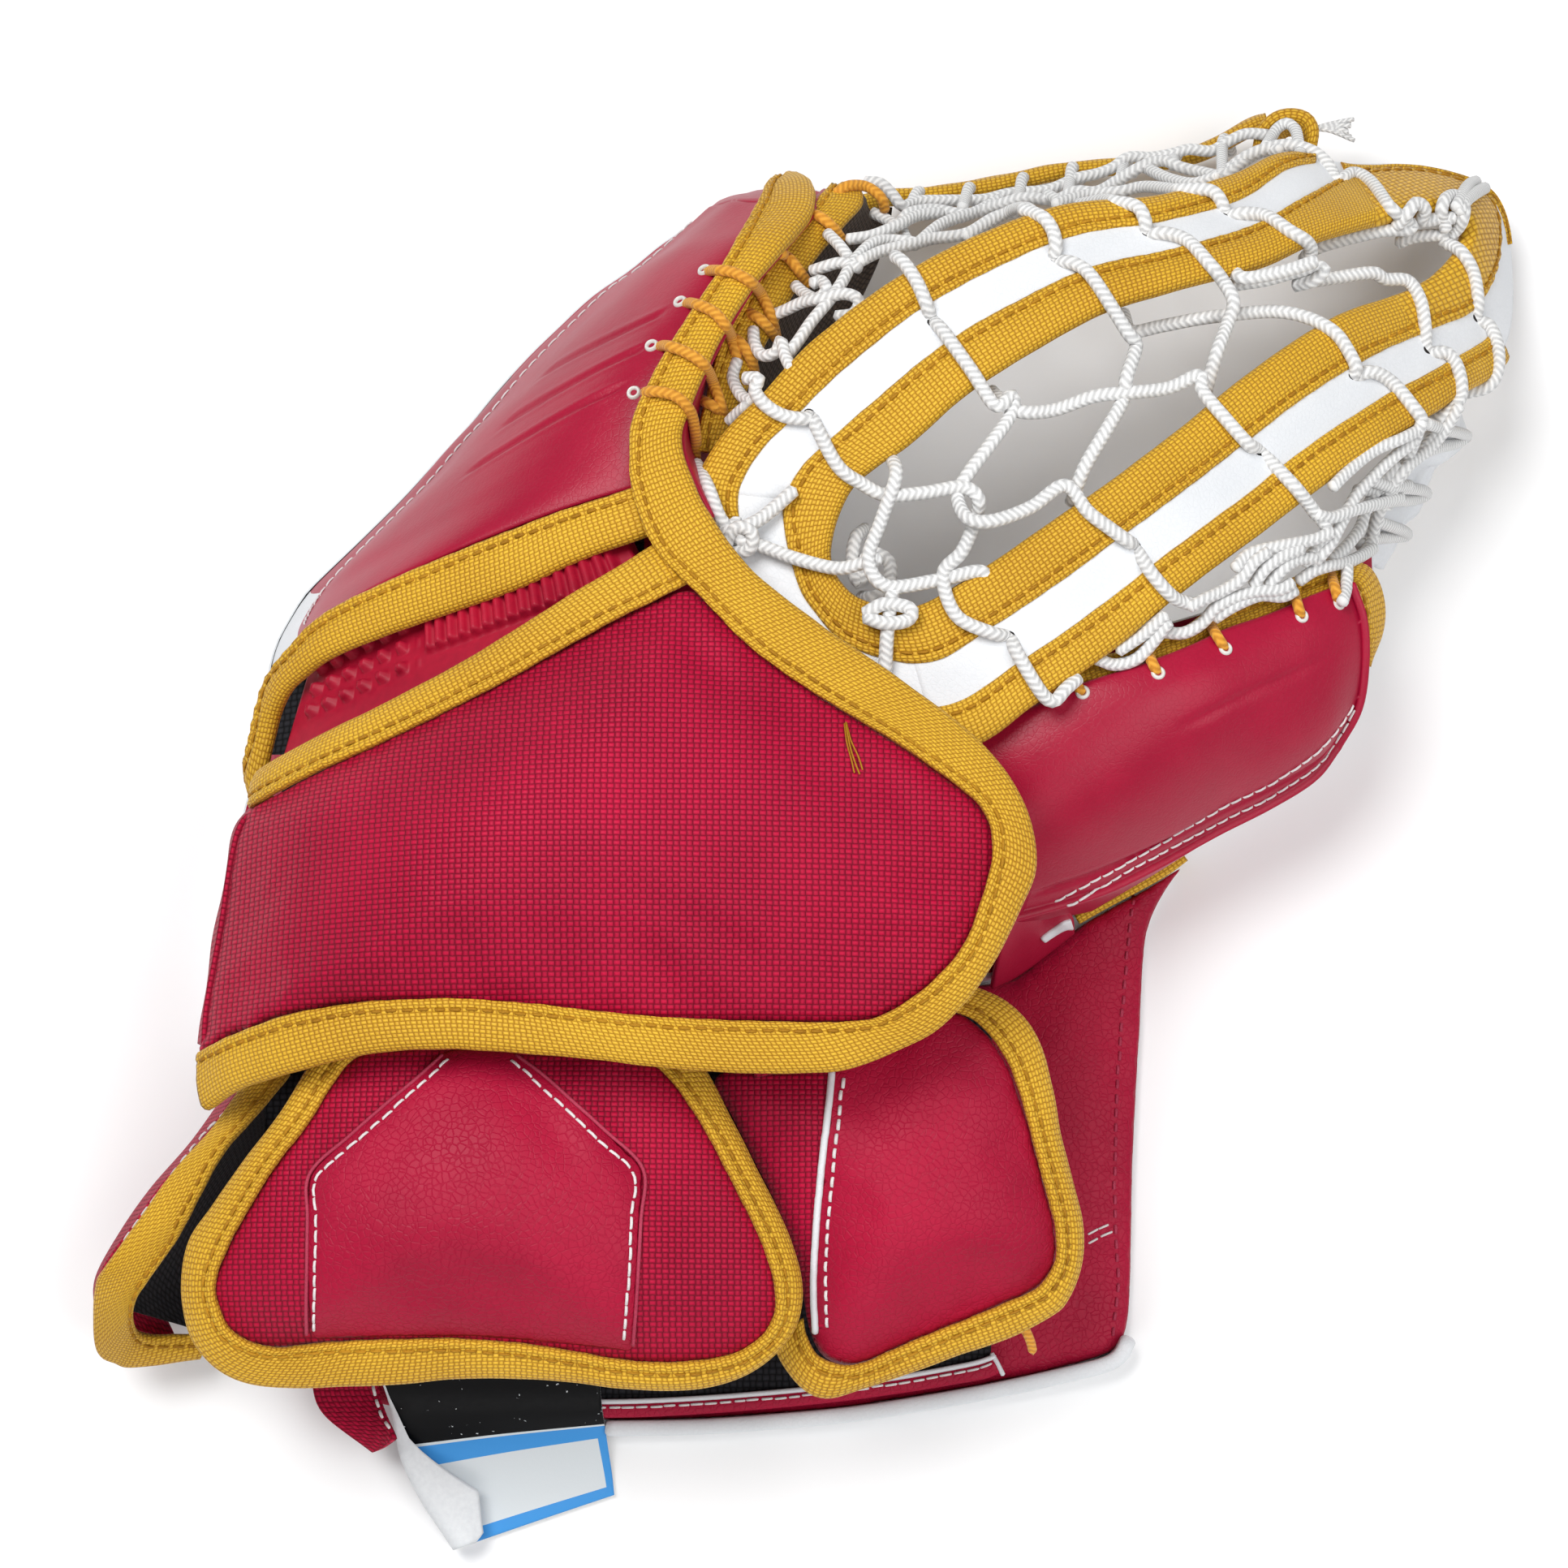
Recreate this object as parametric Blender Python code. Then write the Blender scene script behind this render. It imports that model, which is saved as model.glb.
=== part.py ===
"""Goalie catch glove, lying palm down on its catching face.

The glove is an assembly of flat-cut layers (leather, foam, board, lining), moulded
shells, padded nylon pads, folded edge bindings and laces.  Outlines are kept as
positions on a drawing sheet (u to the right, v down, in sheet units) plus a height in
millimetres; lay() turns a sheet position into metres at its own height.

Frame: +X towards the thumb and web, +Y towards the finger tips, +Z away from the
catching face.  The glove rests on z = 0, with its box centred on x = y = 0.
"""
import math

import bmesh
import bpy
import numpy as np
from mathutils import Matrix, Vector

for _o in list(bpy.data.objects):
    bpy.data.objects.remove(_o, do_unlink=True)

# ---------------------------------------------------------------- driving dimensions
MM = 0.001
SHEET_MID = 966.0                 # sheet position of the drawing's centre
SHEET_SCALE = 4102.6              # sheet units per radian of the drawing's perspective
VIEW_TILT = math.radians(80.0)    # the drawing looks down at this elevation
VIEW_DIST = 0.80                  # from this distance
VIEW_HEIGHT = 0.05                # at a point this far above the rest plane
ORIGIN_X = 0.010781
ORIGIN_Y = 0.004269

GAP = 0.3                         # clearance between neighbouring pieces, mm
LEATHER_T = 2.0                   # catching face leather
FOAM_T = 9.6                      # palm and thumb foam
LINING_T = 1.2                    # hand lining
SHELL_T = 3.4                     # back shells of fingers and thumb
STIFF_T = 2.0                     # plastic stiffeners
PAD_T = 8.5                       # padded nylon hand pad
FLAP_T = 8.0                      # padded wrist flaps
BIND_T = 5.0                      # folded edge binding, over all
WEB_T = 4.0                       # T web strips
WEB_BIND_T = 5.4                  # T web binding, over all
WEB_INNER = 0.39                  # share of the web's width under the inner binding
WEB_OUTER = 0.69                  # where the outer binding starts
LACE_R = 2.25                     # white pocket lace, radius
EDGE_LACE_R = 1.8                 # orange edge lace, radius
EYELET_R_OUT = 3.4
EYELET_R_IN = 2.2
EYELET_T = 1.0
CUFF_LEATHER_T = 2.0
CUFF_BOARD_T = 2.6
CUFF_INNER_T = 1.6
CUFF_LINING_T = 1.2
TAG_T = 0.8

# joint axes, as sheet positions with heights
BREAK_A = (985, 760, 66)          # crotch end of the break
BREAK_B = (1285, 1185, 8)         # heel end of the break
FLAP_AXIS = (600, 1302, 71)       # wrist flap root, axis along X
PAD_AXIS_A = (880, 1326, 60)      # wrist pad root
PAD_AXIS_B = (1200, 1228, 60)
TAG_AXIS = (603, 1690, 16)        # hang tag's sewn edge, axis along X


# ---------------------------------------------------------------- sheet and curve helpers
def lay(u, v, z):
    """Metres for a sheet position at height z (mm)."""
    ce, se = math.cos(VIEW_TILT), math.sin(VIEW_TILT)
    eye = Vector((0.0, -ce * VIEW_DIST, VIEW_HEIGHT + se * VIEW_DIST))
    d = (Vector((0.0, ce, -se)) * SHEET_SCALE + Vector((1.0, 0.0, 0.0)) * (u - SHEET_MID)
         + Vector((0.0, se, ce)) * (SHEET_MID - v))
    p = eye + d * ((z * MM - eye.z) / d.z)
    return Vector((p.x - ORIGIN_X, p.y - ORIGIN_Y, z * MM))


def catmull(pts, t, closed=False):
    """Point at parameter t (0 .. segments) on a Catmull-Rom curve."""
    n = len(pts)
    k = n if closed else n - 1
    i = min(int(math.floor(t)), k - 1)
    f = t - i

    def at(j):
        if closed:
            return pts[j % n]
        if j < 0:
            return pts[0] * 2.0 - pts[1]
        if j >= n:
            return pts[-1] * 2.0 - pts[-2]
        return pts[j]

    a, b, c, d = at(i - 1), at(i), at(i + 1), at(i + 2)
    return (b * 2.0 + (c - a) * f + (a * 2.0 - b * 5.0 + c * 4.0 - d) * (f * f)
            + (b * 3.0 - a - c * 3.0 + d) * (f * f * f)) * 0.5


def curve(pts, n, closed=False):
    """n points evenly spaced along the curve through sheet points."""
    p = [lay(*q) for q in pts]
    return even(p, n, closed)


def even(p, n, closed=False):
    k = len(p) if closed else len(p) - 1
    m = k * 16
    dense = [catmull(p, k * i / m, closed) for i in range(m + 1)]
    acc = [0.0]
    for a, b in zip(dense, dense[1:]):
        acc.append(acc[-1] + (b - a).length)
    out = []
    count = n if closed else n - 1
    for i in range(n):
        s = acc[-1] * i / count
        j = int(np.searchsorted(acc, s, side="right")) - 1
        j = max(0, min(j, m - 1))
        w = (s - acc[j]) / max(acc[j + 1] - acc[j], 1e-12)
        out.append(dense[j].lerp(dense[j + 1], w))
    return out


def stations(pts, per, closed=False, start=0.0, stop=None):
    """Points at equal parameter steps, so that two edges stay matched."""
    p = [lay(*q) for q in pts]
    k = len(p) if closed else len(p) - 1
    stop = k if stop is None else stop
    n = max(2, int(round((stop - start) * per)) + 1)
    out = []
    for i in range(n):
        t = start + (stop - start) * i / (n - 1)
        out.append(catmull(p, t % k if closed else t, closed))
    return out


class Patch:
    """A surface through four edge curves: low and high run along u, left and right along v."""

    def __init__(self, low, high, left, right, crown=0.0, power=0.8):
        self.low, self.high = curve(low, 41), curve(high, 41)
        self.left, self.right = curve(left, 41), curve(right, 41)
        self.crown, self.power = crown * MM, power

    @staticmethod
    def pick(c, t):
        x = max(0.0, min(1.0, t)) * (len(c) - 1)
        i = min(int(x), len(c) - 2)
        return c[i].lerp(c[i + 1], x - i)

    def at(self, u, v):
        pick = self.pick
        p = (pick(self.low, u) * (1 - v) + pick(self.high, u) * v
             + pick(self.left, v) * (1 - u) + pick(self.right, v) * u)
        p = p - (self.low[0] * ((1 - u) * (1 - v)) + self.low[-1] * (u * (1 - v))
                 + self.high[0] * ((1 - u) * v) + self.high[-1] * (u * v))
        lift = (max(0.0, 4 * u * (1 - u)) ** self.power) * (max(0.0, 4 * v * (1 - v)) ** self.power)
        return p + Vector((0, 0, self.crown * lift))

    def normal(self, u, v, h=0.02):
        a = self.at(min(1, u + h), v) - self.at(max(0, u - h), v)
        b = self.at(u, min(1, v + h)) - self.at(u, max(0, v - h))
        n = a.cross(b).normalized()
        return n if n.z > 0 else -n

    def grid(self, nu, nv, u0=0.0, u1=1.0, v0=0.0, v1=1.0):
        return [[self.at(u0 + (u1 - u0) * i / nu, v0 + (v1 - v0) * j / nv)
                 for i in range(nu + 1)] for j in range(nv + 1)]

    def nearest(self, p, n=48):
        best = None
        for i in range(n + 1):
            for j in range(n + 1):
                q = self.at(i / n, j / n)
                d = (q.x - p.x) ** 2 + (q.y - p.y) ** 2
                if best is None or d < best[0]:
                    best = (d, i / n, j / n)
        return best[1], best[2]


class Dome:
    """A crowned pad over a closed outline: the height rises from the rim to the centre."""

    def __init__(self, outline, centre, n, power=2.4):
        self.rim = curve(outline, n, closed=True)
        self.centre = lay(*centre)
        self.power = power

    def ring(self, f, inset=0.0):
        c = self.centre
        out = []
        for e in self.rim:
            q = c.lerp(e, f)
            q.z = e.z + (c.z - e.z) * (1 - f ** self.power)
            if inset:
                d = Vector((c.x - e.x, c.y - e.y, 0)).normalized()
                q = q + d * inset
            out.append(q)
        return out

    def height(self, x, y):
        """Height of the crowned surface over a plan position."""
        c = self.centre
        d = Vector((x - c.x, y - c.y))
        if d.length < 1e-9:
            return c.z
        n = len(self.rim)
        for i in range(n):
            a, b = self.rim[i], self.rim[(i + 1) % n]
            ax, ay, bx, by = a.x - c.x, a.y - c.y, b.x - c.x, b.y - c.y
            den = d.x * (by - ay) - d.y * (bx - ax)
            if abs(den) < 1e-15:
                continue
            t = (ax * (by - ay) - ay * (bx - ax)) / den
            s = (ax * d.y - ay * d.x) / den
            if t > 0 and -1e-6 <= s <= 1 + 1e-6:
                f = min(1.0, 1.0 / t)
                ez = a.z + (b.z - a.z) * s
                return ez + (c.z - ez) * (1 - f ** self.power)
        return c.z


# ---------------------------------------------------------------- materials
PAINT = {
    "red_leather": ((0.47, 0.010, 0.045), 0.42, 0.0),
    "red_nylon": ((0.40, 0.008, 0.040), 0.70, 0.0),
    "yellow_binding": ((0.72, 0.36, 0.018), 0.72, 0.0),
    "white_leather": ((0.86, 0.87, 0.90), 0.45, 0.0),
    "white_lace": ((0.70, 0.70, 0.68), 0.80, 0.0),
    "orange_lace": ((0.72, 0.30, 0.03), 0.75, 0.0),
    "black_lining": ((0.012, 0.012, 0.014), 0.85, 0.0),
    "black_foam": ((0.03, 0.03, 0.035), 0.90, 0.0),
    "white_plastic": ((0.80, 0.80, 0.78), 0.40, 0.0),
    "red_rubber": ((0.42, 0.012, 0.040), 0.50, 0.0),
    "tag_sheet": ((0.80, 0.82, 0.84), 0.55, 0.0),
}


def paint(obj, key):
    rgb, rough, metal = PAINT[key]
    m = bpy.data.materials.new(obj.name + "_finish")
    m.use_nodes = True
    b = m.node_tree.nodes["Principled BSDF"]
    b.inputs["Base Color"].default_value = (*rgb, 1.0)
    b.inputs["Roughness"].default_value = rough
    b.inputs["Metallic"].default_value = metal
    obj.data.materials.append(m)


AXES = {}


def axis_empty(name, where):
    e = bpy.data.objects.new(name, None)
    e.empty_display_size = 0.02
    e.location = where
    bpy.context.scene.collection.objects.link(e)
    AXES[name] = e
    return e


def place(name, me, key, axis=None):
    """Link a mesh as a named piece; a moving piece hangs on the empty on its axis."""
    o = bpy.data.objects.new(name, me)
    bpy.context.scene.collection.objects.link(o)
    if axis:
        e = AXES[axis]
        o.parent = e
        o.matrix_parent_inverse = Matrix.Translation(e.location).inverted()
    paint(o, key)
    return o


def finish(name, bm, key, axis=None):
    bmesh.ops.recalc_face_normals(bm, faces=bm.faces[:])
    vol = bm.calc_volume(signed=True)
    if vol < 0:
        bmesh.ops.reverse_faces(bm, faces=bm.faces[:])
    me = bpy.data.meshes.new(name)
    bm.to_mesh(me)
    bm.free()
    me.shade_smooth()
    me.set_sharp_from_angle(angle=math.radians(40))
    return place(name, me, key, axis)


# ---------------------------------------------------------------- solid builders
def sheet(name, rows, top, bottom, key, axis=None, by_normal=False):
    """A closed sheet over a grid of points, between two offsets (mm)."""
    nv, nu = len(rows), len(rows[0])

    def nrm(i, j):
        if not by_normal:
            return Vector((0, 0, 1))
        a = rows[j][min(nu - 1, i + 1)] - rows[j][max(0, i - 1)]
        b = rows[min(nv - 1, j + 1)][i] - rows[max(0, j - 1)][i]
        return a.cross(b).normalized()

    bm = bmesh.new()
    def flat(p):
        return Vector((p.x, p.y, max(p.z, 0.0)))

    up = [[bm.verts.new(flat(rows[j][i]) + nrm(i, j) * (top * MM)) for i in range(nu)] for j in range(nv)]
    dn = [[bm.verts.new(flat(rows[j][i]) + nrm(i, j) * (bottom * MM)) for i in range(nu)] for j in range(nv)]
    for j in range(nv - 1):
        for i in range(nu - 1):
            bm.faces.new((up[j][i], up[j][i + 1], up[j + 1][i + 1], up[j + 1][i]))
            bm.faces.new((dn[j][i], dn[j + 1][i], dn[j + 1][i + 1], dn[j][i + 1]))
    rim_u = ([up[0][i] for i in range(nu)] + [up[j][nu - 1] for j in range(1, nv)]
             + [up[nv - 1][i] for i in range(nu - 2, -1, -1)] + [up[j][0] for j in range(nv - 2, 0, -1)])
    rim_d = ([dn[0][i] for i in range(nu)] + [dn[j][nu - 1] for j in range(1, nv)]
             + [dn[nv - 1][i] for i in range(nu - 2, -1, -1)] + [dn[j][0] for j in range(nv - 2, 0, -1)])
    m = len(rim_u)
    for k in range(m):
        bm.faces.new((rim_u[k], rim_d[k], rim_d[(k + 1) % m], rim_u[(k + 1) % m]))
    return finish(name, bm, key, axis)


def ribbon(name, a, b, thick, key, axis=None, closed=False, round_edge=True, lift=0.0):
    """A strip between two matched edges, with a flattened oval section."""
    n = len(a)
    bm = bmesh.new()
    loops = []
    for i in range(n):
        j0, j1 = (i - 1, (i + 1) % n) if closed else (max(0, i - 1), min(n - 1, i + 1))
        t = (a[j1] + b[j1] - a[j0] - b[j0]).normalized()
        w = (b[i] - a[i])
        nn = t.cross(w).normalized()
        if nn.z < -0.2 or (abs(nn.z) <= 0.2 and loops and nn.dot(loops[-1][1]) < 0):
            nn = -nn
        h = nn * (thick * MM * 0.5)
        lf = nn * (lift * MM)
        if round_edge:
            pts = [a[i], a[i] + w * 0.18 + h, a[i] + w * 0.82 + h, b[i],
                   a[i] + w * 0.82 - h, a[i] + w * 0.18 - h]
        else:
            pts = [a[i] + h, b[i] + h, b[i] - h, a[i] - h]
        loops.append(([bm.verts.new(p + lf) for p in pts], nn))
    k = len(loops[0][0])
    last = n if closed else n - 1
    for i in range(last):
        p, q = loops[i][0], loops[(i + 1) % n][0]
        for s in range(k):
            bm.faces.new((p[s], p[(s + 1) % k], q[(s + 1) % k], q[s]))
    if not closed:
        bm.faces.new(loops[0][0])
        bm.faces.new(loops[-1][0][::-1])
    return finish(name, bm, key, axis)


def dome_pad(name, dome, rings, thick, key, axis=None, inset=GAP, under=0.55):
    """A crowned pad: a domed top, a flatter underside and an upright rim."""
    bm = bmesh.new()
    n = len(dome.rim)
    tops = [[bm.verts.new(p) for p in dome.ring(f, inset * MM if f == rings[0] else 0.0)] for f in rings]
    lows = []
    for f in rings:
        row = []
        for p, e in zip(dome.ring(f, inset * MM if f == rings[0] else 0.0), dome.rim):
            z = e.z - thick * MM + (p.z - e.z) * under
            row.append(bm.verts.new(Vector((p.x, p.y, min(z, p.z - 2.0 * MM)))))
        lows.append(row)
    c = dome.centre
    ct = bm.verts.new(c)
    mean = sum(e.z for e in dome.rim) / n
    cb = bm.verts.new(Vector((c.x, c.y, mean - thick * MM + (c.z - mean) * under)))
    for k in range(len(rings) - 1):
        for i in range(n):
            j = (i + 1) % n
            bm.faces.new((tops[k][i], tops[k][j], tops[k + 1][j], tops[k + 1][i]))
            bm.faces.new((lows[k][i], lows[k + 1][i], lows[k + 1][j], lows[k][j]))
    for i in range(n):
        j = (i + 1) % n
        bm.faces.new((tops[-1][i], tops[-1][j], ct))
        bm.faces.new((lows[-1][j], lows[-1][i], cb))
        bm.faces.new((tops[0][i], lows[0][i], lows[0][j], tops[0][j]))
    return finish(name, bm, key, axis)


def plate(name, pts, z0, z1, key, axis=None):
    """A flat-cut layer: an outline in plan, extruded between two heights (mm)."""
    bm = bmesh.new()
    vs = [bm.verts.new((p.x, p.y, z0 * MM)) for p in pts]
    f = bm.faces.new(vs)
    ex = bmesh.ops.extrude_face_region(bm, geom=[f])
    moved = [g for g in ex["geom"] if isinstance(g, bmesh.types.BMVert)]
    bmesh.ops.translate(bm, vec=(0, 0, (z1 - z0) * MM), verts=moved)
    return finish(name, bm, key, axis)


def lace(name, pts, radius, key, axis=None, spacing=9.0, sides=2):
    """A cord along a smooth route, as a bevelled curve with filled ends."""
    length = sum((b - a).length for a, b in zip(pts, pts[1:]))
    n = max(4, int(length / (spacing * MM)))
    route = even(pts, n)
    cu = bpy.data.curves.new(name, "CURVE")
    cu.dimensions = "3D"
    sp = cu.splines.new("POLY")
    sp.points.add(len(route) - 1)
    for p, q in zip(sp.points, route):
        p.co = (*q, 1.0)
    cu.bevel_depth = radius * MM
    cu.bevel_resolution = sides
    cu.use_fill_caps = True
    cu.resolution_u = 1
    cu.render_resolution_u = 0
    return place(name, cu, key, axis)


def washer(name, centre, normal, key, axis=None):
    """A flat ring standing on its shell, spun around the shell's normal there."""
    z = normal.normalized()
    x = z.orthogonal().normalized()
    bm = bmesh.new()
    prof = [(EYELET_R_IN, 0.0), (EYELET_R_OUT, 0.0), (EYELET_R_OUT, EYELET_T), (EYELET_R_IN, EYELET_T)]
    vs = [bm.verts.new(centre + x * (r * MM) + z * ((h + 0.6) * MM)) for r, h in prof]
    es = [bm.edges.new((vs[i], vs[(i + 1) % 4])) for i in range(4)]
    bmesh.ops.spin(bm, geom=vs + es, cent=centre, axis=z, angle=2 * math.pi, steps=12, use_merge=True,
                   use_duplicate=False)
    bmesh.ops.remove_doubles(bm, verts=bm.verts[:], dist=0.00001)
    return finish(name, bm, key, axis)


def shift(c, d):
    return [p + d for p in c]


# ---------------------------------------------------------------- joint axes
axis_empty("web_fold_axis", lay(*BREAK_A))
axis_empty("thumb_fold_axis", lay(*BREAK_B))
axis_empty("wrist_flap_axis", lay(*FLAP_AXIS))
axis_empty("wrist_pad_axis", lay(*PAD_AXIS_A))
axis_empty("tag_axis", lay(*TAG_AXIS))

# ---------------------------------------------------------------- palm and finger half
palm = Patch(
    low=[(290, 1292, 0), (600, 1264, 0), (950, 1232, 0), (1225, 1205, 2)],
    high=[(905, 246, 3), (985, 228, 12), (1065, 238, 28)],
    left=[(290, 1292, 0), (288, 1150, 0), (300, 1020, 0), (325, 930, 0), (345, 830, 0), (385, 715, 0),
          (455, 635, 0), (540, 560, 0), (620, 487, 0), (700, 408, 0), (790, 305, 0), (850, 262, 0),
          (905, 246, 3)],
    right=[(1225, 1205, 2), (1130, 1060, 17), (1030, 905, 35), (950, 780, 48), (905, 660, 51),
           (895, 560, 51), (920, 450, 49), (985, 330, 41), (1065, 238, 28)],
)
g = palm.grid(8, 10)
z0 = 0.0
sheet("catch_leather", g, LEATHER_T, 0.0, "white_leather")
z0 = LEATHER_T + GAP
sheet("palm_foam", g, z0 + FOAM_T, z0, "black_foam")
z0 += FOAM_T + GAP
sheet("palm_lining", g, z0 + LINING_T, z0, "black_lining")
PALM_TOP = z0 + LINING_T

shell = Patch(
    low=[(341, 838, 44), (366, 792, 53), (399, 757, 60), (459, 723, 67), (544, 685, 75), (630, 650, 81),
         (698, 625, 85), (779, 600, 89)],
    high=[(870, 254, 35), (897, 249, 50), (920, 254, 68)],
    left=[(341, 838, 44), (338, 815, 35), (346, 795, 29), (372, 757, 26), (406, 697, 25), (457, 637, 25),
          (509, 586, 25), (560, 543, 25), (620, 490, 25), (700, 408, 25), (785, 313, 25), (830, 272, 28),
          (870, 254, 35)],
    right=[(779, 600, 89), (777, 569, 89), (781, 519, 89), (804, 466, 88), (838, 408, 86), (879, 349, 82),
           (911, 295, 77), (920, 254, 68)],
    crown=11.0,
)
sg = shell.grid(9, 10)
sheet("finger_shell", sg, 0.0, -SHELL_T, "red_leather")
sheet("finger_stiffener", [row[2:9] for row in sg[1:9]], -SHELL_T - GAP, -SHELL_T - GAP - STIFF_T, "white_plastic")

lower_a = [(309, 945, 40), (314, 900, 42), (333, 838, 46), (363, 796, 54), (397, 761, 60), (457, 727, 67),
           (543, 689, 75), (629, 654, 81), (697, 629, 85), (776, 604, 89)]
lower_b = [(322, 985, 44), (337, 905, 46), (350, 860, 52), (375, 835, 56), (410, 811, 61), (470, 786, 67),
           (550, 758, 73), (635, 728, 79), (714, 692, 84), (793, 664, 89)]
ribbon("finger_lower_binding", stations(lower_a, 2), stations(lower_b, 2), BIND_T, "yellow_binding")

# one binding runs from the finger tip along the pocket edge and around the hand pad
long_a = [(1003, 232, 62), (1000, 262, 66), (961, 309, 77), (927, 351, 82), (894, 410, 86), (869, 460, 88),
          (848, 510, 89), (840, 544, 90), (852, 586, 91), (877, 636, 93), (927, 703, 94), (1011, 770, 95),
          (1095, 828, 95), (1195, 904, 94), (1246, 962, 93), (1271, 1021, 92), (1275, 1075, 91),
          (1254, 1126, 90), (1229, 1177, 89), (1194, 1229, 89), (1151, 1271, 90), (1100, 1297, 91),
          (1040, 1319, 92), (971, 1323, 93), (886, 1321, 93), (800, 1314, 93), (714, 1304, 92),
          (603, 1295, 91), (543, 1293, 90), (457, 1299, 86), (371, 1319, 80), (300, 1342, 70), (258, 1368, 60)]
long_b = [(948, 238, 56), (927, 258, 67), (919, 293, 77), (886, 351, 82), (844, 410, 86), (810, 468, 88),
          (787, 519, 89), (783, 569, 90), (785, 611, 91), (810, 678, 93), (852, 728, 95), (927, 803, 97),
          (1011, 862, 98), (1095, 912, 98), (1179, 971, 97), (1212, 1005, 96), (1220, 1046, 95),
          (1210, 1095, 94), (1186, 1160, 93), (1143, 1211, 93), (1091, 1246, 94), (1057, 1256, 94),
          (1000, 1258, 95), (930, 1256, 96), (850, 1253, 96), (770, 1247, 96), (690, 1238, 95),
          (603, 1230, 94), (530, 1229, 92), (440, 1234, 88), (354, 1250, 82), (286, 1276, 72), (251, 1295, 62)]
ribbon("backhand_binding", stations(long_a, 1.5), stations(long_b, 1.5), BIND_T, "yellow_binding")

panel_a = [(1068, 246, 50), (1005, 318, 61), (960, 385, 66), (925, 455, 69), (905, 520, 70), (893, 560, 70)]
panel_b = [(1020, 246, 52), (972, 300, 62), (930, 368, 67), (896, 440, 70), (877, 510, 71), (868, 555, 71)]
ribbon("finger_panel_binding", stations(panel_a, 3), stations(panel_b, 3), BIND_T, "yellow_binding")

rib_a = [(372, 805, 36), (430, 775, 44), (520, 730, 54), (610, 695, 62), (700, 660, 69), (765, 640, 74)]
rib_b = [(345, 960, 36), (420, 925, 50), (520, 870, 62), (620, 815, 70), (720, 760, 76), (800, 715, 79)]
ribbon("finger_back_pad", stations(rib_a, 3), stations(rib_b, 3), 5.0, "red_rubber", round_edge=False)

# elastic finger loop sewn over the palm lining
rise = [math.sin(math.pi * i / 8) for i in range(9)]
fl = [[palm.at(0.34 + 0.36 * i / 8, v) + Vector((0, 0, (PALM_TOP + 1.6 + 16.0 * rise[i]) * MM)) for i in range(9)]
      for v in (0.63, 0.69)]
ribbon("finger_loop", fl[0], fl[1], 1.6, "black_lining", round_edge=False)

for k, (u, v) in enumerate([(868, 333), (838, 372), (803, 426), (781, 484)], 1):
    uu, vv = shell.nearest(lay(u, v, 84))
    uu = min(uu, 0.93)
    washer(f"finger_eyelet_{k}", shell.at(uu, vv), shell.normal(uu, vv), "white_plastic")

edge_route = [(866, 336, 91), (900, 352, 93.5), (943, 378, 88), (953, 404, 84), (920, 402, 92),
              (880, 380, 94), (842, 376, 94), (870, 396, 95.5), (907, 425, 92), (917, 446, 86),
              (880, 440, 94), (840, 424, 96), (806, 430, 96), (838, 446, 97), (884, 478, 94), (890, 500, 90),
              (850, 486, 95.5), (812, 478, 97), (788, 488, 97)]
lace("finger_edge_lace", [lay(*p) for p in edge_route], EDGE_LACE_R, "orange_lace", spacing=7.0)

# ---------------------------------------------------------------- hand pad on the back of the hand
pad = Dome(
    outline=[(322, 995, 60), (389, 959, 73), (500, 908, 83), (594, 861, 89), (680, 814, 92), (766, 766, 94),
             (830, 737, 95), (854, 738, 95), (925, 806, 97), (1009, 866, 98), (1093, 916, 98), (1176, 975, 97),
             (1208, 1008, 96), (1216, 1046, 95), (1206, 1095, 94), (1182, 1159, 93), (1140, 1208, 93),
             (1089, 1243, 94), (1056, 1253, 94), (1000, 1255, 95), (930, 1253, 96), (850, 1250, 96),
             (770, 1244, 96), (690, 1235, 95), (603, 1227, 94), (530, 1226, 92), (440, 1231, 88),
             (354, 1247, 82), (286, 1272, 72), (253, 1290, 62), (256, 1237, 58), (273, 1143, 56),
             (286, 1057, 56), (298, 1014, 57)],
    centre=(700, 1040, 107), n=44, power=2.4)
dome_pad("hand_pad", pad, [1.0, 0.92, 0.7, 0.4], PAD_T, "red_nylon", inset=0.6)

top_a = [(333, 943, 58), (406, 903, 71), (483, 864, 79), (577, 813, 86), (646, 770, 89), (714, 727, 91),
         (765, 697, 92), (790, 681, 92.5)]
top_b = [(322, 990, 60), (389, 955, 73), (500, 904, 83), (594, 857, 89), (680, 810, 92), (755, 768, 94),
         (800, 746, 94.5), (828, 732, 95)]
ribbon("hand_pad_top_binding", stations(top_a, 3), stations(top_b, 3), BIND_T, "yellow_binding")

wall_a = [(318, 992, 44), (298, 1022, 44), (286, 1070, 43), (274, 1143, 43), (259, 1237, 44), (254, 1286, 46)]
wall_b = [(326, 992, 15.5), (308, 1032, 15.5), (299, 1080, 15.5), (295, 1150, 15.5), (293, 1220, 15.5),
          (293, 1284, 15.5)]
ribbon("hand_side_panel", stations(wall_a, 3), stations(wall_b, 3), 3.0, "red_nylon", round_edge=False)

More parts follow.
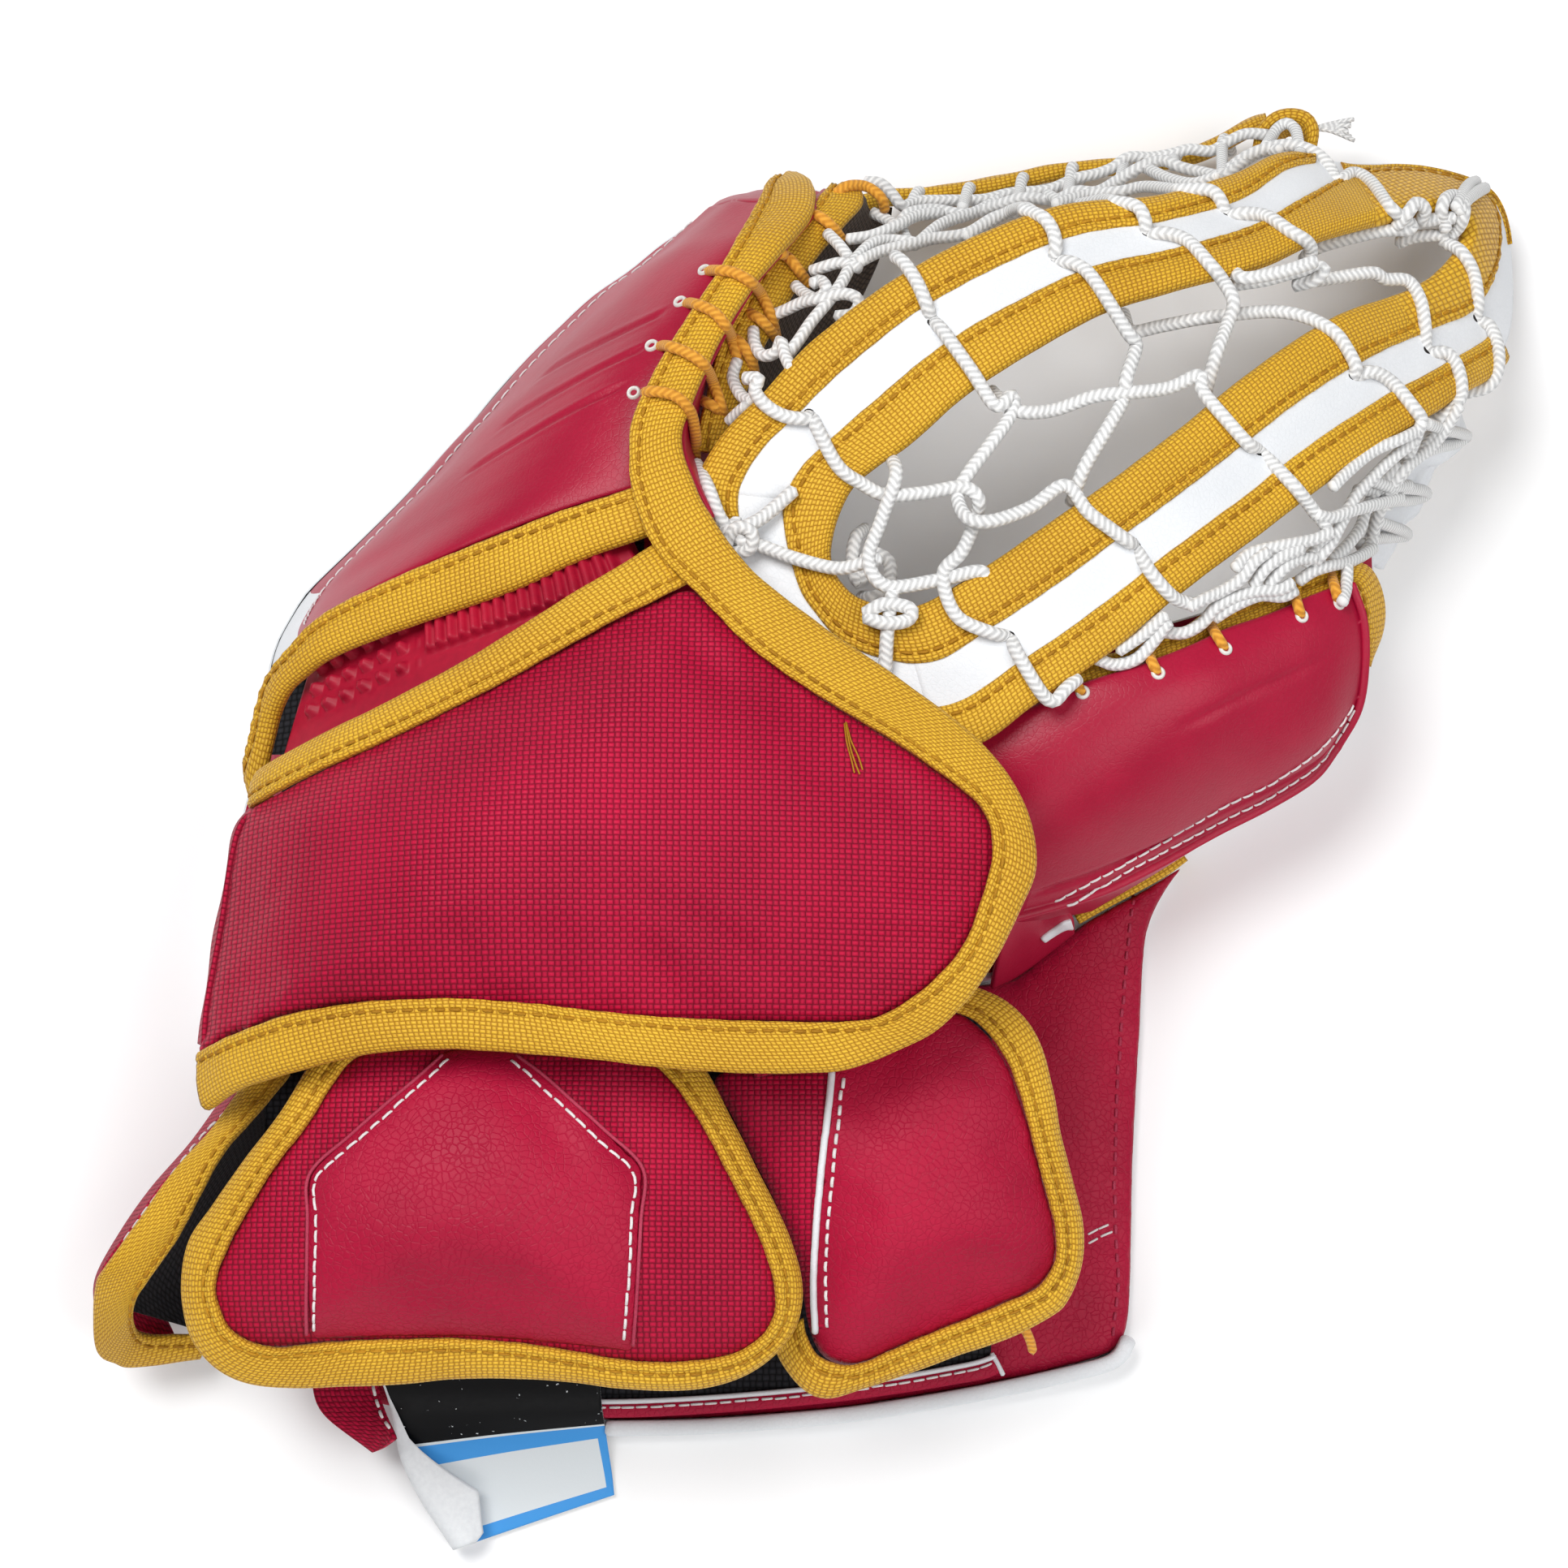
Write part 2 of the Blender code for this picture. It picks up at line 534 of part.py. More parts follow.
# ---------------------------------------------------------------- cuff
cuff_top = [(291, 1297, 0), (600, 1269, 0), (950, 1237, 0), (1225, 1213, 0), (1272, 1194, 0), (1306, 1172, 0),
            (1350, 1147, 0), (1408, 1112, 0), (1447, 1083, 0)]
cuff_right = [(1447, 1083, 0), (1424, 1117, 0), (1409, 1162, 0), (1402, 1280, 0), (1394, 1430, 0), (1391, 1580, 0),
              (1386, 1640, 0), (1374, 1664, 0)]
cuff_bottom = [(1374, 1664, 0), (1320, 1682, 0), (1210, 1706, 0), (1060, 1731, 0), (960, 1741, 0),
               (860, 1748, 0), (750, 1750, 0), (600, 1746, 0), (480, 1732, 0), (395, 1702, 0), (330, 1652, 0)]
cuff_left = [(330, 1652, 0), (296, 1560, 0), (284, 1450, 0), (286, 1350, 0), (291, 1297, 0)]


def loop_of(parts, counts):
    out = []
    for pts, n in zip(parts, counts):
        out += curve(pts, n)[:-1]
    return out


def shrink(poly, d):
    """Move a closed plan outline inwards by d mm."""
    n = len(poly)
    area = sum(poly[i].x * poly[(i + 1) % n].y - poly[(i + 1) % n].x * poly[i].y for i in range(n))
    out = []
    for i in range(n):
        t = (poly[(i + 1) % n] - poly[i - 1]).normalized()
        nn = Vector((-t.y, t.x, 0)) * (1 if area > 0 else -1)
        out.append(poly[i] + nn * (d * MM))
    return out


cuff = loop_of([cuff_top, cuff_right, cuff_bottom, cuff_left], [14, 12, 14, 7])
# the board stops short of the cuff's pointed corner by the thumb
board_top = cuff_top[:4] + [(1312, 1190, 0), (1404, 1178, 0)]
board_right = [(1404, 1178, 0)] + cuff_right[3:]
board = loop_of([board_top, board_right, cuff_bottom, cuff_left], [10, 10, 14, 7])
h0 = 0.0
plate("cuff_leather", cuff, h0, h0 + CUFF_LEATHER_T, "white_leather")
h0 += CUFF_LEATHER_T + GAP
plate("cuff_board", shrink(board, 6.0), h0, h0 + CUFF_BOARD_T, "white_plastic")
h0 += CUFF_BOARD_T + GAP
plate("cuff_inner_leather", shrink(cuff, 0.4), h0, h0 + CUFF_INNER_T, "red_leather")
h0 += CUFF_INNER_T + GAP
CUFF_TOP = h0
lining = loop_of([[(310, 1318, 0), (760, 1278, 0), (1222, 1238, 0)], [(1222, 1238, 0), (1226, 1450, 0), (1222, 1676, 0)],
                  [(1222, 1676, 0), (1060, 1704, 0), (900, 1722, 0), (700, 1728, 0), (480, 1706, 0), (360, 1650, 0)],
                  [(360, 1650, 0), (312, 1480, 0), (310, 1318, 0)]], [7, 5, 9, 5])
plate("cuff_lining", lining, h0, h0 + CUFF_LINING_T, "black_lining")

rim_a = [(1402, 1630, 7.5), (1399, 1652, 7.5), (1381, 1676, 7.5), (1322, 1695, 7.5), (1211, 1719, 7.5),
         (1061, 1744, 7.5), (960, 1754, 7.5), (860, 1761, 7.5), (750, 1763, 7.5)]
rim_b = [(u, v, 0.6) for u, v, _ in rim_a]
ribbon("cuff_edge_binding", stations(rim_a, 3), stations(rim_b, 3), 3.6, "white_leather", round_edge=False)

wing_a = [(302, 1340, 42), (257, 1402, 44), (207, 1458, 44), (168, 1512, 42), (130, 1566, 37), (122, 1604, 30)]
wing_m = [(282, 1350, 26), (238, 1412, 27), (190, 1470, 27), (154, 1524, 26), (128, 1580, 23), (130, 1622, 19)]
wing_b = [(276, 1362, 9), (250, 1430, 9), (225, 1492, 9), (204, 1552, 9), (196, 1606, 9), (214, 1652, 9)]
rows = [stations(q, 3) for q in (wing_a, wing_m, wing_b)]
sheet("cuff_wing", rows, 1.5, -1.5, "red_nylon", by_normal=True)

wb_a = [(305, 1330, 49), (260, 1395, 52), (210, 1450, 52), (170, 1505, 50), (130, 1560, 46), (117, 1588, 40),
        (119, 1658, 24), (140, 1676, 19), (165, 1682, 16), (246, 1674, 14)]
wb_b = [(360, 1324, 51), (315, 1378, 54), (275, 1424, 55), (240, 1492, 53), (220, 1527, 51), (190, 1567, 47),
        (168, 1602, 41), (165, 1627, 31), (182, 1642, 23), (252, 1642, 16)]
ribbon("cuff_wing_binding", stations(wb_a, 2), stations(wb_b, 2), 4.0, "yellow_binding")

tab_rows = [stations([(392, 1690, 11.0), (408, 1738, 12.0), (462, 1786, 13.5)], 3),
            stations([(425, 1690, 11.0), (438, 1732, 12.5), (474, 1780, 16.0)], 3),
            stations([(452, 1690, 11.0), (462, 1724, 13.0), (482, 1771, 19.0)], 3)]
sheet("cuff_corner_tab", tab_rows, 0.8, -0.8, "red_nylon", by_normal=True)

# ---------------------------------------------------------------- thumb half
thumb = Patch(
    low=[(1335, 1122, 4), (1400, 1083, 0), (1451, 1045, 0), (1510, 997, 0), (1580, 951, 0), (1632, 903, 2)],
    high=[(1062, 806, 52), (1190, 858, 50), (1330, 812, 44), (1500, 762, 34), (1680, 692, 18)],
    left=[(1335, 1122, 4), (1268, 1058, 20), (1190, 960, 36), (1062, 806, 52)],
    right=[(1632, 903, 2), (1660, 848, 5), (1680, 768, 10), (1680, 692, 18)],
)
z0 = 0.0
sheet("thumb_catch_leather", thumb.grid(8, 7), LEATHER_T, 0.0, "white_leather", "thumb_fold_axis")
z0 = LEATHER_T + GAP
sheet("thumb_foam", thumb.grid(8, 7), z0 + FOAM_T, z0, "black_foam", "thumb_fold_axis")
THUMB_TOP = z0 + FOAM_T

tshell = Patch(
    low=[(1215, 1140, 52), (1304, 1117, 48), (1363, 1096, 45), (1430, 1059, 43), (1497, 1021, 42),
         (1564, 987, 42), (1614, 954, 42), (1640, 915, 42)],
    high=[(1120, 930, 69), (1195, 908, 72), (1262, 882, 75), (1329, 852, 77), (1396, 831, 77), (1463, 806, 75),
          (1513, 781, 72), (1564, 764, 69), (1614, 743, 66), (1660, 724, 62)],
    left=[(1215, 1140, 52), (1170, 1040, 64), (1120, 930, 69)],
    right=[(1640, 915, 42), (1668, 870, 48), (1676, 820, 54), (1674, 765, 59), (1660, 724, 62)],
    crown=9.0,
)
tg = tshell.grid(10, 7)
sheet("thumb_shell", tg, 0.0, -SHELL_T, "red_leather", "thumb_fold_axis")
sheet("thumb_stiffener", [row[1:10] for row in tg[1:7]], -SHELL_T - GAP, -SHELL_T - GAP - STIFF_T, "white_plastic",
      "thumb_fold_axis")

side_a = [(1318, 1112, 42), (1366, 1094, 39.5), (1430, 1058, 37.5), (1497, 1020, 36.5), (1564, 986, 36.5),
          (1612, 954, 36.5), (1636, 920, 36.5)]
side_b = [(1345, 1112, 19.5), (1392, 1080, 17), (1446, 1042, 16), (1504, 996, 16), (1566, 954, 16),
          (1606, 926, 16.3), (1626, 904, 17)]
ribbon("thumb_side_wall", stations(side_a, 2), stations(side_b, 2), 2.4, "red_leather", "thumb_fold_axis",
       round_edge=False)
to_a = [(1349, 1125, 11), (1378, 1108, 10.5), (1408, 1090, 10), (1436, 1070, 10), (1459, 1052, 10)]
to_b = [(1349, 1125, 3), (1378, 1108, 2.5), (1408, 1090, 2), (1436, 1070, 2), (1459, 1052, 2)]
ribbon("thumb_outer_binding", stations(to_a, 2), stations(to_b, 2), 2.2, "yellow_binding", "thumb_fold_axis",
       round_edge=False)
te_a = [(1318, 836, 73), (1392, 813, 73), (1462, 788, 71), (1512, 764, 68), (1566, 744, 65), (1618, 722, 62),
        (1664, 704, 57), (1692, 716, 50), (1699, 768, 43), (1690, 812, 38)]
te_b = [(u, v, z - 8.5) for u, v, z in te_a]
ribbon("thumb_edge_binding", stations(te_a, 3), stations(te_b, 3), 2.6, "yellow_binding", "thumb_fold_axis",
       round_edge=False)
for k, (u, v) in enumerate([(1338, 866), (1427, 842), (1512, 812), (1603, 774), (1650, 756)], 1):
    uu, vv = tshell.nearest(lay(u, v, 76))
    washer(f"thumb_eyelet_{k}", tshell.at(uu, vv), tshell.normal(uu, vv), "white_plastic", "thumb_fold_axis")
te_route = [(1341, 862, 86.5), (1352, 845, 82), (1380, 829, 78.3), (1412, 829, 83), (1426, 838, 87),
            (1436, 816, 82), (1468, 797, 76.5), (1498, 800, 81.5), (1511, 808, 84.5), (1520, 786, 78),
            (1556, 759, 70.5), (1588, 762, 75), (1602, 770, 79), (1610, 748, 73), (1634, 727, 67.5),
            (1646, 744, 72), (1650, 752, 75)]
lace("thumb_edge_lace", [lay(*p) for p in te_route], EDGE_LACE_R, "orange_lace", "thumb_fold_axis", spacing=7.0)
tl = [[thumb.at(u, 0.22 + 0.46 * i / 8) + Vector((0, 0, (THUMB_TOP + 2.0 + 13.0 * rise[i]) * MM)) for i in range(9)]
      for u in (0.48, 0.58)]
ribbon("thumb_loop", tl[0], tl[1], 1.6, "black_lining", "thumb_fold_axis", round_edge=False)

# ---------------------------------------------------------------- T web
web_in = [(1024, 678, 80), (1036, 630, 81), (1054, 598, 82), (1085, 573, 82.5), (1123, 547, 84),
          (1195, 484, 85.5), (1273, 434, 86), (1360, 386, 85), (1449, 357, 82), (1554, 328, 75),
          (1622, 297, 67), (1700, 272, 56), (1765, 258, 47), (1802, 272, 42), (1803, 298, 41), (1778, 328, 44),
          (1735, 357, 51), (1645, 390, 66), (1551, 450, 76), (1453, 528, 82), (1360, 598, 85), (1280, 653, 85),
          (1199, 708, 84), (1122, 749, 82), (1062, 738, 81), (1033, 712, 80)]
web_out = [(905, 745, 78), (868, 640, 79), (885, 548, 80.5), (940, 484, 82), (1002, 419, 84),
           (1094, 349, 84.5), (1196, 294, 83.5), (1308, 254, 80), (1420, 244, 73), (1516, 218, 60),
           (1584, 191, 48), (1664, 208, 30), (1752, 212, 18), (1835, 242, 14), (1856, 322, 14), (1858, 440, 28),
           (1793, 492, 48), (1719, 539, 60), (1642, 590, 69), (1552, 659, 75), (1454, 732, 79), (1375, 799, 81),
           (1278, 866, 81), (1183, 924, 79), (1040, 900, 78), (950, 815, 78)]
WEB_PER = 2
N_WEB = len(web_in)


def web_edges(w0, w1, start, stop, closed=False):
    a = [lay(*p) for p in web_in]
    b = [lay(*p) for p in web_out]
    n = int(round((stop - start) * WEB_PER))
    pa, pb = [], []
    for i in range(n if closed else n + 1):
        t = (start + (stop - start) * i / n) % N_WEB
        p, q = catmull(a, t, True), catmull(b, t, True)
        pa.append(p.lerp(q, w0))
        pb.append(p.lerp(q, w1))
    return pa, pb


wg = 0.02
a, b = web_edges(0.0, WEB_INNER, 0, N_WEB, True)
ribbon("t_inner_binding", a, b, WEB_BIND_T, "yellow_binding", "web_fold_axis", closed=True)
a, b = web_edges(WEB_OUTER, 1.0, 0, N_WEB, True)
ribbon("t_outer_binding", a, b, WEB_BIND_T, "yellow_binding", "web_fold_axis", closed=True)
for nm, s, e in [("t_upper_stem", 2.05, 10.3), ("t_crossbar", 10.4, 15.6), ("t_lower_stem", 15.7, 22.6),
                 ("t_base", 22.7, N_WEB + 1.95)]:
    a, b = web_edges(WEB_INNER + wg, WEB_OUTER - wg, s, e)
    ribbon(nm, a, b, WEB_T, "white_leather", "web_fold_axis", round_edge=False)


def web_point(s, w, dz=0.0):
    a = [lay(*p) for p in web_in]
    b = [lay(*p) for p in web_out]
    p = catmull(a, s % N_WEB, True).lerp(catmull(b, s % N_WEB, True), w)
    return p + Vector((0, 0, dz * MM))


# centre lace zigzags between the inner edges of the two stems
ups = [3.2, 4.6, 5.6, 6.6, 7.6, 8.6, 9.6, 10.6, 11.6]
downs = [22.6, 21.4, 20.4, 19.5, 18.6, 17.8, 17.0, 16.4]
route = [web_point(24.6, -0.16)]
for i in range(len(downs)):
    route += [web_point(ups[i], -0.17), web_point(downs[i], -0.17)]
lace("t_centre_lace", route, LACE_R, "white_lace", "web_fold_axis", spacing=10.0)

# side laces hang between the stems and the edges of the finger panel and thumb panel
outer_s = [3.2, 4.0, 4.8, 5.6, 6.4, 7.2, 8.0, 8.7, 9.3]
rim_f = [(908, 508, 78), (942, 446, 75), (985, 380, 70), (1030, 325, 64), (1088, 282, 56), (1160, 268, 48),
         (1250, 250, 42), (1340, 230, 36)]
route = []
for i, p in enumerate(rim_f):
    route += [web_point(outer_s[i], 1.17, -2.0), lay(*p)]
route.append(web_point(outer_s[len(rim_f)], 1.2, -2.0))
lace("finger_side_lace", route, LACE_R, "white_lace", "web_fold_axis", spacing=12.0)
outer_t = [20.4, 19.8, 19.2, 18.5, 17.9, 17.3]
rim_t = [(1434, 756, 64), (1488, 733, 61), (1545, 712, 57), (1600, 686, 53), (1650, 660, 48)]
route = []
for i, p in enumerate(rim_t):
    route += [web_point(outer_t[i], 1.16, -2.0), lay(*p)]
route.append(web_point(outer_t[len(rim_t)], 1.18, -2.0))
lace("thumb_side_lace", route, LACE_R, "white_lace", "web_fold_axis", spacing=10.0)

rf_a = [(1102, 243, 26), (1153, 240, 25), (1229, 228, 22), (1304, 212, 20), (1388, 204, 18), (1472, 191, 17),
        (1556, 150, 16), (1588, 136, 16)]
rf_b = [(u, v + 3, 3.5) for u, v, _ in rf_a]
ribbon("pocket_rim_finger", stations(rf_a, 2), stations(rf_b, 2), 3.0, "yellow_binding", "web_fold_axis",
       round_edge=False)
rt_a = [(1790, 512, 36), (1752, 548, 36), (1722, 596, 35), (1702, 634, 34), (1690, 660, 33)]
rt_b = [(1808, 522, 15), (1782, 560, 13), (1756, 602, 12), (1734, 644, 11), (1714, 680, 11)]
ribbon("pocket_rim_thumb", stations(rt_a, 2), stations(rt_b, 2), 2.4, "white_leather", "web_fold_axis",
       round_edge=False)

ha, hb = lay(*BREAK_A), lay(*BREAK_B)
side = Vector(((hb - ha).y, -(hb - ha).x, 0)).normalized() * 0.0045
pts = [ha.lerp(hb, 0.06 + 0.90 * i / 6) + Vector((0, 0, -0.0025)) for i in range(7)]
ribbon("break_hinge", [p - side for p in pts], [p + side for p in pts], 1.8, "white_leather", "web_fold_axis",
       round_edge=False)

# ---------------------------------------------------------------- wrist flap with its patch
fo = [(395, 1304, 70), (345, 1375, 69), (300, 1435, 67), (265, 1485, 64), (235, 1530, 61), (226, 1580, 58),
      (230, 1622, 55), (242, 1655, 53), (268, 1684, 52), (305, 1702, 52), (360, 1708, 53), (420, 1707, 55),
      (490, 1704, 57), (560, 1697, 58), (620, 1696, 59), (700, 1700, 59), (760, 1708, 59), (815, 1711, 58),
      (865, 1708, 57), (912, 1695, 56), (950, 1670, 57), (975, 1640, 58), (986, 1605, 60), (984, 1570, 62),
      (972, 1530, 64), (955, 1490, 66), (930, 1440, 68), (900, 1380, 69), (868, 1322, 71), (820, 1300, 72),
      (740, 1292, 73), (650, 1288, 73), (560, 1288, 73), (470, 1294, 72)]
fi = [(432, 1322, 72), (382, 1385, 73), (340, 1440, 72), (308, 1492, 70), (282, 1540, 67), (268, 1582, 64),
      (276, 1618, 61), (290, 1640, 59), (318, 1654, 59), (350, 1658, 59), (395, 1652, 61), (440, 1649, 62),
      (500, 1647, 64), (560, 1646, 65), (620, 1650, 65), (700, 1661, 65), (755, 1671, 64), (810, 1676, 63),
      (860, 1674, 62), (900, 1666, 61), (928, 1652, 62), (946, 1632, 63), (953, 1606, 65), (949, 1570, 68),
      (935, 1530, 70), (914, 1485, 72), (890, 1438, 73), (855, 1375, 74), (815, 1336, 75), (770, 1322, 76),
      (710, 1316, 76), (640, 1314, 76), (570, 1314, 76), (490, 1317, 75)]
ribbon("wrist_flap_binding", stations(fo, 1, True)[:-1], stations(fi, 1, True)[:-1], BIND_T, "yellow_binding",
       "wrist_flap_axis", closed=True)
flap = Dome(outline=fi, centre=(610, 1500, 82), n=34, power=2.2)
dome_pad("wrist_flap", flap, [1.0, 0.9, 0.55], FLAP_T, "red_nylon", "wrist_flap_axis", inset=1.2)
patch = Patch(low=[(384, 1640, 60), (580, 1640, 60), (776, 1652, 60)],
              high=[(398, 1434, 60), (520, 1362, 60), (590, 1336, 60), (660, 1362, 60), (786, 1446, 60)],
              left=[(384, 1640, 60), (398, 1434, 60)], right=[(776, 1652, 60), (786, 1446, 60)])
pg = [[Vector((p.x, p.y, flap.height(p.x, p.y))) for p in row] for row in patch.grid(8, 6)]
sheet("wrist_flap_patch", pg, 2.4, 1.0, "red_leather", "wrist_flap_axis")

# ---------------------------------------------------------------- wrist pad on the thumb side
po = [(1195, 1214, 63), (1240, 1235, 62), (1275, 1275, 61), (1295, 1340, 59), (1305, 1400, 57), (1320, 1460, 54),
      (1332, 1510, 52), (1330, 1560, 49), (1315, 1600, 47), (1295, 1620, 46), (1240, 1648, 45), (1180, 1668, 45),
      (1120, 1690, 45), (1060, 1710, 44), (1020, 1721, 44), (992, 1712, 44)]
pi = [(1170, 1247, 65), (1205, 1264, 65), (1235, 1302, 65), (1255, 1352, 64), (1270, 1406, 62), (1285, 1462, 60),
      (1297, 1512, 57), (1298, 1552, 54), (1283, 1578, 52), (1268, 1590, 51), (1225, 1608, 50), (1165, 1633, 50),
      (1105, 1658, 50), (1062, 1677, 49), (1035, 1678, 49), (1010, 1668, 49)]
ribbon("wrist_pad_binding", stations(po, 1.5), stations(pi, 1.5), BIND_T, "yellow_binding", "wrist_pad_axis")
wpad = Dome(
    outline=[(1168, 1251, 65), (1203, 1268, 65), (1232, 1305, 65), (1252, 1354, 64), (1267, 1408, 62),
             (1282, 1464, 60), (1294, 1514, 57), (1295, 1550, 54), (1280, 1575, 52), (1266, 1587, 51),
             (1224, 1605, 50), (1164, 1630, 50), (1104, 1655, 50), (1062, 1674, 49), (1036, 1674, 49),
             (1014, 1662, 49), (1001, 1630, 51), (995, 1590, 53), (990, 1555, 55), (977, 1515, 57),
             (960, 1475, 59), (935, 1428, 61), (905, 1370, 63), (884, 1332, 64), (905, 1322, 65),
             (965, 1322, 66), (1035, 1316, 66), (1090, 1295, 66), (1135, 1268, 66)],
    centre=(1120, 1455, 69), n=34, power=2.4)
dome_pad("wrist_pad", wpad, [1.0, 0.9, 0.55], FLAP_T, "red_nylon", "wrist_pad_axis", inset=0.6)
pipe = [lay(u, v, 60) for u, v in [(1025, 1334), (1018, 1390), (1012, 1450), (1007, 1510), (1004, 1580), (1007, 1636)]]
pipe = [Vector((p.x, p.y, wpad.height(p.x, p.y) + 2.4 * MM)) for p in even(pipe, 18)]
lace("wrist_pad_piping", pipe, 1.2, "white_leather", "wrist_pad_axis", spacing=5.0)

# ---------------------------------------------------------------- hang tag on the cuff's edge
tag_l = [(468, 1690, 15), (484, 1735, 12.6), (503, 1790, 5), (540, 1848, 1.2), (578, 1903, 1.2)]
tag_m = [(603, 1690, 15), (613, 1735, 12.6), (626, 1783, 5), (648, 1832, 1.2), (668, 1872, 1.2)]
tag_r = [(738, 1690, 15), (742, 1735, 12.6), (748, 1775, 5), (754, 1815, 1.2), (757, 1842, 1.2)]
sheet("hang_tag", [stations(q, 3) for q in (tag_l, tag_m, tag_r)], TAG_T * 0.5, -TAG_T * 0.5, "tag_sheet",
      "tag_axis", by_normal=True)
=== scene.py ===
"""Looks of the goalie catch glove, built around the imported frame.

Outlines repeat the part's own sheet positions (u to the right, v down) with heights in
millimetres, so every piece lies where its solid lies.
"""
import math

import bmesh
import bpy
import numpy as np
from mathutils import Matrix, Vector
from mathutils.bvhtree import BVHTree
from mathutils.geometry import delaunay_2d_cdt


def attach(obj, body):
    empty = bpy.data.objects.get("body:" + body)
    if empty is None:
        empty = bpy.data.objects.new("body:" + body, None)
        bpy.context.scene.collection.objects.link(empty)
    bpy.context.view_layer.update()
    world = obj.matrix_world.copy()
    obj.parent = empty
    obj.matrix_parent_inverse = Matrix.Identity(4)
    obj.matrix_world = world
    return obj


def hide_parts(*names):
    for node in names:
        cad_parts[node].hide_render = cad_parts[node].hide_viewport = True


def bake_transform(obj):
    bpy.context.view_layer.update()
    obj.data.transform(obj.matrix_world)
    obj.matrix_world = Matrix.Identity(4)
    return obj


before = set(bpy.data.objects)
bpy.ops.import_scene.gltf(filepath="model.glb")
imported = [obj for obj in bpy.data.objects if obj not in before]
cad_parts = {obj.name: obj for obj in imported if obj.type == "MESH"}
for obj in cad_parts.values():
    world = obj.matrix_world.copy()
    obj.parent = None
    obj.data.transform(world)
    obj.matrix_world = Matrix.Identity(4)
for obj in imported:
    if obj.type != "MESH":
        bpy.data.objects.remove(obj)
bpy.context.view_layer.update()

scene = bpy.context.scene
scene.view_settings.view_transform = "Standard"

MM = 0.001
MID, SCALE = 966.0, 4102.6
TILT, DIST, AIM_Z = math.radians(80.0), 0.80, 0.05
OX, OY = 0.010781, 0.004269
CE, SE = math.cos(TILT), math.sin(TILT)
EYE = np.array([-OX, -CE * DIST - OY, AIM_Z + SE * DIST])

# ---------------------------------------------------------------- camera, floor, light
cam_data = bpy.data.cameras.new("camera")
cam_data.sensor_width = 36.0
cam_data.lens = 36.0 * SCALE / 1932.0
cam = bpy.data.objects.new("camera", cam_data)
cam.location = EYE
cam.rotation_euler = (math.radians(10.0), 0.0, 0.0)
scene.collection.objects.link(cam)
scene.camera = cam

world = bpy.data.worlds.new("studio")
scene.world = world
world.use_nodes = True
world.node_tree.nodes["Background"].inputs[0].default_value = (1.0, 1.0, 1.0, 1.0)
world.node_tree.nodes["Background"].inputs[1].default_value = 0.30


def area_light(name, where, aim, size, power):
    d = bpy.data.lights.new(name, "AREA")
    d.shape = "DISK"
    d.size = size
    d.energy = power
    o = bpy.data.objects.new(name, d)
    o.location = where
    o.rotation_euler = (Vector(aim) - Vector(where)).to_track_quat("-Z", "Y").to_euler()
    scene.collection.objects.link(o)
    return o


area_light("key", (-0.45, 0.40, 1.30), (0.0, 0.0, 0.04), 0.8, 15.0)
area_light("fill", (0.70, -0.30, 1.15), (0.02, 0.0, 0.04), 1.0, 7.5)
area_light("front", (-0.1, -0.95, 0.8), (0.0, 0.0, 0.04), 0.9, 3.0)


# ---------------------------------------------------------------- sheet and curve helpers
def ray(u, v):
    return np.array([u - MID, CE * SCALE + SE * (MID - v), -SE * SCALE + CE * (MID - v)])


def lay(u, v, z):
    d = ray(u, v)
    return EYE + d * ((z * MM - EYE[2]) / d[2])


def L(pts):
    return np.array([lay(*p) for p in pts])


def unit(v):
    v = np.asarray(v, float)
    return v / np.maximum(np.linalg.norm(v, axis=-1, keepdims=True), 1e-12)


def crom(P, t, closed=False):
    """Catmull-Rom points at parameters t."""
    P = np.asarray(P, float)
    n = len(P)
    k = n if closed else n - 1
    t = np.atleast_1d(np.asarray(t, float))
    if closed:
        t = np.mod(t, k)
    i = np.clip(np.floor(t).astype(int), 0, k - 1)
    f = (t - i)[:, None]
    if closed:
        a, b, c, d = P[(i - 1) % n], P[i % n], P[(i + 1) % n], P[(i + 2) % n]
    else:
        e = np.vstack([2 * P[0] - P[1], P, 2 * P[-1] - P[-2]])
        a, b, c, d = e[i], e[i + 1], e[i + 2], e[i + 3]
    return 0.5 * (2 * b + (c - a) * f + (2 * a - 5 * b + 4 * c - d) * f ** 2 + (3 * b - a - 3 * c + d) * f ** 3)


def lengths(P):
    return np.concatenate([[0.0], np.cumsum(np.linalg.norm(np.diff(P, axis=0), axis=1))])


def along(P, step=None, n=None, closed=False, smooth=True):
    """Evenly spaced points on the curve through P (step in mm)."""
    P = np.asarray(P, float)
    k = len(P) if closed else len(P) - 1
    td = np.linspace(0, k, k * 24 + 1)
    if smooth:
        d = crom(P, td, closed)
    else:
        Q = np.vstack([P, P[:1]]) if closed else P
        d = np.array([np.interp(td, np.arange(k + 1), Q[:, j]) for j in range(3)]).T
    s = lengths(d)
    if n is None:
        n = max(3, int(round(s[-1] / (step * MM))) + 1)
    ss = np.linspace(0, s[-1], n + 1)[:-1] if closed else np.linspace(0, s[-1], n)
    return np.array([np.interp(ss, s, d[:, j]) for j in range(3)]).T


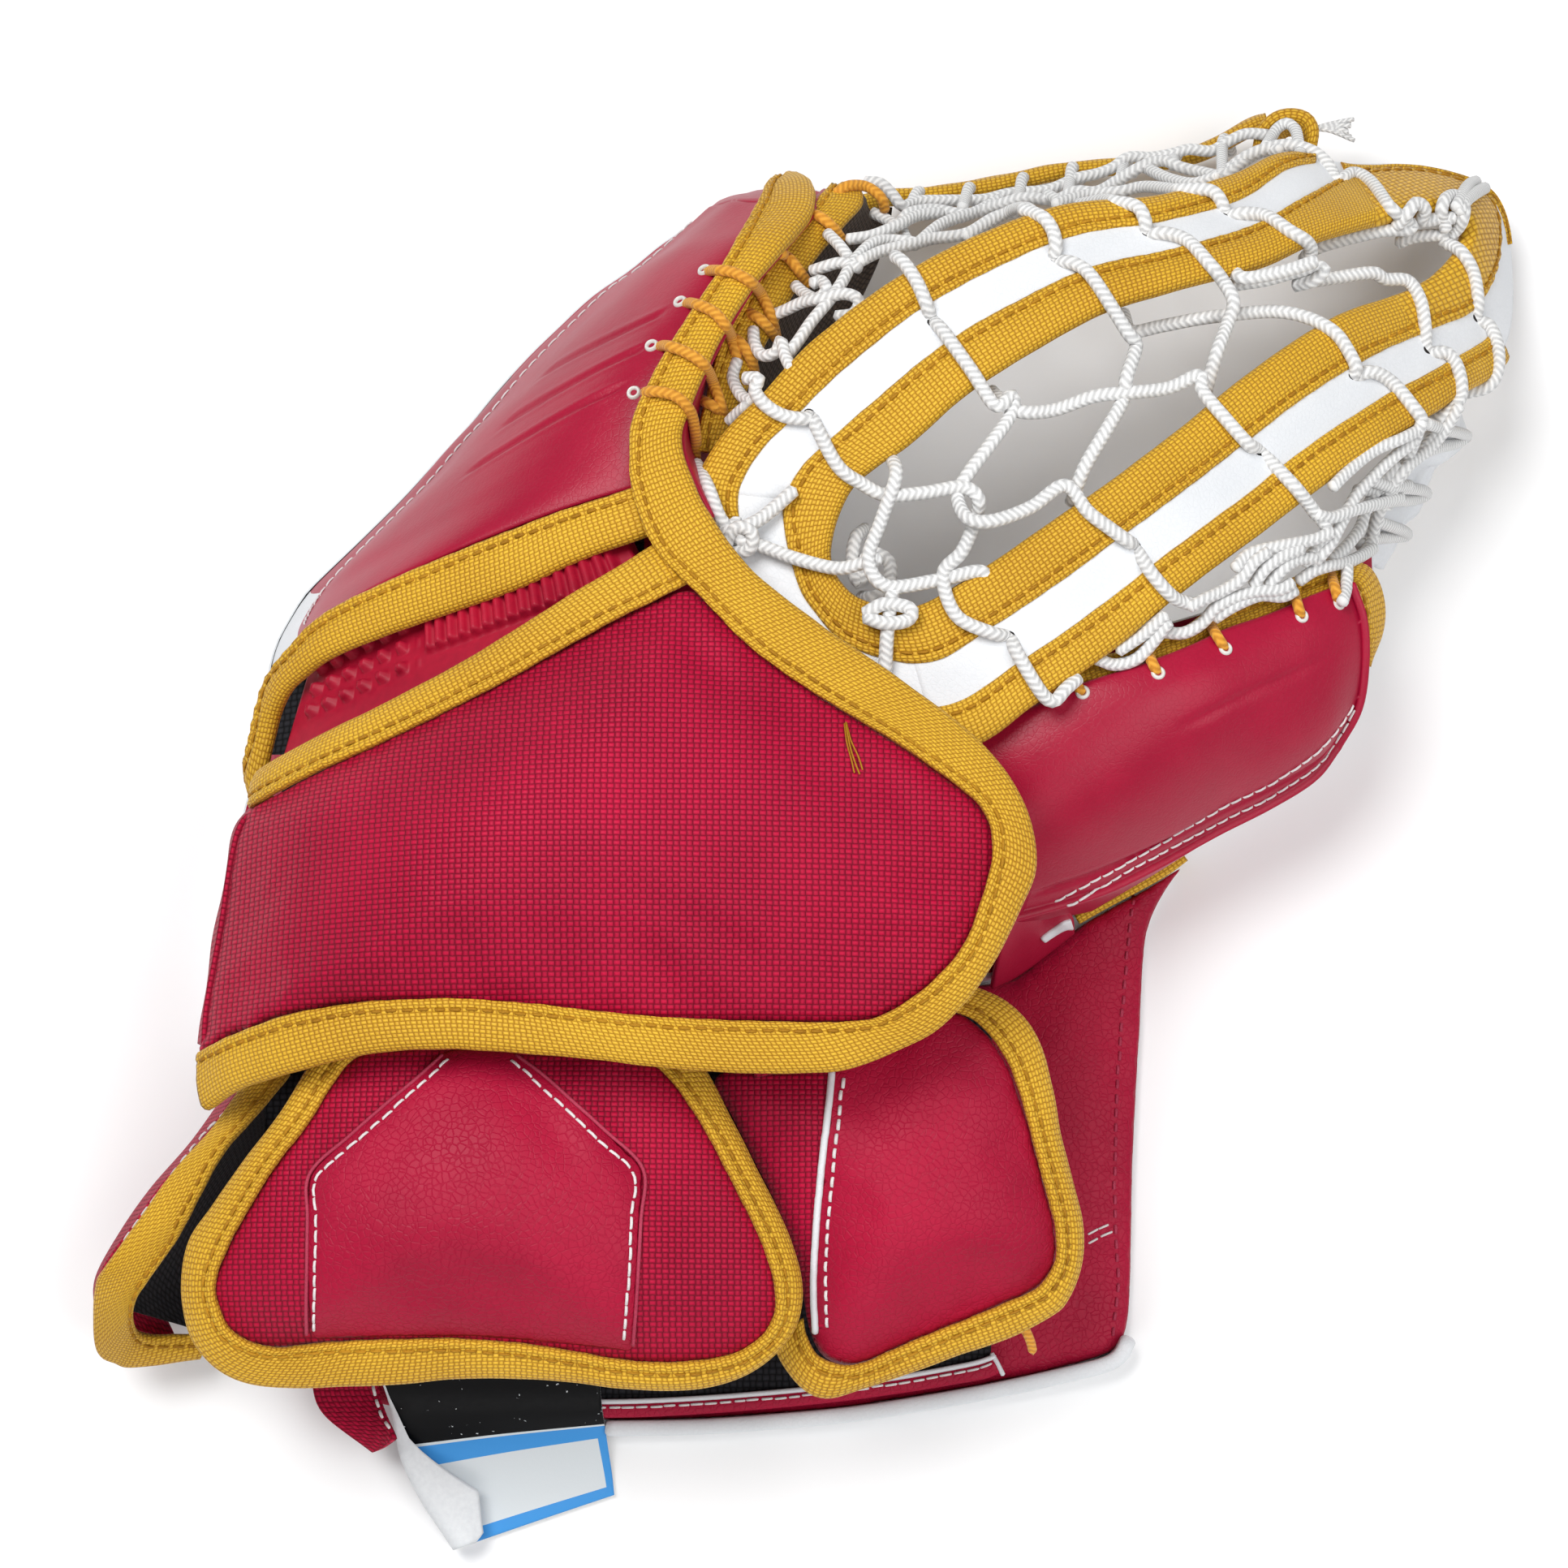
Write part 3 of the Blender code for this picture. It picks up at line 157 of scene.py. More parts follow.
def matched(A, B, step, closed=False, t0=0.0, t1=None):
    """Two matched edges, sampled together at an even step (mm); also the run lengths."""
    A = L(A) if isinstance(A, list) else A
    B = L(B) if isinstance(B, list) else B
    k = len(A) if closed else len(A) - 1
    t1 = k if t1 is None else t1
    td = np.linspace(t0, t1, int((t1 - t0) * 30) + 1)
    s = lengths((crom(A, td, closed) + crom(B, td, closed)) / 2)
    n = max(3, int(round(s[-1] / (step * MM))))
    ss = np.linspace(0, s[-1], n + 1)
    t = np.interp(ss, s, td)
    full = closed and abs((t1 - t0) - k) < 1e-6
    if full:
        t = t[:-1]
    return crom(A, t, closed), crom(B, t, closed), ss, full


def tangents(P, closed=False):
    return unit(np.roll(P, -1, 0) - np.roll(P, 1, 0)) if closed else unit(np.gradient(P, axis=0))


def running(X, k, closed=False):
    """Moving average over k rows each side."""
    out = np.zeros_like(X)
    n = len(X)
    for j in range(-k, k + 1):
        i = np.arange(n) + j
        out += X[i % n] if closed else X[np.clip(i, 0, n - 1)]
    return out / (2 * k + 1)


def wob(s, seed, waves=(11, 23, 47)):
    """A smooth wobble of about unit size along a run."""
    r = np.random.default_rng(seed)
    out = 0.0
    for w in waves:
        out = out + np.sin(s / (w * MM) * 2 * np.pi + r.uniform(0, 6.28)) * r.uniform(0.5, 1.0)
    return out / len(waves)


def ramp(x, a, b):
    t = np.clip((x - a) / (b - a), 0, 1)
    return t * t * (3 - 2 * t)


# ---------------------------------------------------------------- materials
class Kit:
    """A material and short ways to add its nodes."""

    def __init__(self, name, rough, spec=0.5, **more):
        self.m = bpy.data.materials.new(name)
        self.m.use_nodes = True
        self.t = self.m.node_tree
        self.b = self.t.nodes["Principled BSDF"]
        self.b.inputs["Roughness"].default_value = rough
        self.b.inputs["Specular IOR Level"].default_value = spec
        for k, v in more.items():
            self.b.inputs[k.replace("_", " ")].default_value = v
        self._obj = None

    def put(self, socket, value):
        if isinstance(value, bpy.types.NodeSocket):
            self.t.links.new(value, socket)
        else:
            socket.default_value = value

    def add(self, kind, ins=None, **props):
        n = self.t.nodes.new(kind)
        for k, v in props.items():
            setattr(n, k, v)
        for k, v in (ins or {}).items():
            self.put(n.inputs[k], v)
        return n

    def math(self, op, a, b=None, c=None):
        n = self.add("ShaderNodeMath", operation=op)
        for i, x in enumerate((a, b, c)):
            if x is not None:
                self.put(n.inputs[i], x)
        return n.outputs[0]

    def obj(self):
        if self._obj is None:
            self._obj = self.add("ShaderNodeTexCoord").outputs["Object"]
        return self._obj

    def uv(self):
        n = self.add("ShaderNodeUVMap", uv_map="UVMap")
        s = self.add("ShaderNodeSeparateXYZ", {0: n.outputs[0]})
        return s.outputs[0], s.outputs[1]

    def noise(self, scale, detail=3.0, rough=0.5, vec=None):
        n = self.add("ShaderNodeTexNoise", {"Vector": vec or self.obj(), "Scale": scale, "Detail": detail,
                                            "Roughness": rough})
        return n.outputs[0]

    def cells(self, scale, feature="DISTANCE_TO_EDGE", vec=None):
        n = self.add("ShaderNodeTexVoronoi", {"Vector": vec or self.obj(), "Scale": scale}, feature=feature)
        return n.outputs[0]

    def mix(self, f, a, b):
        n = self.add("ShaderNodeMix", data_type="RGBA")
        self.put(n.inputs[0], f)
        self.put(n.inputs[6], a)
        self.put(n.inputs[7], b)
        return n.outputs[2]

    def range(self, x, a, b, c, d):
        n = self.add("ShaderNodeMapRange", {0: x, 1: a, 2: b, 3: c, 4: d})
        return n.outputs[0]

    def bump(self, height, strength, dist, after=None):
        ins = {"Height": height, "Strength": strength, "Distance": dist}
        if after is not None:
            ins["Normal"] = after
        return self.add("ShaderNodeBump", ins).outputs[0]

    def out(self, color=None, rough=None, normal=None):
        if color is not None:
            self.put(self.b.inputs["Base Color"], color)
        if rough is not None:
            self.put(self.b.inputs["Roughness"], rough)
        if normal is not None:
            self.put(self.b.inputs["Normal"], normal)
        return self.m


def rgb(h, k=1.0):
    """Linear colour from an sRGB hex number."""
    out = []
    for s in (16, 8, 0):
        c = ((h >> s) & 255) / 255.0
        c = c / 12.92 if c <= 0.04045 else ((c + 0.055) / 1.055) ** 2.4
        out.append(min(1.0, c * k))
    return (*out, 1.0)


def leather(name, light, dark, rough, grain, pebble, spec=0.5):
    k = Kit(name, rough, spec)
    big = k.noise(22.0, 4.0, 0.6)
    fine = k.noise(1900.0, 3.0, 0.6)
    warp = k.add("ShaderNodeVectorMath", {0: k.obj(), 1: k.add(
        "ShaderNodeVectorMath", {0: k.add("ShaderNodeTexNoise", {"Vector": k.obj(), "Scale": 260.0}).outputs[1],
                                 3: 0.0016}, operation="SCALE").outputs[0]}, operation="ADD").outputs[0]
    edge = k.range(k.cells(pebble, vec=warp), 0.0, 0.12, 0.0, 1.0)
    f = k.math("MULTIPLY_ADD", big, 0.9, k.math("MULTIPLY", fine, 0.25))
    col = k.mix(k.range(f, 0.25, 0.85, 0.0, 1.0), dark, light)
    col = k.mix(k.math("MULTIPLY", k.math("SUBTRACT", 1.0, edge), 0.22), col, dark)
    h = k.math("MULTIPLY_ADD", edge, 0.7, k.math("MULTIPLY", fine, 0.3))
    n = k.bump(h, grain, 0.00025)
    n = k.bump(k.noise(60.0, 3.0), 0.25, 0.0012, n)
    r = k.math("ADD", rough - 0.1, k.math("MULTIPLY", big, 0.2))
    return k.out(col, r, n)


def woven(name, light, dark, cell, rough, strength, sheen=0.0, spec=0.2, long=1.0):
    """Plain weave on the UV map, which is in metres; thread crowns carry a painted highlight and the gaps between them
    a painted shade.
    """
    k = Kit(name, rough, spec, Sheen_Weight=sheen, Sheen_Roughness=0.4)
    u, v = k.uv()
    u = k.math("DIVIDE", u, cell * long)
    v = k.math("DIVIDE", v, cell)
    fu, fv = k.math("FRACT", u), k.math("FRACT", v)
    par = k.math("FRACT", k.math("MULTIPLY", k.math("ADD", k.math("FLOOR", u), k.math("FLOOR", v)), 0.5))
    par = k.math("GREATER_THAN", par, 0.25)

    def hill(f):
        c = k.math("MULTIPLY_ADD", f, 2.0, -1.0)
        return k.math("SUBTRACT", 1.0, k.math("MULTIPLY", c, c))

    hu, hv = hill(fu), hill(fv)
    a = k.math("MULTIPLY", hu, k.math("POWER", hv, 0.35))
    b = k.math("MULTIPLY", hv, k.math("POWER", hu, 0.35))
    h = k.math("ADD", k.math("MULTIPLY", a, k.math("SUBTRACT", 1.0, par)), k.math("MULTIPLY", b, par))
    big = k.noise(30.0, 3.0)
    fib = k.noise(3500.0, 2.0)
    # painted highlight and shade: colour follows thread height, crowns light and gaps dark; the warp/weft step is
    # painted sheen; the two noises give random tone
    f = k.math("ADD", k.math("MULTIPLY", h, 0.75), k.math("MULTIPLY", par, 0.16))
    f = k.math("ADD", f, k.math("MULTIPLY_ADD", fib, 0.25, -0.16))
    f = k.math("ADD", f, k.math("MULTIPLY_ADD", big, 0.5, -0.25))
    col = k.mix(k.range(f, 0.1, 0.95, 0.0, 1.0), dark, light)
    n = k.bump(k.math("ADD", h, k.math("MULTIPLY", fib, 0.25)), strength, 0.0004)
    r = k.math("SUBTRACT", rough + 0.12, k.math("MULTIPLY", h, 0.2))
    return k.out(col, r, n)


def braid(name, light, dark, pitch, around=0.8, rough=0.7):
    """Braided cord with chevrons: u runs along it in metres, v once around it; the grooves between strands carry
    painted shade.
    """
    k = Kit(name, rough, 0.25, Sheen_Weight=0.1, Sheen_Roughness=0.5)
    u, v = k.uv()
    u = k.math("DIVIDE", u, pitch)

    side = k.math("FRACT", k.math("MULTIPLY_ADD", v, 2.0, 0.25))
    side = k.math("ABSOLUTE", k.math("MULTIPLY_ADD", side, 2.0, -1.0))
    p = k.math("ADD", u, k.math("MULTIPLY", side, around))
    h = k.math("SINE", k.math("MULTIPLY", p, 2 * math.pi))
    h = k.range(h, -0.9, 0.8, 0.0, 1.0)
    fib = k.noise(2600.0, 2.0)
    # painted shade: colour follows strand height, so the grooves take the darker grey; the noises give random tone
    f = k.math("ADD", k.math("MULTIPLY", h, 0.8), k.math("MULTIPLY_ADD", fib, 0.5, -0.2))
    f = k.math("ADD", f, k.math("MULTIPLY_ADD", k.noise(35.0), 0.7, -0.35))
    col = k.mix(k.range(f, 0.0, 0.9, 0.0, 1.0), dark, light)
    n = k.bump(k.math("ADD", h, k.math("MULTIPLY", fib, 0.3)), 0.5, 0.0003)
    return k.out(col, None, n)


def plain(name, light, dark, rough, scale=300.0, strength=0.15, dist=0.0004, spec=0.5, **more):
    k = Kit(name, rough, spec, **more)
    big = k.noise(25.0)
    f = k.math("ADD", k.math("MULTIPLY", big, 0.6), k.math("MULTIPLY", k.noise(scale), 0.4))
    col = k.mix(k.range(f, 0.3, 0.7, 0.0, 1.0), dark, light)
    n = k.bump(k.noise(scale, 4.0), strength, dist)
    r = k.math("ADD", rough - 0.06, k.math("MULTIPLY", big, 0.12))
    return k.out(col, r, n)


# Weave and braid materials: the first colour is the painted highlight tone and the second the painted shade tone.
# Leather and plain materials: two tones mixed at random.
RED_SHELL = leather("red_shell_leather", rgb(0xB01038), rgb(0x900A2C), 0.40, 0.16, 700.0, 0.28)
RED_GRAIN = leather("red_grain_leather", rgb(0xB3123A), rgb(0x8E0B2C), 0.46, 0.5, 620.0, 0.18)
RED_NYLON = woven("red_nylon_weave", rgb(0xC4123F), rgb(0x6E0420), 0.00118, 0.55, 0.55, 0.03, 0.14, 1.25)
YELLOW = woven("yellow_tape_weave", rgb(0xECBD36), rgb(0xA67212), 0.00092, 0.55, 0.6, 0.05, 0.25, 1.4)
WHITE = leather("white_leather", rgb(0xE6E8EB), rgb(0xD3D6DA), 0.42, 0.2, 800.0, 0.4)
LACE = braid("white_braid", rgb(0xEBEBEA), rgb(0xC2C2C2), 0.0016, 0.8)
ORANGE = braid("orange_braid", rgb(0xE6A43A), rgb(0xC48226), 0.0015, 0.8)
BLACK = woven("black_lining_weave", rgb(0x2B2B30), rgb(0x0B0B0D), 0.0016, 0.8, 0.4, 0.1)
FOAM = plain("black_foam", rgb(0x2A2A2D), rgb(0x151517), 0.9, 1400.0, 0.4)
PLASTIC = plain("white_plastic", rgb(0xE4E3DF), rgb(0xCFCEC9), 0.4, 300.0, 0.05)
RUBBER = plain("red_rubber", rgb(0xB81535), rgb(0x980E2C), 0.45, 500.0, 0.15, spec=0.25)
TH_YELLOW = plain("yellow_thread", rgb(0xBE8A20), rgb(0x8C5E10), 0.65, 2400.0, 0.4, spec=0.2)
TH_WHITE = plain("white_thread", rgb(0xEFEBEA), rgb(0xC6BFC0), 0.65, 2400.0, 0.4, spec=0.2)
TH_RED = plain("red_thread", rgb(0xBF4A63), rgb(0x8A1734), 0.65, 2400.0, 0.4, spec=0.2)
# painted shade: near-black discs standing in for the depth of the punched holes
HOLE_SHADE = plain("hole_shade_paint", rgb(0x24201E), rgb(0x100E0D), 0.9, 900.0, 0.2)


# ---------------------------------------------------------------- mesh builders
class Geo:
    """Vertices, faces and one UV per face corner, gathered for a piece."""

    def __init__(self):
        self.V, self.F, self.UV, self.M, self.n = [], [], [], [], 0

    def add(self, V, F, UV, mi=0):
        F = [[int(i) + self.n for i in f] for f in F]
        self.V.append(np.asarray(V, float).reshape(-1, 3))
        self.F += F
        self.UV.append(np.asarray(UV, float).reshape(-1, 2))
        self.M += [mi] * len(F)
        self.n += len(self.V[-1])
        return self

    def grid(self, P, U, W, wr=False, wc=False, mi=0):
        """A grid of points with its U and W tables (one larger where it wraps)."""
        R, C = P.shape[:2]
        r, c = np.meshgrid(np.arange(R if wr else R - 1), np.arange(C if wc else C - 1), indexing="ij")
        r, c = r.ravel(), c.ravel()
        r2, c2 = (r + 1) % R, (c + 1) % C
        F = np.stack([r * C + c, r * C + c2, r2 * C + c2, r2 * C + c], 1)
        rr = np.stack([r, r, r + 1, r + 1], 1).ravel()
        cc = np.stack([c, c + 1, c + 1, c], 1).ravel()
        return self.add(P, F.tolist(), np.stack([U[rr, cc], W[rr, cc]], 1), mi)


def emit(name, geo, mats, body=None, nodes=(), blend=None, fix=True):
    """Make the piece, and have it ride on its body."""
    me = bpy.data.meshes.new(name)
    V = np.vstack(geo.V)
    me.from_pydata(V.tolist(), [], geo.F)
    me.uv_layers.new(name="UVMap").data.foreach_set("uv", np.vstack(geo.UV).astype(np.float32).ravel())
    me.polygons.foreach_set("material_index", geo.M)
    if fix:
        bm = bmesh.new()
        bm.from_mesh(me)
        bmesh.ops.remove_doubles(bm, verts=bm.verts[:], dist=0.00001)
        bmesh.ops.recalc_face_normals(bm, faces=bm.faces[:])
        bm.to_mesh(me)
        bm.free()
    me.shade_smooth()
    o = bpy.data.objects.new(name, me)
    scene.collection.objects.link(o)
    for m in mats if isinstance(mats, (list, tuple)) else [mats]:
        me.materials.append(m)
    if blend:
        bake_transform(o)
    else:
        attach(o, body)
    if nodes:
        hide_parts(*nodes)
    return o


def tree_of(*objs):
    V, F, n = [], [], 0
    for o in objs:
        V += [v.co[:] for v in o.data.vertices]
        F += [[i + n for i in p.vertices] for p in o.data.polygons]
        n += len(o.data.vertices)
    return BVHTree.FromPolygons(V, F)


def hit(tree, u, v):
    """What the camera's ray through a sheet position meets: point and normal, or None."""
    p, n, _, _ = tree.ray_cast(Vector(EYE), Vector(ray(u, v)).normalized())
    if p is None:
        return None
    n = np.array(n)
    return np.array(p), (n if n[2] > 0 else -n)


def on(tree, pts, lift=0.0, step=None, zdef=None, closed=False):
    """A run of sheet positions laid on a surface: points and normals."""
    q = np.array([[a, b, 0.0] for a, b in pts], float)
    if step:
        d = along(q / 5000.0, step=step, closed=closed) * 5000.0
    else:
        d = q
    P, N, last = [], [], None
    for a, b, _ in d:
        h = hit(tree, a, b)
        if h is None:
            if last is None:
                h = (lay(a, b, zdef or 0.0), np.array([0.0, 0, 1]))
            else:
                h = (lay(a, b, last[0][2] / MM), last[1])
        else:
            last = h
        P.append(h[0] + h[1] * (lift * MM))
        N.append(h[1])
    return np.array(P), np.array(N)


STITCH_RUNS = {}


def sew(key, P, N, pitch=3.6, length=2.7, radius=0.42, lift=0.0):
    """Keep a run of stitches for a piece of thread."""
    STITCH_RUNS.setdefault(key, []).append((P, N, pitch, length, radius, lift))


def stitch_geo(runs, seed=3):
    g = Geo()
    r0 = np.random.default_rng(seed)
    for P, N, pitch, length, radius, lift in runs:
        s = lengths(P)
        if s[-1] < length * MM:
            continue
        k = int((s[-1] / MM - length) / pitch) + 1
        s0 = (np.arange(k) * pitch + (s[-1] / MM - ((k - 1) * pitch + length)) / 2) * MM
        s0 = s0 + r0.normal(0, 0.08, k) * MM
        fr = np.array([0.0, 0.1, 0.5, 0.9, 1.0])
        hh = np.array([-0.9, 0.25, 0.55, 0.25, -0.9]) * radius + lift
        rr = np.array([0.55, 0.95, 1.0, 0.95, 0.55]) * radius
        ss = (s0[:, None] + fr * length * MM * r0.normal(1, 0.05, (k, 1))).ravel()
        C = np.array([np.interp(ss, s, P[:, j]) for j in range(3)]).T.reshape(k, 5, 3)
        M = unit(np.array([np.interp(ss, s, N[:, j]) for j in range(3)]).T).reshape(k, 5, 3)
        T = unit(np.gradient(C, axis=1))
        S = unit(np.cross(T, M))
        C = C + M * (hh * MM)[None, :, None] + S * (r0.normal(0, 0.09, (k, 1, 1)) * MM)
        a = np.arange(6) / 6 * 2 * np.pi
        ring = (C[:, :, None, :] + S[:, :, None, :] * (np.cos(a)[None, None, :, None] * rr[None, :, None, None] * MM)
                + M[:, :, None, :] * (np.sin(a)[None, None, :, None] * rr[None, :, None, None] * 0.8 * MM))
        base = []
        for b in range(4):
            for c in range(6):
                base.append([b * 6 + c, b * 6 + (c + 1) % 6, (b + 1) * 6 + (c + 1) % 6, (b + 1) * 6 + c])
        base += [[5, 4, 3, 2, 1, 0], [24, 25, 26, 27, 28, 29]]
        F = [[i + q * 30 for i in f] for q in range(k) for f in base]
        g.add(ring.reshape(-1, 3), F, np.zeros((sum(len(f) for f in F), 2)))
    return g


def sew_all():
    for (name, mat, body, slot), runs in STITCH_RUNS.items():
        g = stitch_geo(runs)
        if g.V:
            emit(name, g, {"white": TH_WHITE, "yellow": TH_YELLOW, "red": TH_RED}[mat], body, fix=False)


def tube_geo(g, P, radius, sides=10, step=0.9, smooth=True, taper=0.0, mi=0, squeeze=None):
    """A cord along the curve through P (metres); radius in mm."""
    P = along(P, step=step, smooth=smooth)
    n = len(P)
    T = tangents(P)
    x = np.cross(T[0], [0.0, 0, 1])
    if np.linalg.norm(x) < 1e-6:
        x = np.array([1.0, 0, 0])
    x = unit(x)
    X = np.zeros_like(P)
    for i in range(n):
        x = unit(x - T[i] * np.dot(x, T[i]))
        X[i] = x
    Y = np.cross(T, X)
    s = lengths(P)
    rad = np.full(n, radius * MM)
    if taper:
        e = np.minimum(s, s[-1] - s) / (taper * MM)
        rad = rad * np.sqrt(np.clip(e, 0.05, 1))
    a = np.arange(sides) / sides * 2 * np.pi
    Q = P[:, None] + (X[:, None] * np.cos(a)[None, :, None] + Y[:, None] * np.sin(a)[None, :, None]) * rad[:, None, None]
    U = np.repeat(s[:, None], sides + 1, 1)
    W = np.repeat(np.linspace(0, 1, sides + 1)[None], n, 0)
    g.grid(Q, U, W, wc=True, mi=mi)
    for e in (0, n - 1):
        c = P[e] + T[e] * (radius * MM * 0.5) * (1 if e else -1)
        F = [[i, (i + 1) % sides, sides] for i in range(sides)]
        g.add(np.vstack([Q[e], c]), F, np.tile([[s[e], 0.5]], (3 * sides, 1)), mi)
    return g


def tape(name, A, B, body, nodes=(), thick=4.6, closed=False, t0=0.0, t1=None, step=1.2, inset=2.5, seed=1, mat=None,
         pitch=3.7, flip=False, stitch=True, blend=None, wave=0.35, pinch=None, crown=0.35,
         second=False, edge=0.0, plan=None):
    """Folded edge tape between two matched edges: rolled along A, sewn down along B.

    plan gives a share of its length where the weave follows the plan, not the turning edge.
    """
    A, B, ss, full = matched(A, B, step, closed, t0, t1)
    s = ss[:-1] if full else ss
    n = len(A)
    mid = (A + B) / 2
    w = np.linalg.norm(B - A, axis=1) / MM
    X = unit(B - A)
    T = tangents(mid, full)
    N = unit(np.cross(T, X))
    for i in range(1, n):
        if np.dot(N[i], N[i - 1]) < 0:
            N[i] = -N[i]
    if (N[:, 2].sum() < 0) != flip:
        N = -N
    N = unit(running(N, 4, full))
    r = np.full(n, thick / 2)
    if pinch is not None:
        r = r * pinch(s / s[-1])
    wa, wb, wc = wob(s, seed), wob(s, seed + 50, (8, 19, 33)), wob(s, seed + 90, (14, 37, 70))
    ph = 2 * np.pi * s / (pitch * MM)
    cols = []
    for a in np.radians([-90, -62, -32, 0, 32, 62, 90]):
        cols.append((r - r * np.cos(a) + 0.35 * wave * wa * (math.cos(a)), r * np.sin(a)))
    span = w - inset - 0.9 - r
    for f in (0.3, 0.62, 0.9):
        cols.append((r + span * f, r + crown * math.sin(math.pi * min(f, 1.0)) + 0.5 * wave * wc * math.sin(math.pi * f)
                     + (0.14 * np.cos(ph) * (f > 0.8))))
    groove = 0.42 + 0.16 * np.cos(ph)
    k = 1.0 if stitch else 0.0
    cols.append((w - inset - 0.75, r - 0.08 * k + 0.10 * np.cos(ph + 3.14) * k))
    cols.append((w - inset, r - groove * k))
    cols.append((w - inset + 0.75, r - 0.08 * k + 0.12 * np.cos(ph + 3.14) * k))
    lip = 0.45 * wave * wb
    cols.append((w - 0.75 + lip + edge, r - 0.12 + 0.22 * np.cos(ph) * k))
    cols.append((w - 0.1 + lip + edge, r - 0.75 + 0.1 * np.cos(ph) * k))
    cols.append((w - 0.5 + lip + edge, r * 0.0 + np.maximum(r - 2.4, -r * 0.6)))
    cols.append((w * 0.62, -r * 0.85))
    C = len(cols)
    P = np.zeros((n, C, 3))
    for j, (x, y) in enumerate(cols):
        x, y = np.broadcast_to(x, (n,)), np.broadcast_to(y, (n,))
        P[:, j] = A + X * (x * MM)[:, None] + N * (y * MM)[:, None]
    ring = np.concatenate([P, P[:, :1]], 1)
    W = np.concatenate([np.zeros((n, 1)), np.cumsum(np.linalg.norm(np.diff(ring, axis=1), axis=2), 1)], 1)
    W = W - W[:, 6:7]
    U = np.repeat(ss[:, None], C + 1, 1)
    if full:
        W = np.vstack([W, W[:1]])
    g = Geo()
    if plan:
        i0, i1 = int(plan[0] * n), int(plan[1] * n)
        flat = np.concatenate([P[i0:i1 + 1], P[i0:i1 + 1, :1]], 1)
        U2, W2 = U.copy(), W.copy()
        d = unit(mid[i0] - mid[i0 - 8])
        U2[i0:i1 + 1] = flat[..., 0] * d[0] + flat[..., 1] * d[1]
        W2[i0:i1 + 1] = flat[..., 1] * d[0] - flat[..., 0] * d[1]
        part = Geo()
        part.grid(P, U2, W2, wr=full, wc=True)
        g.grid(P, U, W, wr=full, wc=True)
        k0, k1 = i0 * C * 4, i1 * C * 4
        g.UV[0][k0:k1] = part.UV[0][k0:k1]
    else:
        g.grid(P, U, W, wr=full, wc=True)
    if not full:
        for e in (0, n - 1):
            g.add(P[e], [list(range(C))], np.stack([U[e, :C], W[e, :C]], 1))
    o = emit(name, g, mat or YELLOW, body, nodes, blend)
    if stitch:
        line = A + X * ((w - inset) * MM)[:, None] + N * ((r - 0.42) * MM)[:, None]
        if full:
            line, M = np.vstack([line, line[:1]]), np.vstack([N, N[:1]])
        else:
            M = N
        if not blend:
            sew((name + "_thread", "yellow", body, "yellow_binding"), line, M, pitch, pitch * 0.74, 0.4, 0.25)
        if second:
            l2 = A + X * ((w - inset - 4.0) * MM)[:, None] + N * ((r + 0.1) * MM)[:, None]
            sew((name + "_thread", "yellow", body, "yellow_binding"), l2, N, pitch, pitch * 0.74, 0.4, 0.1)
    return o


def grid_normals(P):
    a = np.gradient(P, axis=1)
    b = np.gradient(P, axis=0)
    n = unit(np.cross(a, b))
    if n[..., 2].mean() < 0:
        n = -n
    return n


def loop_index(R, C):
    return ([(0, c) for c in range(C)] + [(r, C - 1) for r in range(1, R)]
            + [(R - 1, c) for c in range(C - 2, -1, -1)] + [(r, 0) for r in range(R - 2, 0, -1)])


def slab(g, P, up, down, bulge=0.6, rim=4, N=None, mi=(0, 0, 0), metric=True):
    """A closed sheet over a grid of points with a rounded rim; offsets in mm along its normals."""
    R, C = P.shape[:2]
    if N is None:
        N = grid_normals(P)
    N = np.broadcast_to(N, P.shape)
    up = np.broadcast_to(np.asarray(up, float), P.shape[:2])[..., None] * MM
    down = np.broadcast_to(np.asarray(down, float), P.shape[:2])[..., None] * MM
    top, bot = P + N * up, P + N * down
    if metric:
        U = np.concatenate([np.zeros((R, 1)), np.cumsum(np.linalg.norm(np.diff(P, axis=1), axis=2), 1)], 1)
        W = np.concatenate([np.zeros((1, C)), np.cumsum(np.linalg.norm(np.diff(P, axis=0), axis=2), 0)], 0)
    else:
        U, W = P[..., 0], P[..., 1]
    g.grid(top, U, W, mi=mi[0])
    g.grid(bot, U, W, mi=mi[1])
    idx = loop_index(R, C)
    r, c = np.array([i[0] for i in idx]), np.array([i[1] for i in idx])
    loop, n = P[r, c], N[r, c]
    t = tangents(loop, True)
    o = unit(np.cross(t, n))
    mid = P.reshape(-1, 3).mean(0)
    if ((loop - mid) * o).sum() < 0:
        o = -o
    u1, d1 = up[r, c], down[r, c]
    rows = []
    for a in np.linspace(0, np.pi, rim + 2):
        rows.append(loop + n * ((u1 + d1) / 2 + (u1 - d1) / 2 * math.cos(a)) + o * (bulge * MM * math.sin(a)))
    Q = np.array(rows)
    s = lengths(np.vstack([loop, loop[:1]]))
    U = np.repeat(s[None], len(rows), 0)
    W = np.repeat((np.linspace(0, 1, len(rows)) * float(np.mean(u1 - d1)))[:, None], len(s), 1)
    g.grid(Q, U, W, wc=True, mi=mi[2])
    return g


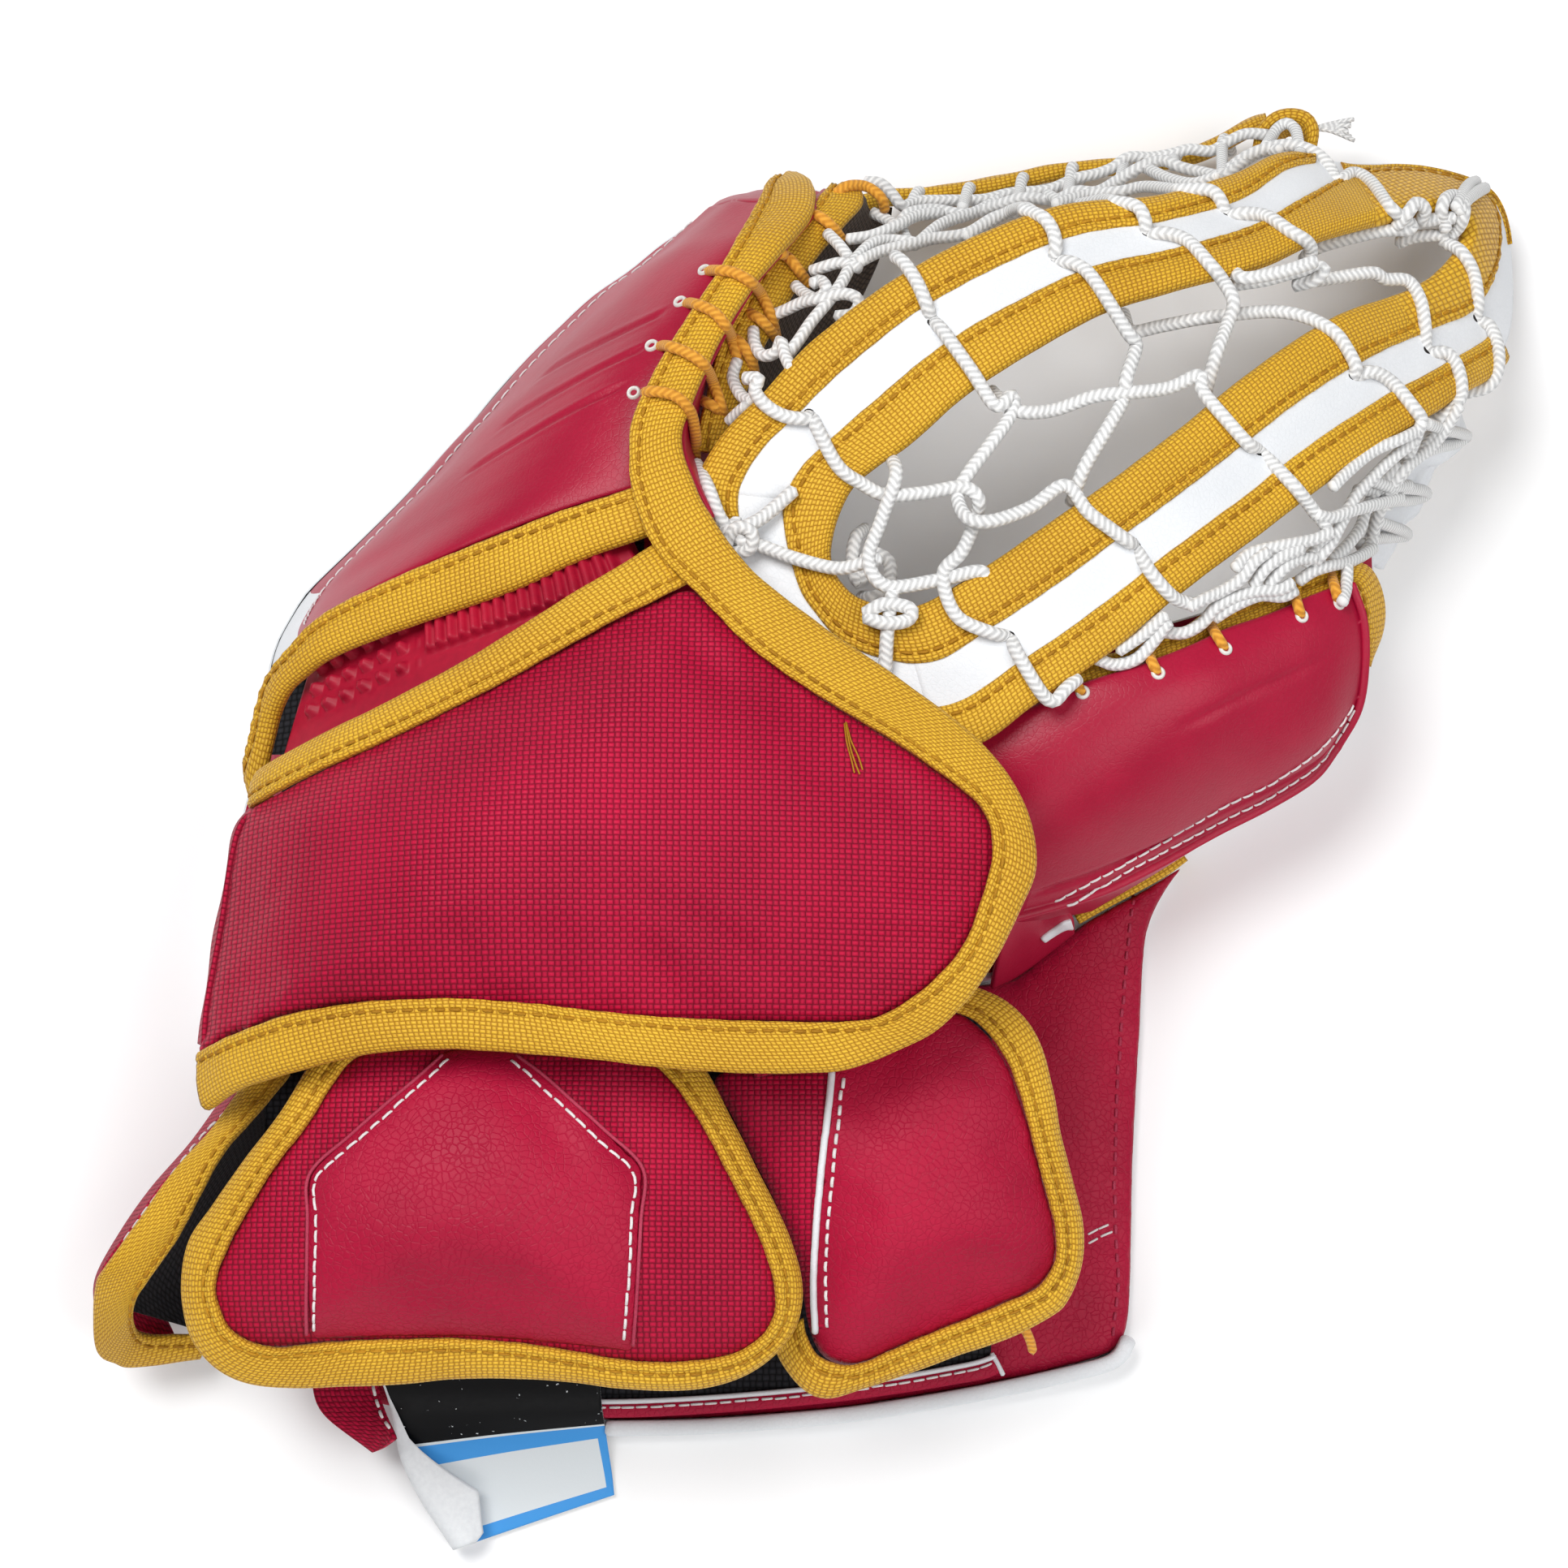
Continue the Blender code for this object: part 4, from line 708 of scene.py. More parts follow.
class Coons:
    """A surface through four edges, with a crown."""

    def __init__(self, low, high, left, right, crown=0.0, power=0.8, n=120, hold=None):
        self.e = [along(L(x), n=n) for x in (low, high, left, right)]
        self.crown, self.power, self.hold = crown, power, hold

    def grid(self, nu, nv, u0=0.0, u1=1.0, v0=0.0, v1=1.0):
        lo, hi, le, ri = self.e
        u, v = np.linspace(u0, u1, nu + 1), np.linspace(v0, v1, nv + 1)

        def pick(c, t):
            x = np.linspace(0, 1, len(c))
            return np.array([np.interp(t, x, c[:, j]) for j in range(3)]).T

        a, b, c, d = pick(lo, u)[None], pick(hi, u)[None], pick(le, v)[:, None], pick(ri, v)[:, None]
        uu, vv = u[None, :, None], v[:, None, None]
        P = a * (1 - vv) + b * vv + c * (1 - uu) + d * uu
        P = P - (lo[0] * (1 - uu) * (1 - vv) + lo[-1] * uu * (1 - vv) + hi[0] * (1 - uu) * vv + hi[-1] * uu * vv)
        if self.hold:
            da = a - (lo[0] * (1 - uu) + lo[-1] * uu)
            db = b - (hi[0] * (1 - uu) + hi[-1] * uu)
            flat = np.array([1.0, 1.0, 0.0])
            P = P + (da * ((1 - vv) ** self.hold - (1 - vv)) + db * (vv ** self.hold - vv)) * flat
        lift = (np.clip(4 * uu * (1 - uu), 0, 1) ** self.power * np.clip(4 * vv * (1 - vv), 0, 1) ** self.power)
        P[..., 2] += (lift * self.crown * MM)[..., 0]
        return P, np.broadcast_to(uu[..., 0], P.shape[:2]), np.broadcast_to(vv[..., 0], P.shape[:2])


def inside(px, py, poly):
    ok = np.zeros(len(px), bool)
    n = len(poly)
    for i in range(n):
        x1, y1 = poly[i][:2]
        x2, y2 = poly[(i + 1) % n][:2]
        c = (y1 > py) != (y2 > py)
        with np.errstate(divide="ignore", invalid="ignore"):
            x = (x2 - x1) * (py - y1) / (y2 - y1) + x1
        ok ^= c & (px < x)
    return ok


def fill(outline, spacing):
    """A triangle mesh in plan over a closed outline (metres): points, triangles and rim count."""
    o = np.asarray(outline)[:, :2]
    lo, hi = o.min(0), o.max(0)
    h = spacing * MM
    pts = []
    for j, y in enumerate(np.arange(lo[1] + h * 0.5, hi[1], h * 0.866)):
        for x in np.arange(lo[0] + h * (0.5 if j % 2 else 1.0), hi[0], h):
            pts.append((x, y))
    pts = np.array(pts)
    pts = pts[inside(pts[:, 0], pts[:, 1], o)]
    seg = np.vstack([o, o[:1]])
    d = np.full(len(pts), 1.0)
    for a, b in zip(seg, seg[1:]):
        ab = b - a
        t = np.clip(((pts - a) @ ab) / max(ab @ ab, 1e-15), 0, 1)
        d = np.minimum(d, np.linalg.norm(pts - (a + t[:, None] * ab), axis=1))
    pts = pts[d > h * 0.55]
    n = len(o)
    allp = np.vstack([o, pts])
    v, _, f, orig, _, _ = delaunay_2d_cdt([Vector(p) for p in allp], [(i, (i + 1) % n) for i in range(n)], [], 1, 1e-7)
    back = [q[0] if q else -1 for q in orig]
    return np.array([list(p) for p in v]), [list(t) for t in f], np.array([b >= 0 and b < n for b in back])


class Dome:
    """Crowned height over a star-shaped outline."""

    def __init__(self, outline, centre, n, power):
        self.rim = along(L(outline), n=n, closed=True)
        self.c = lay(*centre)
        self.power = power
        d = self.rim[:, :2] - self.c[:2]
        a = np.arctan2(d[:, 1], d[:, 0])
        k = np.argsort(a)
        self.a, self.r, self.z = a[k], np.linalg.norm(d, axis=1)[k], self.rim[k, 2]

    def at(self, x, y):
        d = np.stack([x - self.c[0], y - self.c[1]], 1)
        a = np.arctan2(d[:, 1], d[:, 0])
        r = np.interp(a, self.a, self.r, period=2 * np.pi)
        z = np.interp(a, self.a, self.z, period=2 * np.pi)
        f = np.clip(np.linalg.norm(d, axis=1) / r, 0, 1)
        return z + (self.c[2] - z) * (1 - f ** self.power), z, f


def cloth(V, F, pins, pressure, slack, frames=20, cap=5.0, bend=0.6, stiff=14.0):
    """Swell a pinned sheet with air pressure and a little slack; returns its points."""
    me = bpy.data.meshes.new("sim")
    me.from_pydata(V.tolist(), [], F)
    o = bpy.data.objects.new("sim", me)
    scene.collection.objects.link(o)
    vg = o.vertex_groups.new(name="pin")
    vg.add([int(i) for i in np.nonzero(pins)[0]], 1.0, "REPLACE")
    m = o.modifiers.new("Cloth", "CLOTH")
    s = m.settings
    s.quality = 6
    s.mass = 0.25
    s.tension_stiffness = s.compression_stiffness = s.shear_stiffness = stiff
    s.bending_stiffness = bend
    s.air_damping = 2.0
    s.use_pressure = True
    s.uniform_pressure_force = pressure
    s.shrink_min = -slack
    s.vertex_group_mass = "pin"
    s.effector_weights.gravity = 0.0
    m.point_cache.frame_start, m.point_cache.frame_end = 1, frames
    for f in range(1, frames + 1):
        scene.frame_set(f)
    dg = bpy.context.evaluated_depsgraph_get()
    ev = o.evaluated_get(dg).to_mesh()
    out = np.zeros(len(V) * 3)
    ev.vertices.foreach_get("co", out)
    out = out.reshape(-1, 3)
    bpy.data.objects.remove(o, do_unlink=True)
    scene.frame_set(1)
    d = out - V
    n = np.linalg.norm(d, axis=1, keepdims=True)
    return V + d * np.minimum(1.0, cap * MM / np.maximum(n, 1e-9))


def dist_to(P, line):
    """Plan distance (mm) of points to a polyline, and where along it (0..1)."""
    best, where = np.full(len(P), 1e9), np.zeros(len(P))
    s = lengths(line)
    for i, (a, b) in enumerate(zip(line[:, :2], line[1:, :2])):
        ab = b - a
        t = np.clip(((P[:, :2] - a) @ ab) / max(ab @ ab, 1e-15), 0, 1)
        d = np.linalg.norm(P[:, :2] - (a + t[:, None] * ab), axis=1) / MM
        k = d < best
        best[k], where[k] = d[k], (s[i] + t[k] * (s[i + 1] - s[i])) / s[-1]
    return best, where


def crease(V, pts, z, width, depth):
    """Press (or raise) a soft fold along a line of sheet positions; returns the heights to add (mm)."""
    line = along(L([(u, v, z) for u, v in pts]), n=24)
    d, w = dist_to(V, line)
    return depth * np.exp(-(d / width) ** 2) * np.sin(np.pi * np.clip(w, 0.02, 0.98)) ** 0.6


def pad_piece(name, V, F, under, mats, body, nodes, pick=None, subdiv=1):
    """Close a padded top with its lower side; under gives the lower heights (metres)."""
    n = len(V)
    edge = {}
    for f in F:
        for a, b in zip(f, f[1:] + f[:1]):
            edge[(a, b)] = edge.get((a, b), 0) + 1
    rim = [(a, b) for (a, b) in edge if (b, a) not in edge]
    low = V.copy()
    low[:, 2] = under
    g = Geo()
    allv = np.vstack([V, low])
    faces = [list(f) for f in F] + [[i + n for i in reversed(f)] for f in F] + [[b, a, a + n, b + n] for a, b in rim]
    UV = np.array([[allv[i][0], allv[i][1]] for f in faces for i in f])
    g.add(allv, faces, UV)
    if pick is not None:
        g.M = [pick(allv[f].mean(0)) for f in faces]
    o = emit(name, g, mats, body, nodes)
    if subdiv:
        m = o.modifiers.new("Smooth", "SUBSURF")
        m.levels = m.render_levels = subdiv
    return o


def applied(o):
    """A copy of the shown mesh's tree, with its modifiers."""
    dg = bpy.context.evaluated_depsgraph_get()
    e = o.evaluated_get(dg)
    me = e.to_mesh()
    V = [v.co[:] for v in me.vertices]
    F = [list(p.vertices) for p in me.polygons]
    e.to_mesh_clear()
    return BVHTree.FromPolygons(V, F)


def strand(g, tree, pts, r=2.2, zmin=0.0, ends=None, sag=0.0, sides=10, taper=0.0, step=1.0, floor=None, level=70.0):
    """A lace over what lies below it; pts are sheet positions (u, v) with an optional lift (mm).

    Where nothing carries it, it bridges between the heights beside the gap.  ends gives the heights at its two ends.
    """
    q = np.array([(p[0], p[1], p[2] if len(p) > 2 else 0.0) for p in pts], float)
    k = len(q) - 1
    d = crom(q, np.linspace(0, k, k * 14 + 1))
    n = len(d)
    z, ok = np.zeros(n), np.zeros(n, bool)
    for i, (a, b, _) in enumerate(d):
        h = hit(tree, a, b)
        if h is not None and h[0][2] > zmin * MM:
            z[i], ok[i] = h[0][2] / MM + r * 0.92, True
    surf = np.where(ok, z, -1e9)
    if ends:
        for e, i in zip(ends, (0, n - 1)):
            if e is not None:
                z[i], ok[i] = e, True
                surf[i] = -1e9
    x = np.arange(n)
    if not ok.any():
        z[:], ok[:] = level, True
    base = np.interp(x, x[ok], z[ok])
    if sag:
        gap = running((~ok).astype(float), 6)
        base = base - sag * gap
    zz = np.maximum(running(base, 5), np.where(d[:, 2] < 0, -1e9, surf - 0.25 * r))
    zz = running(zz, 2) + d[:, 2]
    if floor is not None:
        zz = np.maximum(zz, floor + r)
    P = np.array([lay(a, b, c) for (a, b, _), c in zip(d, zz)])
    keep = [0]
    for i in range(1, n):
        if np.linalg.norm(P[i] - P[keep[-1]]) > 0.0012 or i == n - 1:
            keep.append(i)
    tube_geo(g, P[keep], r, sides, step, True, taper)
    return P


# ---------------------------------------------------------------- palm and finger half
UP = np.array([0.0, 0.0, 1.0])
PALM_LEFT = [(290, 1292, 0), (288, 1150, 0), (310, 1020, 0), (334, 936, 0), (341, 850, 0), (351, 808, 0), (367, 777, 0),
             (385, 748, 0), (407, 725, 0), (458, 676, 0), (507, 627, 0), (552, 577, 0), (586, 540, 0), (619, 500, 0),
             (657, 458, 0), (694, 422, 0), (734, 385, 0), (780, 353, 0), (830, 314, 0), (905, 274, 2)]
PALM_HIGH = [(905, 274, 2), (978, 254, 9), (1036, 266, 24)]
PALM_RIGHT = [(1225, 1205, 2), (1130, 1060, 17), (1030, 905, 35), (950, 780, 48), (905, 660, 51), (895, 560, 51),
              (915, 452, 49), (972, 346, 40), (1036, 266, 24)]


def red_band(g, rows, cols, high, side, left=0):
    """Give the first grid's cells near its right, high and left edges the third material."""
    r, c = np.divmod(np.arange((rows - 1) * (cols - 1)), cols - 1)
    near = (r >= rows - 1 - high) | (c >= cols - 1 - side) | ((c < left) & (r < 0.27 * rows))
    for i in np.nonzero(near)[0]:
        g.M[i] = 2


palm = Coons([(290, 1292, 0), (600, 1264, 0), (950, 1232, 0), (1225, 1205, 2)], PALM_HIGH, PALM_LEFT, PALM_RIGHT)
P, _, _ = palm.grid(60, 80)
P[..., 2] = np.maximum(P[..., 2], 0.0)
g = Geo()
slab(g, P, 13.2, 0.0, 1.2, 6, N=UP, mi=(1, 0, 0))
red_band(g, *P.shape[:2], 22, 16, 3)
emit("palm_leather", g, [WHITE, BLACK, RED_SHELL], "palm", ["catch_leather", "palm_foam", "palm_lining"])
DOWN = np.array([0.0, 0.0, -1.0])
for a, b in ((3, 0.0), (5, 0.0)):
    ring = np.vstack([P[a, a:-a], P[a:-a, -a - 1], P[-a - 1, -a - 1:a - 1:-1], P[-a:a:-1, a]])
    sew(("palm_seam_thread", "white", "palm", "white_leather"), ring, np.tile(DOWN, (len(ring), 1)), 3.4, 2.5, 0.35)
for c in (20, 22, 40):
    sew(("palm_seam_thread", "white", "palm", "white_leather"), P[6:-6, c], np.tile(DOWN, (len(P[6:-6]), 1)), 3.4, 2.5,
        0.35)

SHELL_LOW = [(366, 790, 53), (399, 757, 60), (459, 723, 67), (544, 685, 75), (630, 650, 81),
             (698, 625, 85), (768, 603, 87.5), (802, 594, 86.5)]
shell = Coons(SHELL_LOW, [(870, 258, 35), (900, 248, 49), (944, 248, 60)],
              [(366, 790, 53), (368, 776, 42), (376, 759, 32), (392, 734, 27), (412, 711, 25), (467, 656, 25),
               (518, 605, 25), (562, 554, 25), (597, 517, 25), (630, 477, 25), (668, 436, 25), (703, 401, 25),
               (743, 363, 25), (788, 331, 25), (832, 293, 28), (870, 258, 35)],
              [(802, 594, 86.5), (800, 565, 86.2), (806, 519, 85.5), (826, 470, 84.5), (858, 412, 82.5), (896, 353, 78.5),
               (926, 298, 73), (944, 248, 60)], crown=11.0, hold=7.0)
P, U, V = shell.grid(110, 130)
# shallow moulded flex lines across the knuckles, and the soft dents of use
emb = np.zeros(U.shape)
for v0, u0, u1 in ((0.30, 0.34, 0.86), (0.42, 0.30, 0.84), (0.54, 0.28, 0.80)):
    d = (V - v0 - 0.05 * (U - 0.5)) / 0.010
    emb -= 0.6 * np.exp(-d ** 2) * ramp(U, u0, u0 + 0.06) * (1 - ramp(U, u1 - 0.06, u1))
    emb += 0.2 * np.exp(-((np.abs(d) - 2.0) / 0.9) ** 2) * ramp(U, u0, u0 + 0.06) * (1 - ramp(U, u1 - 0.06, u1))
emb += 0.35 * np.sin(U * 9 + V * 4) * np.sin(V * 11 - U * 3) * ramp(U, 0, 0.1) * (1 - ramp(U, 0.9, 1))
g = Geo()
slab(g, P, emb, -3.0, 0.5, 4)
edge = np.vstack([P[:, 0], P[-1, 1:]])
rimline = np.vstack([along(L(PALM_LEFT), n=500), along(L(PALM_HIGH), n=160)])
near = np.array([rimline[np.argmin(((rimline[:, :2] - e[:2]) ** 2).sum(1))] for e in edge])
near = running(near, 3)
near[:, 2] += 12.6 * MM
full = 0.9 + 3.3 * ramp(np.arange(len(edge)), 124, 150)
out = unit(np.column_stack([(near - rimline.mean(0))[:, :2], np.zeros(len(near))]))
rows = []
for t in np.linspace(0, 1, 11):
    rows.append(edge * (1 - t) + near * t + out * (full[:, None] * MM * math.sin(math.pi * t)))
rows = np.array(rows)
slab(g, rows[:, :26], 0.0, -2.2, 0.3, 2, mi=(1, 1, 1))
slab(g, rows[:, 25:], 0.0, -2.2, 0.3, 2)
finger = emit("finger_shell_leather", g, [RED_SHELL, WHITE], "palm", ["finger_shell"])
T_SHELL = tree_of(finger)
g = Geo()
inner = P[10:-8, 8:-8].copy()
inner[..., 2] -= 4.4 * MM
slab(g, inner, 0.5, -0.5, 0.2, 2)
emit("finger_stiffener_sheet", g, PLASTIC, "palm", ["finger_stiffener"])
nn = grid_normals(P)[8:-4, 3]
pts = P[8:-4, 3] + nn * ((emb[8:-4, 3, None] + 0.1) * MM)
sew(("finger_shell_thread", "white", "palm", "white_leather"), pts, nn, 3.6, 3.2, 0.34)

LOWER_A = [(354, 1014, 33), (331, 985, 36), (309, 945, 40), (314, 900, 42), (333, 838, 46), (363, 796, 54), (397, 761, 60), (457, 727, 67),
           (543, 689, 75), (629, 654, 81), (697, 629, 85), (772, 605, 88.6), (803, 595, 87)]
LOWER_B = [(374, 1036, 38), (348, 1014, 41), (322, 985, 44), (337, 905, 46), (350, 860, 52), (375, 835, 56), (410, 811, 61), (470, 786, 67),
           (550, 758, 73), (635, 728, 79), (714, 692, 84), (790, 665, 88.6), (820, 655, 87.5)]
tape("finger_lower_tape", LOWER_B, LOWER_A, "palm", ["finger_lower_binding"], seed=11)

LONG_A = [(990, 221, 42), (1002, 229, 54), (1005, 246, 62), (998, 270, 68), (965, 309, 77), (930, 351, 82), (894, 410, 86), (869, 460, 88),
          (848, 510, 89), (840, 544, 90), (852, 586, 91), (877, 636, 93), (927, 703, 94), (1011, 770, 95),
          (1095, 828, 95), (1195, 904, 94), (1246, 962, 93), (1271, 1021, 92), (1275, 1075, 91),
          (1254, 1126, 90), (1229, 1177, 89), (1194, 1229, 89), (1151, 1271, 90), (1100, 1297, 91),
          (1040, 1319, 92), (971, 1323, 93), (886, 1321, 93), (800, 1314, 93), (714, 1304, 92),
          (603, 1295, 91), (543, 1293, 90), (457, 1299, 86), (371, 1319, 80), (300, 1342, 70), (258, 1368, 60)]
LONG_B = [(954, 228, 40), (943, 237, 53), (936, 252, 62), (924, 272, 69), (906, 301, 77), (877, 351, 82), (836, 410, 86.4),
          (802, 468, 88.5), (779, 519, 89.6), (775, 569, 90.6), (779, 611, 91.4), (806, 678, 93), (852, 728, 95), (927, 803, 97),
          (1011, 862, 98), (1095, 912, 98), (1179, 971, 97), (1212, 1005, 96), (1220, 1046, 95),
          (1210, 1095, 94), (1186, 1160, 93), (1143, 1211, 93), (1091, 1246, 94), (1057, 1256, 94),
          (1000, 1258, 95), (930, 1256, 96), (850, 1253, 96), (770, 1247, 96), (690, 1238, 95),
          (603, 1230, 94), (530, 1229, 92), (440, 1234, 88), (354, 1250, 82), (286, 1276, 72), (251, 1295, 62)]
long_tape = tape("backhand_tape", LONG_A, LONG_B, "palm", ["backhand_binding"], seed=21, thick=5.0, wave=0.5)

PANEL_A = [(1060, 232, 47), (1062, 254, 52), (1036, 284, 58), (1004, 322, 62), (972, 372, 66), (936, 440, 69), (912, 505, 70),
           (896, 560, 70)]
PANEL_B = [(1020, 234, 50), (1004, 250, 58), (984, 274, 63), (952, 310, 68), (918, 362, 72), (884, 430, 74.5), (864, 505, 75),
           (856, 555, 75)]
panel_tape = tape("finger_panel_tape", PANEL_A, PANEL_B, "palm", ["finger_panel_binding"], seed=31, inset=2.2,
                  thick=3.8, wave=0.8)

# inner wall between the finger shell and the pocket
n = 90
top = along(L([(u, v, z - 3) for u, v, z in LONG_A[2:12]]), n=n)
mid = along(L([(u - 4, v, z - 3) for u, v, z in PANEL_B] + [(872, 590, 72), (880, 640, 74)]), n=n)
low = along(L([(u, v, z + 12) for u, v, z in PALM_RIGHT[::-1][0:5]]), n=n)
rows = [top * (1 - t) + mid * t for t in np.linspace(0, 1, 7)] + [mid * (1 - t) + low * t for t in np.linspace(0, 1, 7)[1:]]
g = Geo()
slab(g, np.array(rows), 0.6, -0.6, 0.4, 2)
emit("finger_inner_wall", g, RED_SHELL, "palm")

# painted shade: a dark brown sheet under the finger-side lacing, standing for the shadowed inside of the pocket seen
# between the laces
POCKET_SHADE = woven("pocket_shade_weave", rgb(0x5A4A3E), rgb(0x2A221D), 0.0016, 0.8, 0.4, 0.1)
a = along(L([(u - 6, v, z - 5) for u, v, z in PANEL_A]), n=70)
b = along(L([(1098, 256, 22), (1094, 280, 20), (1084, 312, 18), (1070, 345, 17), (1046, 392, 20), (1012, 440, 26),
             (972, 500, 38), (936, 556, 48)]), n=70)
t = np.linspace(0, 1, 21)
rows = a[None] * (1 - t)[:, None, None] + b[None] * t[:, None, None]
rows[..., 2] -= (6.0 * np.sin(np.pi * t) * MM)[:, None]
g = Geo()
slab(g, rows, 0.6, -0.6, 0.3, 2)
emit("pocket_shade_sheet", g, POCKET_SHADE, "palm")

# moulded pad in the slit: upright ribs on the right, small blocks on the left
RIB_A = [(424, 782, 43), (455, 764, 47), (520, 730, 54), (610, 695, 62), (700, 660, 69), (765, 640, 74)]
RIB_B = [(376, 950, 42), (430, 920, 51), (520, 870, 62), (620, 815, 70), (720, 760, 76), (800, 715, 79)]
A, B, ss, _ = matched(RIB_A, RIB_B, 0.55)
w = np.linspace(0, 1, 56)
P = A[:, None] * (1 - w)[None, :, None] + B[:, None] * w[None, :, None]
S = np.repeat((ss / MM)[:, None], len(w), 1)
wid = np.linalg.norm(B - A, axis=1)[:, None] / MM
D = w[None] * wid
f = S / S.max()
rib = np.abs(np.sin(np.pi * S / 3.1)) ** 0.6
rib = 3.0 * rib * ramp(D, 6.5, 8.5) * (1 - ramp(D, 21.8, 23.2)) * ramp(f, 0.40, 0.44) * (1 - ramp(f, 0.93, 0.97))
blk = (np.clip(np.sin(2 * np.pi * S / 5.0) * 2.2, 0, 1) * np.clip(np.sin(2 * np.pi * (D - 1.0) / 5.4) * 2.2, 0, 1))
blk = 2.5 * blk * ramp(f, 0.04, 0.07) * (1 - ramp(f, 0.38, 0.40)) * (1 - ramp(D, 26.8, 27.4))
g = Geo()
slab(g, P, 7.6 + rib + blk, -2.4, 0.6, 3)
emit("finger_back_rubber", g, RUBBER, "palm", ["finger_back_pad"])


def ring_piece(name, where, normal, body, node, r_in=0.8, r_out=1.75, high=0.8, mat=None):
    """A small rounded eyelet on a surface."""
    z = unit(normal)
    x = unit(np.cross(z, [0.3, 1.0, 0.2]))
    y = np.cross(z, x)
    prof = [(r_in, -1.6), (r_in, 0.2), (r_in + 0.25, high * 0.8), ((r_in + r_out) / 2, high), (r_out - 0.25, high * 0.75),
            (r_out, 0.15), (r_out, -1.6)]
    a = np.arange(24) / 24 * 2 * np.pi
    R = np.array([[where + (x * math.cos(t) + y * math.sin(t)) * (r * MM) + z * (h * MM) for t in a] for r, h in prof])
    U = np.repeat((np.linspace(0, 1, 25) * r_out * 6.28 * MM)[None], len(prof) + 1, 0)
    W = np.repeat((np.arange(len(prof) + 1) * 0.0006)[:, None], 25, 1)
    g = Geo()
    g.grid(R, U, W, wr=True, wc=True)
    return emit(name, g, mat or PLASTIC, body, [node])


for k, (u, v) in enumerate([(868, 333), (838, 372), (803, 426), (781, 484)], 1):
    p, m = hit(T_SHELL, u, v)
    ring_piece(f"finger_ring_{k}", p, m, "palm", f"finger_eyelet_{k}")

T_EDGE = tree_of(finger, long_tape, panel_tape)
g = Geo()
for pts in ([(872, 336, -2.5), (880, 333, 0.4), (905, 336, 0.3), (930, 352), (945, 376), (953, 400, -1.5), (956, 414, -6)],
            [(845, 375, -2.5), (855, 374, 0.4), (880, 385, 0.3), (898, 408), (907, 436, -1), (909, 448, -6)],
            [(812, 428, -2.5), (822, 426, 0.4), (845, 434, 0.3), (868, 450), (880, 475), (888, 498), (893, 515, -4)],
            [(795, 484, -2.5), (806, 482, 0.4), (832, 488, 0.3), (850, 506), (857, 535), (857, 560, -3), (857, 572, -6)],
            [(962, 312, -1.5), (972, 318, 0.6), (985, 334, 0.4), (997, 352, -2)],
            [(1002, 264, -1.5), (1012, 268, 0.6), (1026, 280, 0.4), (1038, 296, -2)],
            [(1030, 238, -2), (1045, 229, 1.2), (1068, 230, 1.2), (1086, 244, 0.5), (1090, 258, -3)],
            [(918, 384, -3), (935, 392, 0.5), (950, 408), (956, 416, -3)],
            [(898, 414, -3), (912, 422, 0.5), (926, 444), (930, 462, -3)],
            [(862, 492, -3), (875, 498, 0.5), (888, 506, -2)]):
    strand(g, T_EDGE, pts, 1.35, 30.0, level=58.0)
emit("finger_edge_cord", g, ORANGE, "palm", ["finger_edge_lace"])

# ---------------------------------------------------------------- hand pad
PAD = [(322, 995, 60), (389, 959, 73), (500, 908, 83), (594, 861, 89), (680, 814, 92), (766, 766, 94),
       (830, 737, 95), (854, 738, 95), (925, 806, 97), (1009, 866, 98), (1093, 916, 98), (1176, 975, 97),
       (1208, 1008, 96), (1216, 1046, 95), (1206, 1095, 94), (1182, 1159, 93), (1140, 1208, 93),
       (1089, 1243, 94), (1056, 1253, 94), (1000, 1255, 95), (930, 1253, 96), (850, 1250, 96),
       (770, 1244, 96), (690, 1235, 95), (603, 1227, 94), (530, 1226, 92), (440, 1231, 88),
       (354, 1247, 82), (286, 1272, 72), (253, 1290, 62), (256, 1237, 58), (273, 1143, 56),
       (286, 1057, 56), (298, 1014, 57)]


def soft_pad(outline, centre, power, tuck, free=None, spacing=3.1, cap=3.0, pressure=4.0, slack=0.006, sink=0.8):
    """The swollen top of a pad: its points, triangles and rim height below each point."""
    dome = Dome(outline, centre, 500, power)
    rim = along(L(outline), step=spacing, closed=True)
    push = unit(rim[:, :2] - dome.c[:2]) * (tuck * MM)
    if free is not None:
        push = push * (1 - free(rim))[:, None]
    rim[:, :2] += push
    V2, F, pin = fill(rim, spacing)
    z, ez, f = dome.at(V2[:, 0], V2[:, 1])
    z = z - sink * MM * ramp(f, 0.97, 1.0)
    V = cloth(np.column_stack([V2, z]), F, pin, pressure, slack, cap=cap)
    return V, F, ez, f, pin


